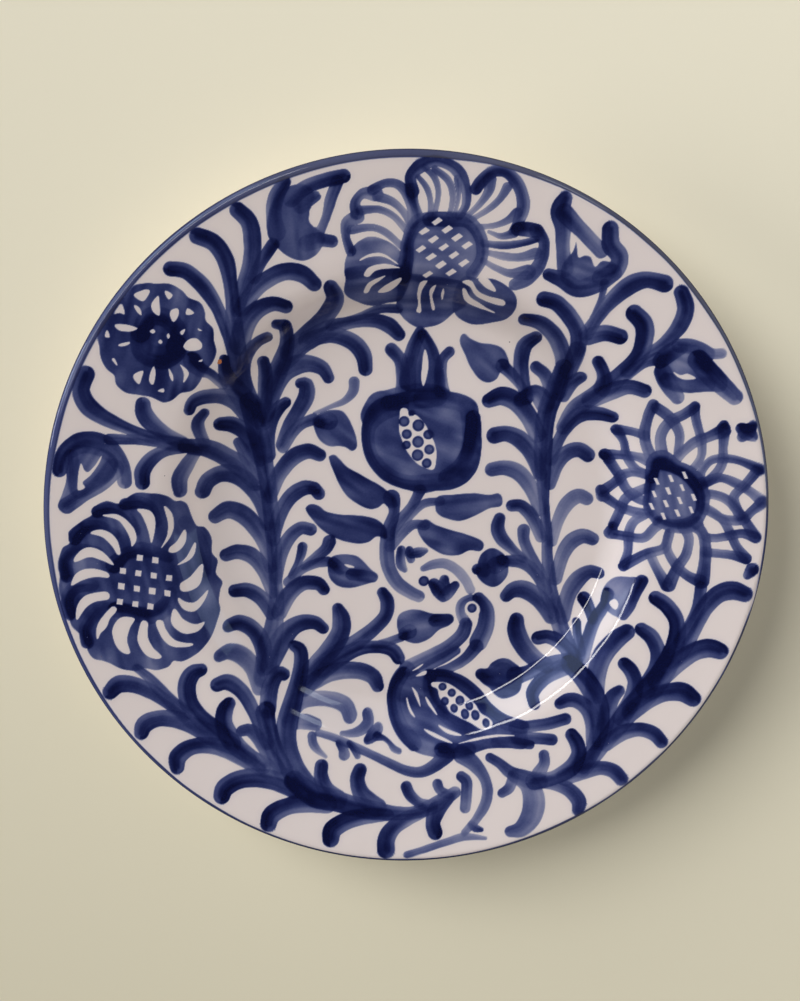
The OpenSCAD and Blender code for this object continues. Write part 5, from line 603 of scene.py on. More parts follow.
        [0.9, [-3.7, -64.8, 5.6], [-6.3, -61.3, 6], [-12, -59.8, 5.4], [-20, -60.3, 6],
         [-28, -63.7, 7], [-36, -69, 8], [-44, -76, 8]],
        [0.8, [-12.8, -77.3, 5.5], [-15, -73, 7], [-20, -70.4, 7.5], [-27, -70.1, 7.5],
         [-34, -71.6, 7.5], [-42, -75.5, 7]],
        [0.5, [-25, -88.5, 6.2], [-27, -84.8, 6.4], [-32.5, -82.3, 6], [-39, -81.4, 5.6],
         [-46, -81.3, 7], [-51, -85, 8]],
        [0.5, [-39.3, -90.7, 4.6], [-44, -89.3, 5.8], [-51, -88.7, 6]],
        [0.9, [-48.7, -58.8, 5], [-46.3, -61, 6], [-46, -66.5, 6.3], [-47.3, -74, 7],
         [-49.5, -81, 8], [-52, -90, 9], [-52, -99, 9], [-49.5, -108, 10], [-44.5, -115.5, 10],
         [-38, -121, 9]],
    ]),
    # Leaves along the bottom of the lip
    "bottom_garland": dict(S=[
        [0.9, [-37.2, -107.5, 5.6], [-37.5, -112, 6], [-35.3, -117.5, 6.6], [-30.5, -122, 8]],
        [0.9, [-49, -113.5, 8], [-41, -120, 9], [-32, -122.5, 9], [-23, -125.3, 8],
         [-14, -127.3, 7.5], [-4, -128.5, 5.5], [5, -127.7, 5.5], [13, -124.2, 6.5],
         [20, -119.8, 5]],
        [0.9, [-20.8, -109.8, 5.8], [-22, -114.2, 6.3], [-19.8, -120.5, 7.2], [-13.5, -125.7, 8]],
        [0.75, [-0.9, -117.3, 4.8], [0.7, -120.8, 4.8], [4.7, -124.3, 4.4], [10, -125.5, 5]],
        [0.6, [12.4, -116.3, 4.4], [14, -119.2, 4], [18.5, -121, 3.6]],
        [0.75, [22.7, -113, 4.4], [25, -115.3, 4.8], [25, -120, 4.8], [24.4, -126.6, 4.6]],
        [0.95, [11.3, -137, 6.4], [10.4, -132.8, 6.4], [12.2, -127.5, 7.4], [16.5, -122.5, 6]],
        [0.95, [-33.5, -138.8, 7.2], [-32.5, -134.8, 8], [-27, -131.5, 7.5], [-19, -129.8, 6.5],
         [-9, -129.3, 5]],
        [0.9, [-9.8, -144.2, 7.5], [-9.6, -139.5, 7.7], [-6.5, -134.7, 7], [-0.5, -131, 6],
         [6, -128, 5.5]],
    ]),
    # Leaves along the lower right of the lip
    "right_garland": dict(S=[
        [0.95, [104.7, -35, 6], [109.5, -38.3, 6.5], [113.3, -44.5, 6.5], [113.3, -52.5, 7],
         [111, -61, 8.5], [106, -70, 9.5], [99, -78.5, 9.5], [91.5, -87.5, 8.5], [85.5, -95.5, 7],
         [80, -103, 6.5], [74, -109.5, 7]],
        [0.9, [141, -32.2, 6.6], [135.7, -30.7, 8], [130, -32.7, 7.6], [125, -38.5, 7],
         [121, -46, 7], [117, -53.5, 8], [112, -61, 8]],
        [0.65, [123, -30, 5], [122, -38, 5], [119, -46, 5], [116, -53, 7]],
        [0.9, [131.5, -57, 7], [126.5, -55.8, 8], [120, -58.2, 7.6], [113, -63.7, 8],
         [106, -70.7, 8]],
        [0.95, [120.7, -77.7, 7], [116, -75, 8.3], [109, -75.7, 7.3], [102, -79, 7.5],
         [95, -84.5, 7.5]],
        [0.85, [107.8, -96.7, 5.5], [104, -93, 6.3], [98, -91.8, 6], [91.5, -93.5, 6.5],
         [84.5, -98.5, 6]],
        [0.8, [91, -113.2, 6], [87.5, -109.8, 6.3], [82, -108.8, 6], [75, -110.6, 6.5],
         [67, -113, 7]],
        [0.75, [72.7, -127.2, 5], [73, -123, 6.5], [69, -118.5, 6.2], [62, -115.8, 5.6],
         [55, -114.8, 6]],
        [0.95, [70, -94.8, 5.5], [72.3, -98.5, 6.3], [72.8, -103.3, 6.3], [69.5, -109, 7],
         [62, -113.3, 6], [54, -115, 7]],
        [0.65, [58.2, -103.6, 4.6], [58.3, -107.3, 4.8], [56, -111.5, 6]],
        [0.9, [92, -63.6, 5.4], [94.9, -66.7, 6.3], [96.6, -72, 6.4], [95, -79.3, 7],
         [91, -86.5, 7.5]],
        [0.75, [90, -75.3, 4.8], [87.3, -78, 6.3], [85.5, -83.3, 6.4], [84, -90.5, 6.5],
         [82, -98, 6]],
        [0.85, [93, -50, 6.6], [88.3, -54, 7.5], [83.2, -60.5, 8], [80.5, -68.5, 8],
         [79.8, -77, 8]],
        [0.85, [99, -48.5, 5.6], [103.3, -52, 6.5], [106, -58.3, 6.5], [105.3, -65.5, 7],
         [101, -74, 8]],
        [0.85, [65, -81.7, 4.6], [69, -79.9, 6], [73, -80.6, 6.3], [77, -84.3, 6.5],
         [79, -90.5, 6.6], [79, -98, 6]],
        [0.95, [70, -66, 7], [75, -70.5, 8.5], [79.5, -77.5, 8.5], [81.8, -85, 8], [81.5, -93, 7],
         [79, -101, 6.5], [74.5, -108, 6.5]],
        [0.75, [35, -105, 4], [39, -107.3, 4.3], [44, -111.3, 5.5], [50, -113.7, 7], [56, -115, 7]],
        [0.6, [40.3, -120.2, 4], [43.4, -117.8, 4.5], [45, -113, 4.5]],
        [0.6, [43.8, -136.6, 4.8], [48.5, -135.3, 7], [52.7, -130, 9], [54, -123, 9.5],
         [51.7, -116.5, 8], [46, -112.5, 6]],
    ]),
    # Bird, with its neck, wing and tail
    "bird": dict(F=[
        [0.72, [0.5, -66.5], [-4.5, -70], [-7.5, -75.5], [-8.7, -82], [-8, -88], [-5.5, -94],
         [-1.5, -99.5], [3.5, -102.8], [9.5, -104.6], [15, -105], [22, -105.2], [29, -103],
         [35, -101.2], [42, -100.8], [50, -101], [51, -96], [50, -90.5], [43, -89], [36, -86],
         [31, -81], [25, -76], [18, -72.5], [12, -71], [6, -71.5]],
    ], S=[
        [0.9, [31, -38.3, 5], [34.3, -43.5, 6.5], [34, -51, 7.5], [31, -58, 8]],
        [0.75, [30, -60, 6], [25.5, -65.3, 5], [19, -69.3, 4.4], [14, -71, 4]],
        [0.75, [25.5, -50, 5.5], [23.5, -55, 6.2], [17, -60.5, 6], [8, -65.3, 6.5], [0, -69.5, 7]],
        [0.6, [21.5, -61.8, 3.6], [16.5, -64.8, 4.4], [8, -69, 4.8], [1, -72.5, 4]],
        [0.6, [27.3, -38.2, 3.4], [23.8, -40.5, 4], [23, -44.7, 4], [25, -48.8, 5]],
        [1, [9.5, -72.5, 4.5], [16, -72.7, 5], [23, -75.5, 5.5], [29, -80.5, 6], [34.5, -86.5, 6],
         [41, -90, 5.5], [49, -91.8, 5.5]],
        [1, [10, -73, 5], [10, -79, 5.4], [12.3, -84.5, 5], [16.5, -88.6, 4.4]],
        [0.65, [14.5, -88.3, 4.4], [20, -92, 4.6], [28, -94, 4.6], [36, -93.5, 4]],
        [0.86, [14, -102, 5], [20, -102.5, 6], [26, -102, 6]],
        [0.95, [-1.5, -71.5, 5], [-5.3, -78, 5.6], [-5.8, -86, 5.6], [-3.2, -93.5, 6],
         [2.5, -99.5, 6]],
        [0.8, [67.3, -88, 5], [61, -90, 5], [54, -91.3, 5], [46, -92.5, 5]],
        [0.8, [61.6, -97, 4.9], [55, -96.5, 5], [47, -96.5, 5.5]],
        [0.8, [52.3, -99.5, 3.6], [46, -98.6, 4], [38, -98.6, 4.4]],
    ], G=[
        [[11, -75.9], [16.7, -76], [21, -78.5], [25.5, -82], [29.5, -85], [31.7, -88], [35, -89.5],
         [36.4, -91], [35.4, -92.6], [31.5, -93.5], [27, -91.5], [22.5, -90], [18.5, -88.2],
         [17, -86], [14.3, -83], [13.3, -79], [10.9, -77.7]],
        [[2.2, -78], [4.3, -80.5], [5.8, -86.5], [4.8, -84.5], [3.6, -81.5]],
        [[-0.1, -82.8], [1.3, -86.8], [3.4, -90.5], [1.5, -89], [0.2, -86]],
        [[8.2, -82.5], [10.8, -86], [12.9, -89.5], [10, -86.7], [8.8, -84.6]],
        [[13.5, -93.1], [18, -94.6], [23, -96.2], [19, -96.1], [15.5, -94.9]],
        [[7.2, -94.5], [12.5, -96.2], [19, -99.2], [13, -97.7], [9, -96]],
        [[2.4, -70.6], [4.5, -69], [7, -67.6], [4.8, -69.6]],
        [[3.8, -73], [6.3, -71.4], [8.4, -70.8], [8, -72.3], [5.5, -73]],
        [[21.7, -99.4], [30, -96.9], [38, -95.6], [45.5, -95.6], [38, -96.2], [30, -97.7]],
        [[25.2, -42], [26.5, -40.2], [29, -40], [31.2, -42], [31.2, -45], [29, -46.8], [26.6, -46],
         [25.3, -44]],
    ]),
    # Pupil of the bird
    "bird_eye": dict(D=[0.9, [28.1, -42.8, 4]]),
    # Dots on the wing of the bird
    "bird_wing_dots": dict(D=[0.85, [15.5, -77.9, 3.7], [19.5, -80.7, 3.7], [23, -83.8, 3.8],
        [27, -85.6, 3.4], [16.5, -84.2, 3.6], [20.4, -86.9, 3.2], [25, -88.7, 3.5],
        [29.4, -88.8, 3.5], [33.7, -91.2, 3]]),
    # Crest of the bird
    "bird_crest": dict(S=[
        [0.45, [7, -25, 2.8], [11, -23.4, 4], [16, -22.9, 4.3], [21, -25.5, 4.4], [25, -30, 4.4],
         [27.3, -34.5, 4.2]],
    ]),
    # Legs and trailing ribbon of the bird
    "bird_legs": dict(S=[
        [0.65, [23, -104, 7.6], [28, -107.5, 6.4], [32.3, -113, 5], [34, -119, 4.6],
         [32.7, -125.5, 4.6], [28.7, -132, 3.8], [24, -137, 3]],
        [0.7, [31.3, -135.9, 1.8], [28.7, -135.2, 3.4], [27, -133.6, 2.6]],
        [0.55, [-0.8, -146.4, 3.2], [8, -143.7, 3], [17, -140.8, 3.2], [24, -138.9, 3.4],
         [33, -139.5, 1.6]],
        [0.7, [16.5, -104, 7], [11, -108.7, 5.5], [5, -111.2, 4.8], [-2, -110.1, 4.2],
         [-10, -106.3, 3.8], [-20, -101.5, 3.4], [-30, -96.8, 3], [-38.5, -93.8, 3]],
    ]),
    # Small sprigs and dots round the bird
    "filler_sprigs": dict(S=[
        [0.75, [-2.5, -16.8, 3.8], [-2.9, -20, 3.9], [-2.5, -23.5, 4.2], [-1, -25.6, 2.4]],
        [0.75, [1, -16.8, 3.2], [0.9, -19, 3.2], [1.7, -21, 3.4]],
        [0.85, [2, -18.5, 3.6], [5, -17.9, 4.5], [7.8, -17.2, 2.4]],
        [1, [11.6, -31.8, 5], [14, -35, 6.5], [15.5, -37, 5.5]],
        [0.8, [16, -30, 4.2], [15.6, -34, 6]],
        [0.9, [20.8, -32.6, 3.6], [17.5, -36, 5.5], [15.6, -37.8, 4.4]],
        [0.6, [-17.3, -88.6, 4.5], [-17, -91.6, 4.8], [-20, -94, 4], [-24, -95, 3],
         [-28.5, -94.7, 2]],
        [0.8, [-17.4, -97.7, 3.4], [-15.3, -96.3, 5], [-12.9, -94, 4.4]],
        [0.8, [-13.5, -96.8, 3.2], [-10.5, -97.4, 2], [-8.2, -99, 2], [-6.3, -101.3, 2.8],
         [-4, -102.4, 2.4]],
        [0.5, [-41.3, -94.9, 3.8], [-40.8, -98, 3.8], [-38.7, -101, 3], [-35.4, -103.8, 1.6]],
        [0.75, [-30, -98.4, 2.2], [-28, -101, 4], [-27.5, -103.2, 5]],
        [0.75, [-25.3, -98.6, 2], [-23, -101.5, 3], [-21.8, -104, 2.6]],
    ], D=[0.95, [7.2, -30.6, 4.5]]),
    # Two small blossoms near the lip at the right
    "rim_blossoms": dict(S=[
        [1, [136.6, 38, 4.6], [139, 36.5, 6.5], [141.2, 34.7, 4.4]],
        [1, [141.2, 39.3, 3.8], [139, 36.5, 6], [137.2, 34.4, 4.4]],
        [0.9, [143.6, -21.5, 5.6], [141.8, -24, 3.6]],
    ]),
}

# Where two motifs meet, the first is cut back from those listed with it
BESIDE = {
    "inner_left_spray": ["top_flower", "upper_leaf_bud", "upper_left_spray"],
    "upper_left_spray": ["upper_left_flower", "upper_left_tulip"],
    "left_mid_spray": ["upper_left_flower", "left_tulip", "upper_left_spray", "inner_left_spray"],
    "left_frond": ["upper_left_spray", "inner_left_spray", "left_mid_spray", "lower_leaf_bud"],
    "lower_left_garland": ["left_flower", "left_frond"],
    "lower_centre_spray": ["left_frond", "lower_left_garland", "lower_centre_bud"],
    "bottom_garland": ["lower_left_garland", "lower_centre_spray"],
    "upper_right_spray": ["upper_right_tulip", "right_tulip", "pomegranate_side_leaf"],
    "right_frond": ["upper_right_spray", "pomegranate_side_leaf", "ball_bud"],
    "right_garland": ["right_flower", "right_frond"],
    "lower_right_bud": ["right_frond", "right_garland"],
    "lower_right_tulip": ["right_frond", "right_garland", "lower_right_bud"],
    "lower_right_leaf": ["right_frond", "right_garland", "lower_right_bud"],
    "pomegranate_branch": ["pomegranate"],
    "bird_legs": ["bird"],
    "filler_sprigs": ["bird_legs"],
    "rim_blossoms": ["right_flower"],
}

# ---------------------------------------------------------------- noise and curves
def value_noise(x, y, pitch, seed):
    """Smooth noise from -1 to 1 with one value every pitch mm."""
    table = np.random.RandomState(seed).rand(64, 64) * 2 - 1
    u = np.asarray(x, float) / pitch + 1000
    v = np.asarray(y, float) / pitch + 1000
    i = np.floor(u).astype(int)
    j = np.floor(v).astype(int)
    fu = u - i
    fv = v - j
    fu = fu * fu * (3 - 2 * fu)
    fv = fv * fv * (3 - 2 * fv)
    row0 = table[j % 64, i % 64] * (1 - fu) + table[j % 64, (i + 1) % 64] * fu
    row1 = table[(j + 1) % 64, i % 64] * (1 - fu) + table[(j + 1) % 64, (i + 1) % 64] * fu
    return row0 * (1 - fv) + row1 * fv


def ramp(x, low, high):
    """Smooth step from 0 at low to 1 at high."""
    t = np.clip((x - low) / (high - low), 0, 1)
    return t * t * (3 - 2 * t)


def bell(sigma, pitch):
    """Weights for smoothing over sigma, and how many there are on each side of the middle."""
    n = int(3 * sigma / pitch) + 1
    k = np.exp(-0.5 * (np.arange(-n, n + 1) * pitch / sigma) ** 2)
    return k / k.sum(), n


def curve(a, b, c, d, t):
    """Point at t between b and c on the smooth curve through four points."""
    return 0.5 * (2 * b + (c - a) * t + (2 * a - 5 * b + 4 * c - d) * t ** 2
                  + (3 * b - a - 3 * c + d) * t ** 3)


def open_curve(points, step=0.8):
    """Smooth curve through points, in steps of about step mm."""
    p = np.array(points, float)
    m = len(p) - 1
    out = []
    for i in range(m):
        n = max(3, int(math.hypot(*(p[i + 1] - p[i])[:2]) / step))
        t = np.arange(n)[:, None] / n
        out.append(curve(p[max(i - 1, 0)], p[i], p[i + 1], p[min(i + 2, m)], t))
    return np.concatenate(out + [p[m:]])


def closed_curve(points, step=0.8):
    """Smooth closed outline through points."""
    p = np.array(points, float)
    m = len(p)
    out = []
    for i in range(m):
        n = max(3, int(math.hypot(*(p[(i + 1) % m] - p[i])) / step))
        t = np.arange(n)[:, None] / n
        out.append(curve(p[i - 1], p[i], p[(i + 1) % m], p[(i + 2) % m], t))
    return np.concatenate(out)


# ---------------------------------------------------------------- the painting as fields
H = 0.3                    # pitch of the square lattice that the paint is worked out on
HALF = 502                 # lattice steps from the middle to each side, just past the lip
AX = np.arange(-HALF, HALF + 1) * H
X, Y = np.meshgrid(AX, AX)
R = np.hypot(X, Y)
FAR = 9.0                  # a depth that stands for far outside any paint
PAD = 1.6                  # how much lattice round a brush mark is worked out with it
EDGE_WOBBLE = 0.10 * value_noise(X, Y, 4.1, 1) + 0.04 * value_noise(X, Y, 1.7, 2)
BLOTCH = 0.6 * value_noise(X, Y, 7, 3) + 0.4 * value_noise(X, Y, 2.6, 4)


def window(points, pad):
    """The part of the lattice that holds some points and pad mm round them."""
    lo = np.clip(((points.min(0)[:2] - pad) / H).astype(int) + HALF - 1, 0, 2 * HALF)
    hi = np.clip(((points.max(0)[:2] + pad) / H).astype(int) + HALF + 2, 1, 2 * HALF + 1)
    return slice(lo[1], hi[1]), slice(lo[0], hi[0])


def segments(a, b, win):
    """For each lattice point of a window and each segment: place along it 0..1, distance, side."""
    x = X[win][None]
    y = Y[win][None]
    ax, ay = a[:, 0, None, None], a[:, 1, None, None]
    bx, by = b[:, 0, None, None] - ax, b[:, 1, None, None] - ay
    t = np.clip(((x - ax) * bx + (y - ay) * by) / np.maximum(bx * bx + by * by, 1e-9), 0, 1)
    dx = x - ax - t * bx
    dy = y - ay - t * by
    return t, np.hypot(dx, dy), np.sign(bx * dy - by * dx)


def thinned(amount, s):
    """An amount of cobalt that gives out just outside its outline, where depth s is negative."""
    return amount * ramp(s, -0.5, -0.1)


def paint_stroke(tone, points, seed):
    """Depth inside the outline, and cobalt, of one brush stroke."""
    q = open_curve(points)
    q[:, 2] = np.maximum(q[:, 2], 0.8) / 2
    win = window(q, q[:, 2].max() + PAD)
    a, b = q[:-1], q[1:]
    t, dist, side = segments(a, b, win)
    rad = a[:, 2, None, None] + t * (b[:, 2] - a[:, 2])[:, None, None]
    k = np.argmax(rad - dist, axis=0)[None]

    def pick(v):
        return np.take_along_axis(v, k, 0)[0]

    length = np.hypot(*(b - a)[:, :2].T)
    along = pick((np.cumsum(length) - length)[:, None, None] + t * length[:, None, None])
    rad, dist, side = pick(rad), pick(dist), pick(side)
    s = rad - dist + EDGE_WOBBLE[win]
    v = side * dist / rad
    rnd = np.random.RandomState(seed)
    lean = rnd.choice([-1, 1]) * rnd.uniform(0.3, 0.8)
    streak = value_noise(along / 16 + seed, v * 2.6, 1, seed)
    hair = value_noise(along / 30 + seed, v * 7.0, 1, seed + 1)
    core = ramp((s + lean * v * rad) / rad, -0.1, 0.9)
    thin = 0.60 + 0.45 * (1 - tone)     # light strokes are flat, dark ones pool along the middle
    fade = 1.06 - 0.34 * ramp(along / max(length.sum(), 1), 0.1, 1.0)
    uneven = 1 + 0.12 * streak + 0.08 * hair + 0.12 * BLOTCH[win]
    amount = tone * (thin + (1.04 - thin) * core) * fade * uneven
    amount += 0.12 * tone * np.exp(-(along / 4.0) ** 2)
    return win, s, thinned(amount, s)


def outline_depth(q, win):
    """Depth inside a closed outline; negative outside."""
    a, b = q, np.roll(q, -1, 0)
    dist = segments(a, b, win)[1].min(0)
    x, y = X[win][None], Y[win][None]
    ax, ay, bx, by = (c[:, None, None] for c in (a[:, 0], a[:, 1], b[:, 0], b[:, 1]))
    falloff_fac = np.where(by == ay, 1e-9, by - ay)
    cross = ((ay > y) != (by > y)) & (x < (bx - ax) * (y - ay) / falloff_fac + ax)
    return np.where(cross.sum(0) % 2 == 1, dist, -dist)


def paint_wash(tone, points, seed):
    """Depth inside the outline, and cobalt, of an area filled with a full brush."""
    q = closed_curve(points)
    win = window(q, PAD)
    s = outline_depth(q, win) + EDGE_WOBBLE[win]
    long_way = np.linalg.eigh(np.cov((q - q.mean(0)).T))[1][:, 1]
    u = X[win] * long_way[0] + Y[win] * long_way[1]
    v = Y[win] * long_way[0] - X[win] * long_way[1]
    streak = value_noise(u / 13 + seed, v / 1.9, 1, seed)
    pool = value_noise(X[win], Y[win], 8.5, seed + 1)
    rim = np.exp(-((s - 0.7) / 0.6) ** 2)
    amount = tone * (0.80 + 0.12 * ramp(s, 0.2, 2.4) + 0.10 * rim) * (
        1 + 0.16 * streak + 0.26 * pool + 0.08 * BLOTCH[win])
    return win, s, thinned(amount, s)


def paint_dot(tone, x, y, width):
    """Depth inside the outline, and cobalt, of a round dot."""
    win = window(np.array([[x, y]]), width / 2 + PAD)
    d = np.hypot(X[win] - x, Y[win] - y)
    s = width / 2 - d + EDGE_WOBBLE[win]
    ring = np.exp(-((s - 0.45) / 0.4) ** 2)
    amount = tone * (0.74 + 0.34 * ring) * (1 + 0.10 * BLOTCH[win])
    return win, s, thinned(amount, s)


def white_squares(grid):
    """Corners of the white squares of a hatched centre."""
    first, a, b = (np.array(grid[k], float) for k in ("first", "step_a", "step_b"))
    for i in range(grid["count_a"][0], grid["count_a"][1] + 1):
        for j in range(grid["count_b"][0], grid["count_b"][1] + 1):
            c = first + i * a + j * b
            if math.hypot(*(c - grid["centre"])) <= grid["reach"]:
                e, f = (w / 2 * np.array([math.cos(math.radians(t)), math.sin(math.radians(t))])
                        for w, t in zip(grid["size"], grid["turn"]))
                yield np.array([c - e - f, c + e - f, c + e + f, c - e + f])


def layer(under, over):
    """Cobalt where one brush mark lies over another."""
    return np.maximum(under, over) + 0.24 * np.minimum(under, over)


def paint_motif(m, seed):
    """Depth and cobalt of one whole motif on the lattice."""
    depth = np.full_like(X, -FAR)
    amount = np.zeros_like(X)
    marks = [paint_wash(f[0], f[1:], seed + 7 * i) for i, f in enumerate(m.get("F", []))]
    marks += [paint_stroke(f[0], f[1:], seed + 300 + 7 * i) for i, f in enumerate(m.get("S", []))]
    for win, s, a in marks:
        depth[win] = np.maximum(depth[win], s)
        amount[win] = layer(amount[win], a)
    white = [closed_curve(g) for g in m.get("G", [])]
    white += list(white_squares(m["L"])) if "L" in m else []
    for q in white:
        win = window(q, PAD)
        opened = 0.15 if len(q) > 4 else 0    # all but the squares are left a little wider
        s = outline_depth(q, win) + 1.3 * EDGE_WOBBLE[win] + opened
        depth[win] = np.minimum(depth[win], -s)
    tone, *dots = m.get("D", [0])
    for x, y, width in dots:
        win, s, a = paint_dot(tone, x, y, width)
        depth[win] = np.maximum(depth[win], s)
        amount[win] = layer(amount[win], a)
    return depth, amount


def turn_noise(theta, count, seed):
    """Noise round the plate, with about count swings to the turn."""
    c = count / (2 * math.pi)
    return value_noise(c * np.cos(theta), c * np.sin(theta), 1, seed)


def band_edge(theta):
    """Radius of the wavy inner edge of the band round the lip."""
    return (147.7 - 1.0 * np.cos(theta - math.radians(130))
            + 0.45 * turn_noise(theta, 14, 21) + 0.30 * turn_noise(theta, 55, 22))


def band_amount(r, theta, drop):
    """Cobalt of the band; drop is how far below the crown a point on the outside is."""
    worn = 0.62 + 0.09 * turn_noise(theta, 30, 23) + 0.10 * turn_noise(theta, 9, 24)
    s = r - band_edge(theta)
    pooled = 0.30 * np.exp(-((s - 0.25) / 0.28) ** 2) + 0.30 * ramp(r, 149.2, 149.8)
    return (worn + pooled) * ramp(s, -0.2, 0.25) * (1 - ramp(drop, 1.6, 3.0))


def band_grey(r, theta):
    """How brownish-grey the thin band looks: most at the right of the plate."""
    grey = 0.30 + 0.22 * np.cos(theta - math.radians(30)) + 0.10 * turn_noise(theta, 20, 25)
    return np.clip(grey, 0.05, 0.6) * ramp(r - band_edge(theta), -0.1, 0.4)


def blurred_field(f, sigma):
    """A field of the lattice smoothed over sigma both ways."""
    k, n = bell(sigma, H)
    for _ in range(2):
        padded = np.pad(f, [(n, n), (0, 0)], mode="edge")
        f = np.apply_along_axis(lambda c: np.convolve(c, k, mode="valid"), 0, padded).T
    return f


# ---------------------------------------------------------------- all the motifs together
depths = {}
depth_all = np.full_like(X, -FAR)
raw = np.zeros_like(X)
for index, (name, motif) in enumerate(MOTIFS.items()):
    depths[name], amount = paint_motif(motif, 1000 * (index + 1))
    raw = np.where(depths[name] > -0.6, layer(raw, amount), raw)
    depth_all = np.maximum(depth_all, depths[name])
# wet strokes run into each other: the amounts mix inside the painted area, and thin out at its edge
mask = ramp(depth_all, -0.16, 0.16)
mixed = blurred_field(raw * mask, 0.6) / np.maximum(blurred_field(mask, 0.6), 1e-3)
raw = np.clip(0.5 * raw + 0.5 * mixed, 0, 1.25)
raw = raw ** 1.4    # thin paint looks thinner still, thick paint darker
inner = ramp(blurred_field(mask, 0.45), 0.50, 0.95)
cobalt = mask * raw * (0.84 + 0.16 * inner)
band = band_amount(R, np.arctan2(Y, X), 0 * X)
cobalt = np.where(band > 0.3, 0.35 * cobalt + band, layer(cobalt, band))
cobalt = np.clip(cobalt, 0, 1.3)
halo = 0.05 * blurred_field(np.minimum(cobalt, 1), 1.3)
cobalt = np.maximum(cobalt, halo)


def sample(field, x, y):
    """A field of the lattice read between its points."""
    u = np.clip(np.asarray(x) / H + HALF, 0, 2 * HALF - 1.001)
    v = np.clip(np.asarray(y) / H + HALF, 0, 2 * HALF - 1.001)
    i, j = u.astype(int), v.astype(int)
    fu, fv = u - i, v - j
    return ((field[j, i] * (1 - fu) + field[j, i + 1] * fu) * (1 - fv)
            + (field[j + 1, i] * (1 - fu) + field[j + 1, i + 1] * fu) * fv)


# ---------------------------------------------------------------- the surface
def resampled(path, step):
    """Points at even steps along a path."""
    p = np.array(path, float)
    d = np.concatenate([[0], np.cumsum(np.hypot(*(p[1:] - p[:-1]).T))])
    t = np.linspace(0, d[-1], int(d[-1] / step) + 1)
    return np.stack([np.interp(t, d, p[:, 0]), np.interp(t, d, p[:, 1])], 1)


def arc(radius, start, end, n):
    """Points on an arc round the centre of the lip, from one angle to another."""
    return [(LIP_C[0] + radius * math.cos(math.radians(start + (end - start) * i / n)),
             LIP_C[1] + radius * math.sin(math.radians(start + (end - start) * i / n)))
            for i in range(n + 1)]


def rounded(path, sigma, step=0.1):
    """A path with its corners softened; its two ends stay where they are."""
    p = resampled(path, step)
    k, n = bell(sigma, step)
    padded = np.concatenate([2 * p[0] - p[n:0:-1], p, 2 * p[-1] - p[-2:-n - 2:-1]])
    return np.stack([np.convolve(padded[:, c], k, mode="valid") for c in (0, 1)], 1)


FACE_LINE = rounded([(-FACE[1][0], FACE[1][1])] + FACE + arc(LIP_R, 88, 0, 12), 1.1)
FACE_LINE = FACE_LINE[FACE_LINE[:, 0] >= 0]


def face_z(r):
    """Height of the glazed face."""
    top = int(np.argmax(FACE_LINE[:, 0]))
    return np.interp(r, FACE_LINE[:top, 0], FACE_LINE[:top, 1])


def swell(x, y):
    """The slight unevenness of a hand-thrown, hand-dipped face, in mm."""
    r = np.hypot(x, y)
    lift = 0.07 * value_noise(x, y, 27, 31) + 0.035 * value_noise(x, y, 11, 32)
    return lift * (1 - ramp(r, 138, 146))


def face_normals(x, y, sides):
    """Directions square to the even surface of the face; sides is 1 on top and -1 below."""
    e = 0.25

    def z(u, v):
        return face_z(np.hypot(u, v)) + swell(u, v)

    n = np.stack([(z(x - e, y) - z(x + e, y)) / (2 * e), (z(x, y - e) - z(x, y + e)) / (2 * e),
                  np.ones_like(x)], 1)
    return n / np.linalg.norm(n, axis=1)[:, None] * sides[:, None]


LAYER_STEP = 0.0006        # each motif stands this much above the one before
SUNK = 0.12                # how far the under side of a painted skin lies in the glaze


def skin_height(amount):
    """How far a painted skin stands above the glaze; its bare edge dips just under it."""
    return -0.008 + 0.022 * ramp(amount, 0.0, 0.2)


# ---------------------------------------------------------------- mesh building
def make_object(name, verts, faces, amount=None, normals=None, grey=None):
    """An object from mm lists, with its cobalt and grey amounts as attributes of its points."""
    mesh = bpy.data.meshes.new(name)
    mesh.from_pydata((np.asarray(verts) * MM).tolist(), [], faces)
    mesh.update()
    for key, values in (("cobalt", amount), ("grey", grey)):
        if values is not None:
            attribute = mesh.attributes.new(key, "FLOAT", "POINT")
            attribute.data.foreach_set("value", np.asarray(values, np.float32))
    mesh.polygons.foreach_set("use_smooth", np.ones(len(mesh.polygons), bool))
    if normals is not None:
        mesh.normals_split_custom_set_from_vertices(normals.tolist())
    obj = bpy.data.objects.new(name, mesh)
    bpy.context.scene.collection.objects.link(obj)
    return obj


def turned(rows, n):
    """Vertices and faces of a surface of revolution. rows is a list of (r, z) or of functions of
    the angle giving (r, z) arrays; a row at r = 0 is a single point. A closed path repeats no
    row."""
    theta = np.arange(n) * 2 * math.pi / n
    verts, start = [], []
    total = 0
    for row in rows:
        r, z = row(theta) if callable(row) else row
        single = np.isscalar(r) and r == 0
        start.append((total, single))
        if single:
            x = y = np.zeros(1)
            zz = np.zeros(1) + z
        else:
            x, y = r * np.cos(theta), r * np.sin(theta)
            zz = np.zeros(n) + z
        verts.append(np.stack([x, y, zz], 1))
        total += len(x)
    ends_on_axis = start[0][1] and start[-1][1]
    pairs = list(zip(range(len(rows) - 1), range(1, len(rows))))
    if not ends_on_axis:
        pairs.append((len(rows) - 1, 0))
    faces = []
    i = np.arange(n)
    j = (i + 1) % n
    for a, b in pairs:
        (sa, one_a), (sb, one_b) = start[a], start[b]
        if one_a:
            faces += np.stack([np.full(n, sa), sb + j, sb + i], 1)[:, ::-1].tolist()
        elif one_b:
            faces += np.stack([sa + i, sa + j, np.full(n, sb)], 1)[:, ::-1].tolist()
        else:
            faces += np.stack([sa + i, sb + i, sb + j, sa + j], 1).tolist()
    return np.concatenate(verts), faces


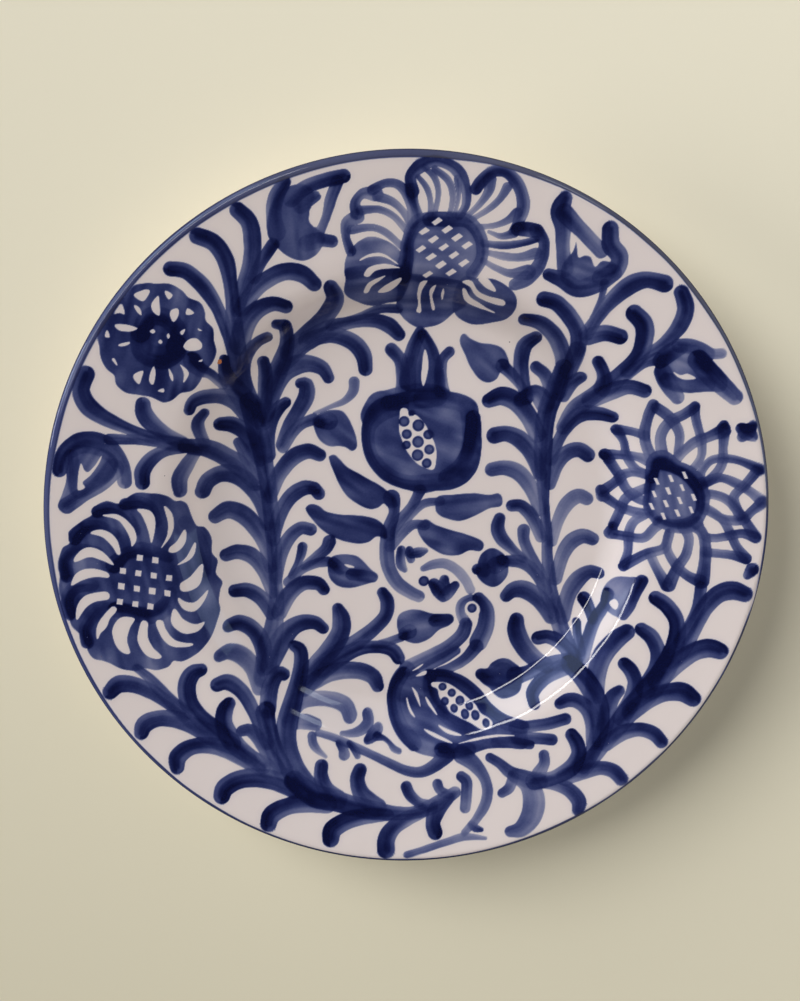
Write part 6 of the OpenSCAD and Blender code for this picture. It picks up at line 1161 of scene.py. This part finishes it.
def face_rows(radii, below=0.0):
    """Rows of the face at some radii, or of a copy of it lying below mm under it."""
    def row(r):
        return lambda theta: (np.full_like(theta, r),
                              face_z(r) + swell(r * np.cos(theta), r * np.sin(theta)) - below)

    return [row(r) if r > 0 else (0, float(face_z(0) + swell(0, 0)) - below) for r in radii]


def painted_skin(name, order):
    """The mesh of one motif: a thin closed skin on the lattice, cut to the motif's outline."""
    depth = np.minimum(depths[name], 149.0 - R)    # no paint beyond the crown of the lip
    for other in BESIDE.get(name, []):
        depth = np.minimum(depth, -depths[other])
    margin = 0.55    # the skin reaches this far past the paint, where it is bare glaze
    mid = (depth[:-1, :-1] + depth[1:, :-1] + depth[:-1, 1:] + depth[1:, 1:]) / 4
    cell = mid > -margin
    jj, ii = np.nonzero(cell)
    n = 2 * HALF + 1
    corner = np.stack([jj * n + ii, jj * n + ii + 1, (jj + 1) * n + ii + 1, (jj + 1) * n + ii], 1)
    used, quads = np.unique(corner, return_inverse=True)
    quads = quads.reshape(-1, 4)
    x, y = X.ravel()[used].copy(), Y.ravel()[used].copy()
    # the outline: points with fewer than four cells slide onto the edge of the skin
    border = np.bincount(quads.ravel(), minlength=len(used)) < 4
    gy, gx = np.gradient(depth, H)
    g = np.hypot(gx, gy) + 1e-6
    reach = 0.6 * H
    move = np.clip(-margin - depth, -reach, reach)
    x[border] += (gx / g * move).ravel()[used][border]
    y[border] += (gy / g * move).ravel()[used][border]
    amount = sample(cobalt, x, y)
    base = face_z(np.hypot(x, y)) + swell(x, y)
    top = base + skin_height(amount) + LAYER_STEP * order
    count = len(used)
    verts = np.concatenate([np.stack([x, y, top], 1), np.stack([x, y, base - SUNK], 1)])
    faces = quads.tolist() + (quads[:, ::-1] + count).tolist()
    # the wall between the two sides stands on the edges that only one cell has
    ends = np.roll(quads, -1, 1)
    code = (quads.astype(np.int64) * count + ends).ravel()
    back = (ends.astype(np.int64) * count + quads).ravel()
    open_edges = code[~np.isin(code, back)]
    e0, e1 = open_edges // count, open_edges % count
    faces += np.stack([e1, e0, e0 + count, e1 + count], 1).tolist()
    sides = np.repeat([1.0, -1.0], count)
    return make_object("painted_" + name, verts, faces, np.concatenate([amount, amount]),
                       face_normals(verts[:, 0], verts[:, 1], sides))


# ---------------------------------------------------------------- pieces
# a glaze skin is a little thinner than the glaze, so that its inner side never meets the clay
SKIN_T = 0.36
FACE_TURNS, BACK_TURNS, LIP_TURNS = 540, 360, 1440    # how many sides a turned surface has

radii_face = np.unique(np.round(np.concatenate([
    np.linspace(0, 80, 48), np.linspace(80, 106, 50), np.linspace(106, LIP_C[0], 32)]), 3))
verts, faces = turned(
    face_rows(radii_face) + face_rows(np.append(radii_face[::-3], 0), SKIN_T), FACE_TURNS)
middle = face_z(np.hypot(verts[:, 0], verts[:, 1])) - SKIN_T / 2
top_side = np.where(verts[:, 2] > middle, 1.0, -1.0)
face_glaze = make_object("glazed_face", verts, faces, sample(halo, verts[:, 0], verts[:, 1]),
                         face_normals(verts[:, 0], verts[:, 1], top_side))
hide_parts("face_glaze")


def ridges(r, theta):
    """Shallow throwing ridges on the back."""
    return 0.07 * np.sin(r * 0.9 + 0.4 * np.sin(theta)) + 0.05 * turn_noise(theta, 12, 41)


BACK_LINE = rounded([(r, z - GLAZE_T) for r, z in BACK], 1.2, 0.2)
RECESS_LINE = rounded([(r, z - GLAZE_T) for r, z in RECESS], 1.0, 0.2)


def skin_rows(line, count):
    """Rows of a closed skin: its outer side along a line in count rows, then back along its
    inner side in a third of them."""
    k = np.linspace(0, len(line) - 1, count).astype(int)
    outer = [(line[i, 0], line[i, 1]) for i in k]

    def row(r, z, t, wave):
        if r < 0.01:
            return (0, z + t)
        return lambda theta: (np.full_like(theta, r), z + t + wave * ridges(r, theta))

    n = len(outer)
    fade = [min(1, i / 4, (n - 1 - i) / 4) for i in range(n)]    # no ridges at the two ends
    rows = [row(r, z, 0, f) for (r, z), f in zip(outer, fade)]
    return rows + [row(r, z, SKIN_T, 0) for r, z in outer[::-3]]


verts, faces = turned(skin_rows(BACK_LINE, 90), BACK_TURNS)
back_glaze = make_object("glazed_back", verts, faces)
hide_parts("back_glaze")

# known fault: the two points of the inner side stand in the wrong order, so the skin crosses its
# own outer side near the axis and near the rim, which shows from below as dark arcs
recess_rows = skin_rows(RECESS_LINE, 60)[:60] + [(70.4, 5.16), (0, 5.56)]
verts, faces = turned(recess_rows, BACK_TURNS)
recess_glaze = make_object("glazed_foot_recess", verts, faces)
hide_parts("foot_recess_glaze")

clay_line = ([(r, z - GLAZE_T) for r, z in FACE[:-1]] + arc(LIP_R - GLAZE_T, 90, -90, 10)
             + BACK[1:])
foot_line = rounded(BACK[-1:] + FOOT + RECESS[:1], 0.3, 0.1)[::4]
verts, faces = turned(clay_line + foot_line[1:].tolist() + RECESS[1:], BACK_TURNS)
clay = make_object("clay_with_foot_ring", verts, faces)
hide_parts("clay_body")

# the band: a skin on the face from inside its wavy edge, thickening into the rounded lip
LIP_START = 145.4          # radius of its inner edge, inside every wave of the band
BAND_LIFT = 0.0012         # keeps its outer side clear of the glazed face
lip_outer = rounded(FACE + arc(LIP_R, 88, -90, 40), 0.5, 0.1)
lip_outer = lip_outer[lip_outer[:, 0] > LIP_START][::3]
# a second row close behind the first keeps the skin's edge from shading as a line
lip_outer = np.insert(lip_outer, 1, lip_outer[0] + 0.05 * (lip_outer[1] - lip_outer[0]), 0)


def on_face(r, z):
    """Whether a point of the lip is on the face rather than on its rounded outside."""
    return r < LIP_C[0] and z > LIP_C[1]


def lip_inside(r, z):
    """The point of the band's inner side that lies behind a point of its outer side."""
    if on_face(r, z):
        return r, z - 0.14
    d = math.hypot(r - LIP_C[0], z - LIP_C[1])
    return (LIP_C[0] + (r - LIP_C[0]) * (d - SKIN_T) / d,
            LIP_C[1] + (z - LIP_C[1]) * (d - SKIN_T) / d)


def lip_row(r, z):
    """A row of the band's outer side: paint stands up on the face, and is even outside."""
    def row(theta):
        x, y = r * np.cos(theta), r * np.sin(theta)
        lift = skin_height(sample(cobalt, x, y)) if on_face(r, z) else 0.02
        return np.full_like(theta, r), z + swell(x, y) + lift + BAND_LIFT

    return row


lip_inner = [lip_inside(r, z) for r, z in lip_outer]
verts, faces = turned([lip_row(r, z) for r, z in lip_outer] + lip_inner[::-3], LIP_TURNS)
theta = np.arctan2(verts[:, 1], verts[:, 0])
radius = np.hypot(verts[:, 0], verts[:, 1])
CREST = 149                # radius that stands for all of the outside in the band's formulas
outside = (radius > 148.5) | (verts[:, 2] < 33)
# the paint ends 0.6 mm further down than a drop taken from the crown itself would put it
drop = FACE[-1][1] - verts[:, 2] - 0.6
amount = np.where(outside, band_amount(np.maximum(radius, CREST), theta, drop),
                  sample(cobalt, verts[:, 0], verts[:, 1]))
lip_band = make_object("banded_lip", verts, faces, amount,
                       grey=band_grey(np.where(outside, CREST, radius), theta))
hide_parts("lip_band")

painted = []
for order, name in enumerate(MOTIFS):
    piece = painted_skin(name, order)
    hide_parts(name)
    painted.append(piece)
pieces = [face_glaze, back_glaze, recess_glaze, lip_band, clay] + painted

# ---------------------------------------------------------------- materials
WHITE = (0.795, 0.70, 0.66)              # the bare tin glaze
DEPTH_PER_COBALT = (4.70, 4.08, 2.27)    # how fast red, green and blue die away with cobalt
GREY = (0.135, 0.13, 0.135)              # the band where it is thin
SPECK = (0.09, 0.06, 0.06)
CHIP = (-0.077, 0.0652, 0.0257)          # where the chip is, on the wall at the upper left
CHIPPED = (0.50, 0.17, 0.06)             # the clay in it


def add(tree, kind, **values):
    """A new node with some of its properties set."""
    node = tree.nodes.new(kind)
    for key, value in values.items():
        setattr(node, key, value)
    return node


def surface(name, roughness):
    """A new material: itself, its node tree, its shader and the coordinates of its object."""
    mat = bpy.data.materials.new(name)
    mat.use_nodes = True
    tree = mat.node_tree
    tree.nodes.clear()
    out = add(tree, "ShaderNodeOutputMaterial")
    bsdf = add(tree, "ShaderNodeBsdfPrincipled")
    bsdf.inputs["Roughness"].default_value = roughness
    tree.links.new(bsdf.outputs[0], out.inputs[0])
    return mat, tree, bsdf, add(tree, "ShaderNodeTexCoord").outputs["Object"]


def maths(tree, operation, a, b=None, c=None):
    """The outcome of a maths node on links and plain numbers."""
    node = add(tree, "ShaderNodeMath", operation=operation)
    for socket, value in zip(node.inputs, (a, b, c)):
        if value is None:
            continue
        if isinstance(value, (int, float)):
            socket.default_value = value
        else:
            tree.links.new(value, socket)
    return node.outputs[0]


def noise(tree, coords, pitch_mm, detail=2.0, rough=0.5):
    """Noise from 0 to 1 with swells about a pitch wide."""
    node = add(tree, "ShaderNodeTexNoise")
    tree.links.new(coords, node.inputs["Vector"])
    node.inputs["Scale"].default_value = 1 / (pitch_mm * MM)
    node.inputs["Detail"].default_value = detail
    node.inputs["Roughness"].default_value = rough
    return node.outputs["Fac"]


def mix_colour(tree, fac, a, b):
    """Colour a, going over to colour b as fac rises to 1."""
    node = add(tree, "ShaderNodeMix", data_type="RGBA")
    for socket, value in ((node.inputs[0], fac), (node.inputs[6], a), (node.inputs[7], b)):
        if isinstance(value, tuple):
            socket.default_value = (*value, 1)
        elif isinstance(value, float):
            socket.default_value = value
        else:
            tree.links.new(value, socket)
    return node.outputs[2]


def dots(tree, coords, pitch_mm, size_mm, keep):
    """1 inside small round spots: one in each cell of a pitch, of which only some are kept."""
    node = add(tree, "ShaderNodeTexVoronoi", feature="F1")
    tree.links.new(coords, node.inputs["Vector"])
    node.inputs["Scale"].default_value = 1 / (pitch_mm * MM)
    near = maths(tree, "LESS_THAN", node.outputs["Distance"], size_mm / pitch_mm)
    split = add(tree, "ShaderNodeSeparateColor")
    tree.links.new(node.outputs["Color"], split.inputs[0])
    return maths(tree, "MULTIPLY", near, maths(tree, "LESS_THAN", split.outputs[0], keep))


def bump(tree, height, strength, distance_mm, under=None):
    """A normal that follows a height, on top of another bump if there is one."""
    node = add(tree, "ShaderNodeBump")
    node.inputs["Strength"].default_value = strength
    node.inputs["Distance"].default_value = distance_mm * MM
    tree.links.new(height, node.inputs["Height"])
    if under is not None:
        tree.links.new(under, node.inputs["Normal"])
    return node.outputs[0]


def glaze(name, greyed=False):
    """Tin glaze, with as much cobalt in it as the surface's own cobalt attribute says."""
    mat, tree, bsdf, coords = surface(name, 0.06)
    link = tree.links.new
    amount = add(tree, "ShaderNodeAttribute", attribute_name="cobalt").outputs["Fac"]
    # fine uneven settling of the pigment
    grain = maths(tree, "MULTIPLY_ADD", noise(tree, coords, 0.9, 3.0, 0.6), 0.22, 0.89)
    amount = maths(tree, "MULTIPLY", amount, grain)
    # pinholes, where most of it is missing
    pin = maths(tree, "MULTIPLY", dots(tree, coords, 5.0, 0.13, 0.30), 0.7)
    amount = maths(tree, "MULTIPLY", amount, maths(tree, "SUBTRACT", 1.0, pin))
    # light left after passing the cobalt, by colour
    joined = add(tree, "ShaderNodeCombineColor")
    tint = noise(tree, coords, 45, 1.0)
    for base, fall, socket in zip(WHITE, DEPTH_PER_COBALT, joined.inputs):
        left = maths(tree, "EXPONENT", maths(tree, "MULTIPLY", amount, -fall))
        shade = maths(tree, "MULTIPLY_ADD", tint, 0.05 * base, 0.975 * base)
        link(maths(tree, "MULTIPLY", left, shade), socket)
    colour = joined.outputs[0]
    if greyed:
        grey = add(tree, "ShaderNodeAttribute", attribute_name="grey").outputs["Fac"]
        colour = mix_colour(tree, grey, colour, GREY)
    specks = maths(tree, "MULTIPLY", dots(tree, coords, 13.0, 0.30, 0.34), 0.75)
    colour = mix_colour(tree, specks, colour, SPECK)
    # one small chip through to the clay, with a ragged edge
    apart = add(tree, "ShaderNodeVectorMath", operation="DISTANCE")
    link(coords, apart.inputs[0])
    apart.inputs[1].default_value = CHIP
    ragged = maths(tree, "MULTIPLY", noise(tree, coords, 0.8), 1.2 * MM)
    chip = maths(tree, "LESS_THAN", maths(tree, "ADD", apart.outputs["Value"], ragged), 1.55 * MM)
    link(mix_colour(tree, chip, colour, CHIPPED), bsdf.inputs["Base Color"])
    bsdf.inputs["IOR"].default_value = 1.5
    # orange-peel and slow waves of the glaze
    fine = bump(tree, noise(tree, coords, 1.6, 2.0), 0.12, 0.06)
    slow = bump(tree, noise(tree, coords, 14, 1.0), 0.6, 0.4, fine)
    link(slow, bsdf.inputs["Normal"])
    return mat


def earthenware(name):
    """Bare fired clay, darker where the ring has rubbed on tables."""
    mat, tree, bsdf, coords = surface(name, 0.82)
    link = tree.links.new
    place = add(tree, "ShaderNodeSeparateXYZ")
    link(coords, place.inputs[0])
    worn = maths(tree, "LESS_THAN", place.outputs[2], 0.3 * MM)
    colour = mix_colour(tree, noise(tree, coords, 6, 4.0), (0.46, 0.24, 0.13), (0.62, 0.38, 0.24))
    colour = mix_colour(tree, maths(tree, "MULTIPLY", worn, 0.45), colour, (0.30, 0.18, 0.12))
    colour = mix_colour(tree, dots(tree, coords, 2.2, 0.25, 0.5), colour, (0.20, 0.11, 0.08))
    link(colour, bsdf.inputs["Base Color"])
    link(bump(tree, noise(tree, coords, 0.7, 4.0, 0.7), 0.6, 0.3), bsdf.inputs["Normal"])
    return mat


tin_glaze = glaze("tin_glaze")
cobalt_glaze = glaze("cobalt_in_glaze")
band_glaze = glaze("band_in_glaze", greyed=True)
for piece, mat in [(face_glaze, tin_glaze), (back_glaze, tin_glaze), (recess_glaze, tin_glaze),
                   (lip_band, band_glaze), (clay, earthenware("earthenware"))]:
    piece.data.materials.append(mat)
for piece in painted:
    piece.data.materials.append(cobalt_glaze)
for piece in pieces:
    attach(piece, "root")

# ---------------------------------------------------------------- floor, light and camera
FLOOR = 4                  # metres from the middle of the floor to each side
floor_mesh = bpy.data.meshes.new("floor")
corners = [(FLOOR * x, FLOOR * y, 0) for x, y in ((-1, -1), (1, -1), (1, 1), (-1, 1))]
floor_mesh.from_pydata(corners, [], [(0, 1, 2, 3)])
floor = bpy.data.objects.new("floor", floor_mesh)
bpy.context.scene.collection.objects.link(floor)
floor_mat, tree, bsdf, coords = surface("floor", 0.9)
across = add(tree, "ShaderNodeSeparateXYZ")
tree.links.new(coords, across.inputs[0])
# painted light: the floor's colour runs from darker at the front to paler at the back, and a little
# to the right, standing in for light falling off across it
slant = maths(tree, "MULTIPLY_ADD", across.outputs[0], 0.4, across.outputs[1])
falloff_fac = maths(tree, "MULTIPLY_ADD", slant, 1.2, 0.5)
falloff_fac.node.use_clamp = True
floor_painted_light = mix_colour(tree, falloff_fac, (0.57, 0.55, 0.43), (0.87, 0.86, 0.73))
tree.links.new(floor_painted_light, bsdf.inputs["Base Color"])
floor.data.materials.append(floor_mat)
floor.visible_glossy = False    # the glaze mirrors the room, not the bare floor

plate_only = bpy.data.collections.new("plate_only")
for piece in pieces:
    plate_only.objects.link(piece)
floor_only = bpy.data.collections.new("floor_only")
floor_only.objects.link(floor)

SKY = (0.56, 0.74, 1.0)
WARM = (1.0, 0.95, 0.90)


def round_plate(azimuth, elevation, distance):
    """A place round the plate, from degrees and metres."""
    a, e = math.radians(azimuth), math.radians(elevation)
    return Vector((distance * math.cos(e) * math.cos(a), distance * math.cos(e) * math.sin(a),
                   distance * math.sin(e)))


def hang(name, kind, place, energy, colour):
    """A lamp at a place, turned to the plate: its object and its data."""
    data = bpy.data.lights.new(name, kind)
    data.energy = energy
    data.color = colour
    obj = bpy.data.objects.new(name, data)
    bpy.context.scene.collection.objects.link(obj)
    obj.location = place
    obj.rotation_euler = (-place).to_track_quat("-Z", "Y").to_euler()
    return obj, data


def light(name, place, size, power, colour, lighting=True):
    """A soft rectangular light on the plate alone, so the floor under it stays even. One that
    isn't lighting shows in the glaze and nowhere else."""
    obj, data = hang(name, "AREA", place, power, colour)
    data.shape = "RECTANGLE"
    data.size, data.size_y = size
    obj.visible_diffuse = lighting
    obj.visible_camera = False
    obj.light_linking.receiver_collection = plate_only


def fill(name, azimuth, elevation, strength, shadow=True, only=None):
    """Even light from one side of the room, which doesn't show in the glaze."""
    obj, data = hang(name, "SUN", round_plate(azimuth, elevation, 2.0), strength, WARM)
    data.angle = math.radians(35)
    data.use_shadow = shadow
    obj.visible_glossy = False
    if only:
        obj.light_linking.receiver_collection = only


light("window", round_plate(142, 22, 2.0), (1.9, 1.6), 15, SKY)
light("window_top", round_plate(142, 50, 2.0), (1.8, 0.14), 10.3, (1.0, 0.98, 0.96))
light("window_pane", round_plate(135, 15, 1.95), (0.5, 0.25), 2.8, (0.68, 0.84, 1.0))
light("far_window", round_plate(56, 34, 1.9), (0.35, 0.5), 1.6, (0.85, 0.93, 1.0))
light("pale_wall", round_plate(10, 15, 2.0), (1.2, 0.8), 3.0, SKY)
light("lip_gleam", round_plate(168, 2.5, 1.9), (0.6, 0.12), 6.0, (0.9, 0.95, 1.0), lighting=False)
fill("left_fill", 185, 14, 1.40)
fill("top_left_fill", 138, 16, 1.12)
fill("right_fill", 22, 31, 0.68, shadow=False)
fill("lower_right_fill", 330, 30, 0.86, shadow=False)
fill("floor_light", 142, 38, 2.2, only=floor_only)

world = bpy.data.worlds.new("room")
world.use_nodes = True
bpy.context.scene.world = world
room = world.node_tree
back = room.nodes["Background"]
back.inputs[0].default_value = (1.0, 0.98, 0.96, 1)
seen = add(room, "ShaderNodeLightPath").outputs["Is Camera Ray"]
# the room lights little, but the camera sees it as a pale wall
room.links.new(maths(room, "MULTIPLY_ADD", seen, 0.6, 0.06), back.inputs[1])

camera_data = bpy.data.cameras.new("camera")
camera_data.sensor_width = 36    # mm, as the lens
camera_data.lens = 53.95
camera = bpy.data.objects.new("camera", camera_data)
bpy.context.scene.collection.objects.link(camera)
place = Vector((-0.02496, 0.12426, 0.63955))
target = Vector((-0.00261, 0.00236, 0))
ahead = (target - place).normalized()
right = ahead.cross(Vector((0, 1, 0))).normalized()
up = right.cross(ahead)
camera.matrix_world = Matrix.Translation(place) @ Matrix((right, up, -ahead)).transposed().to_4x4()
bpy.context.scene.camera = camera
bpy.context.scene.view_settings.view_transform = "Standard"
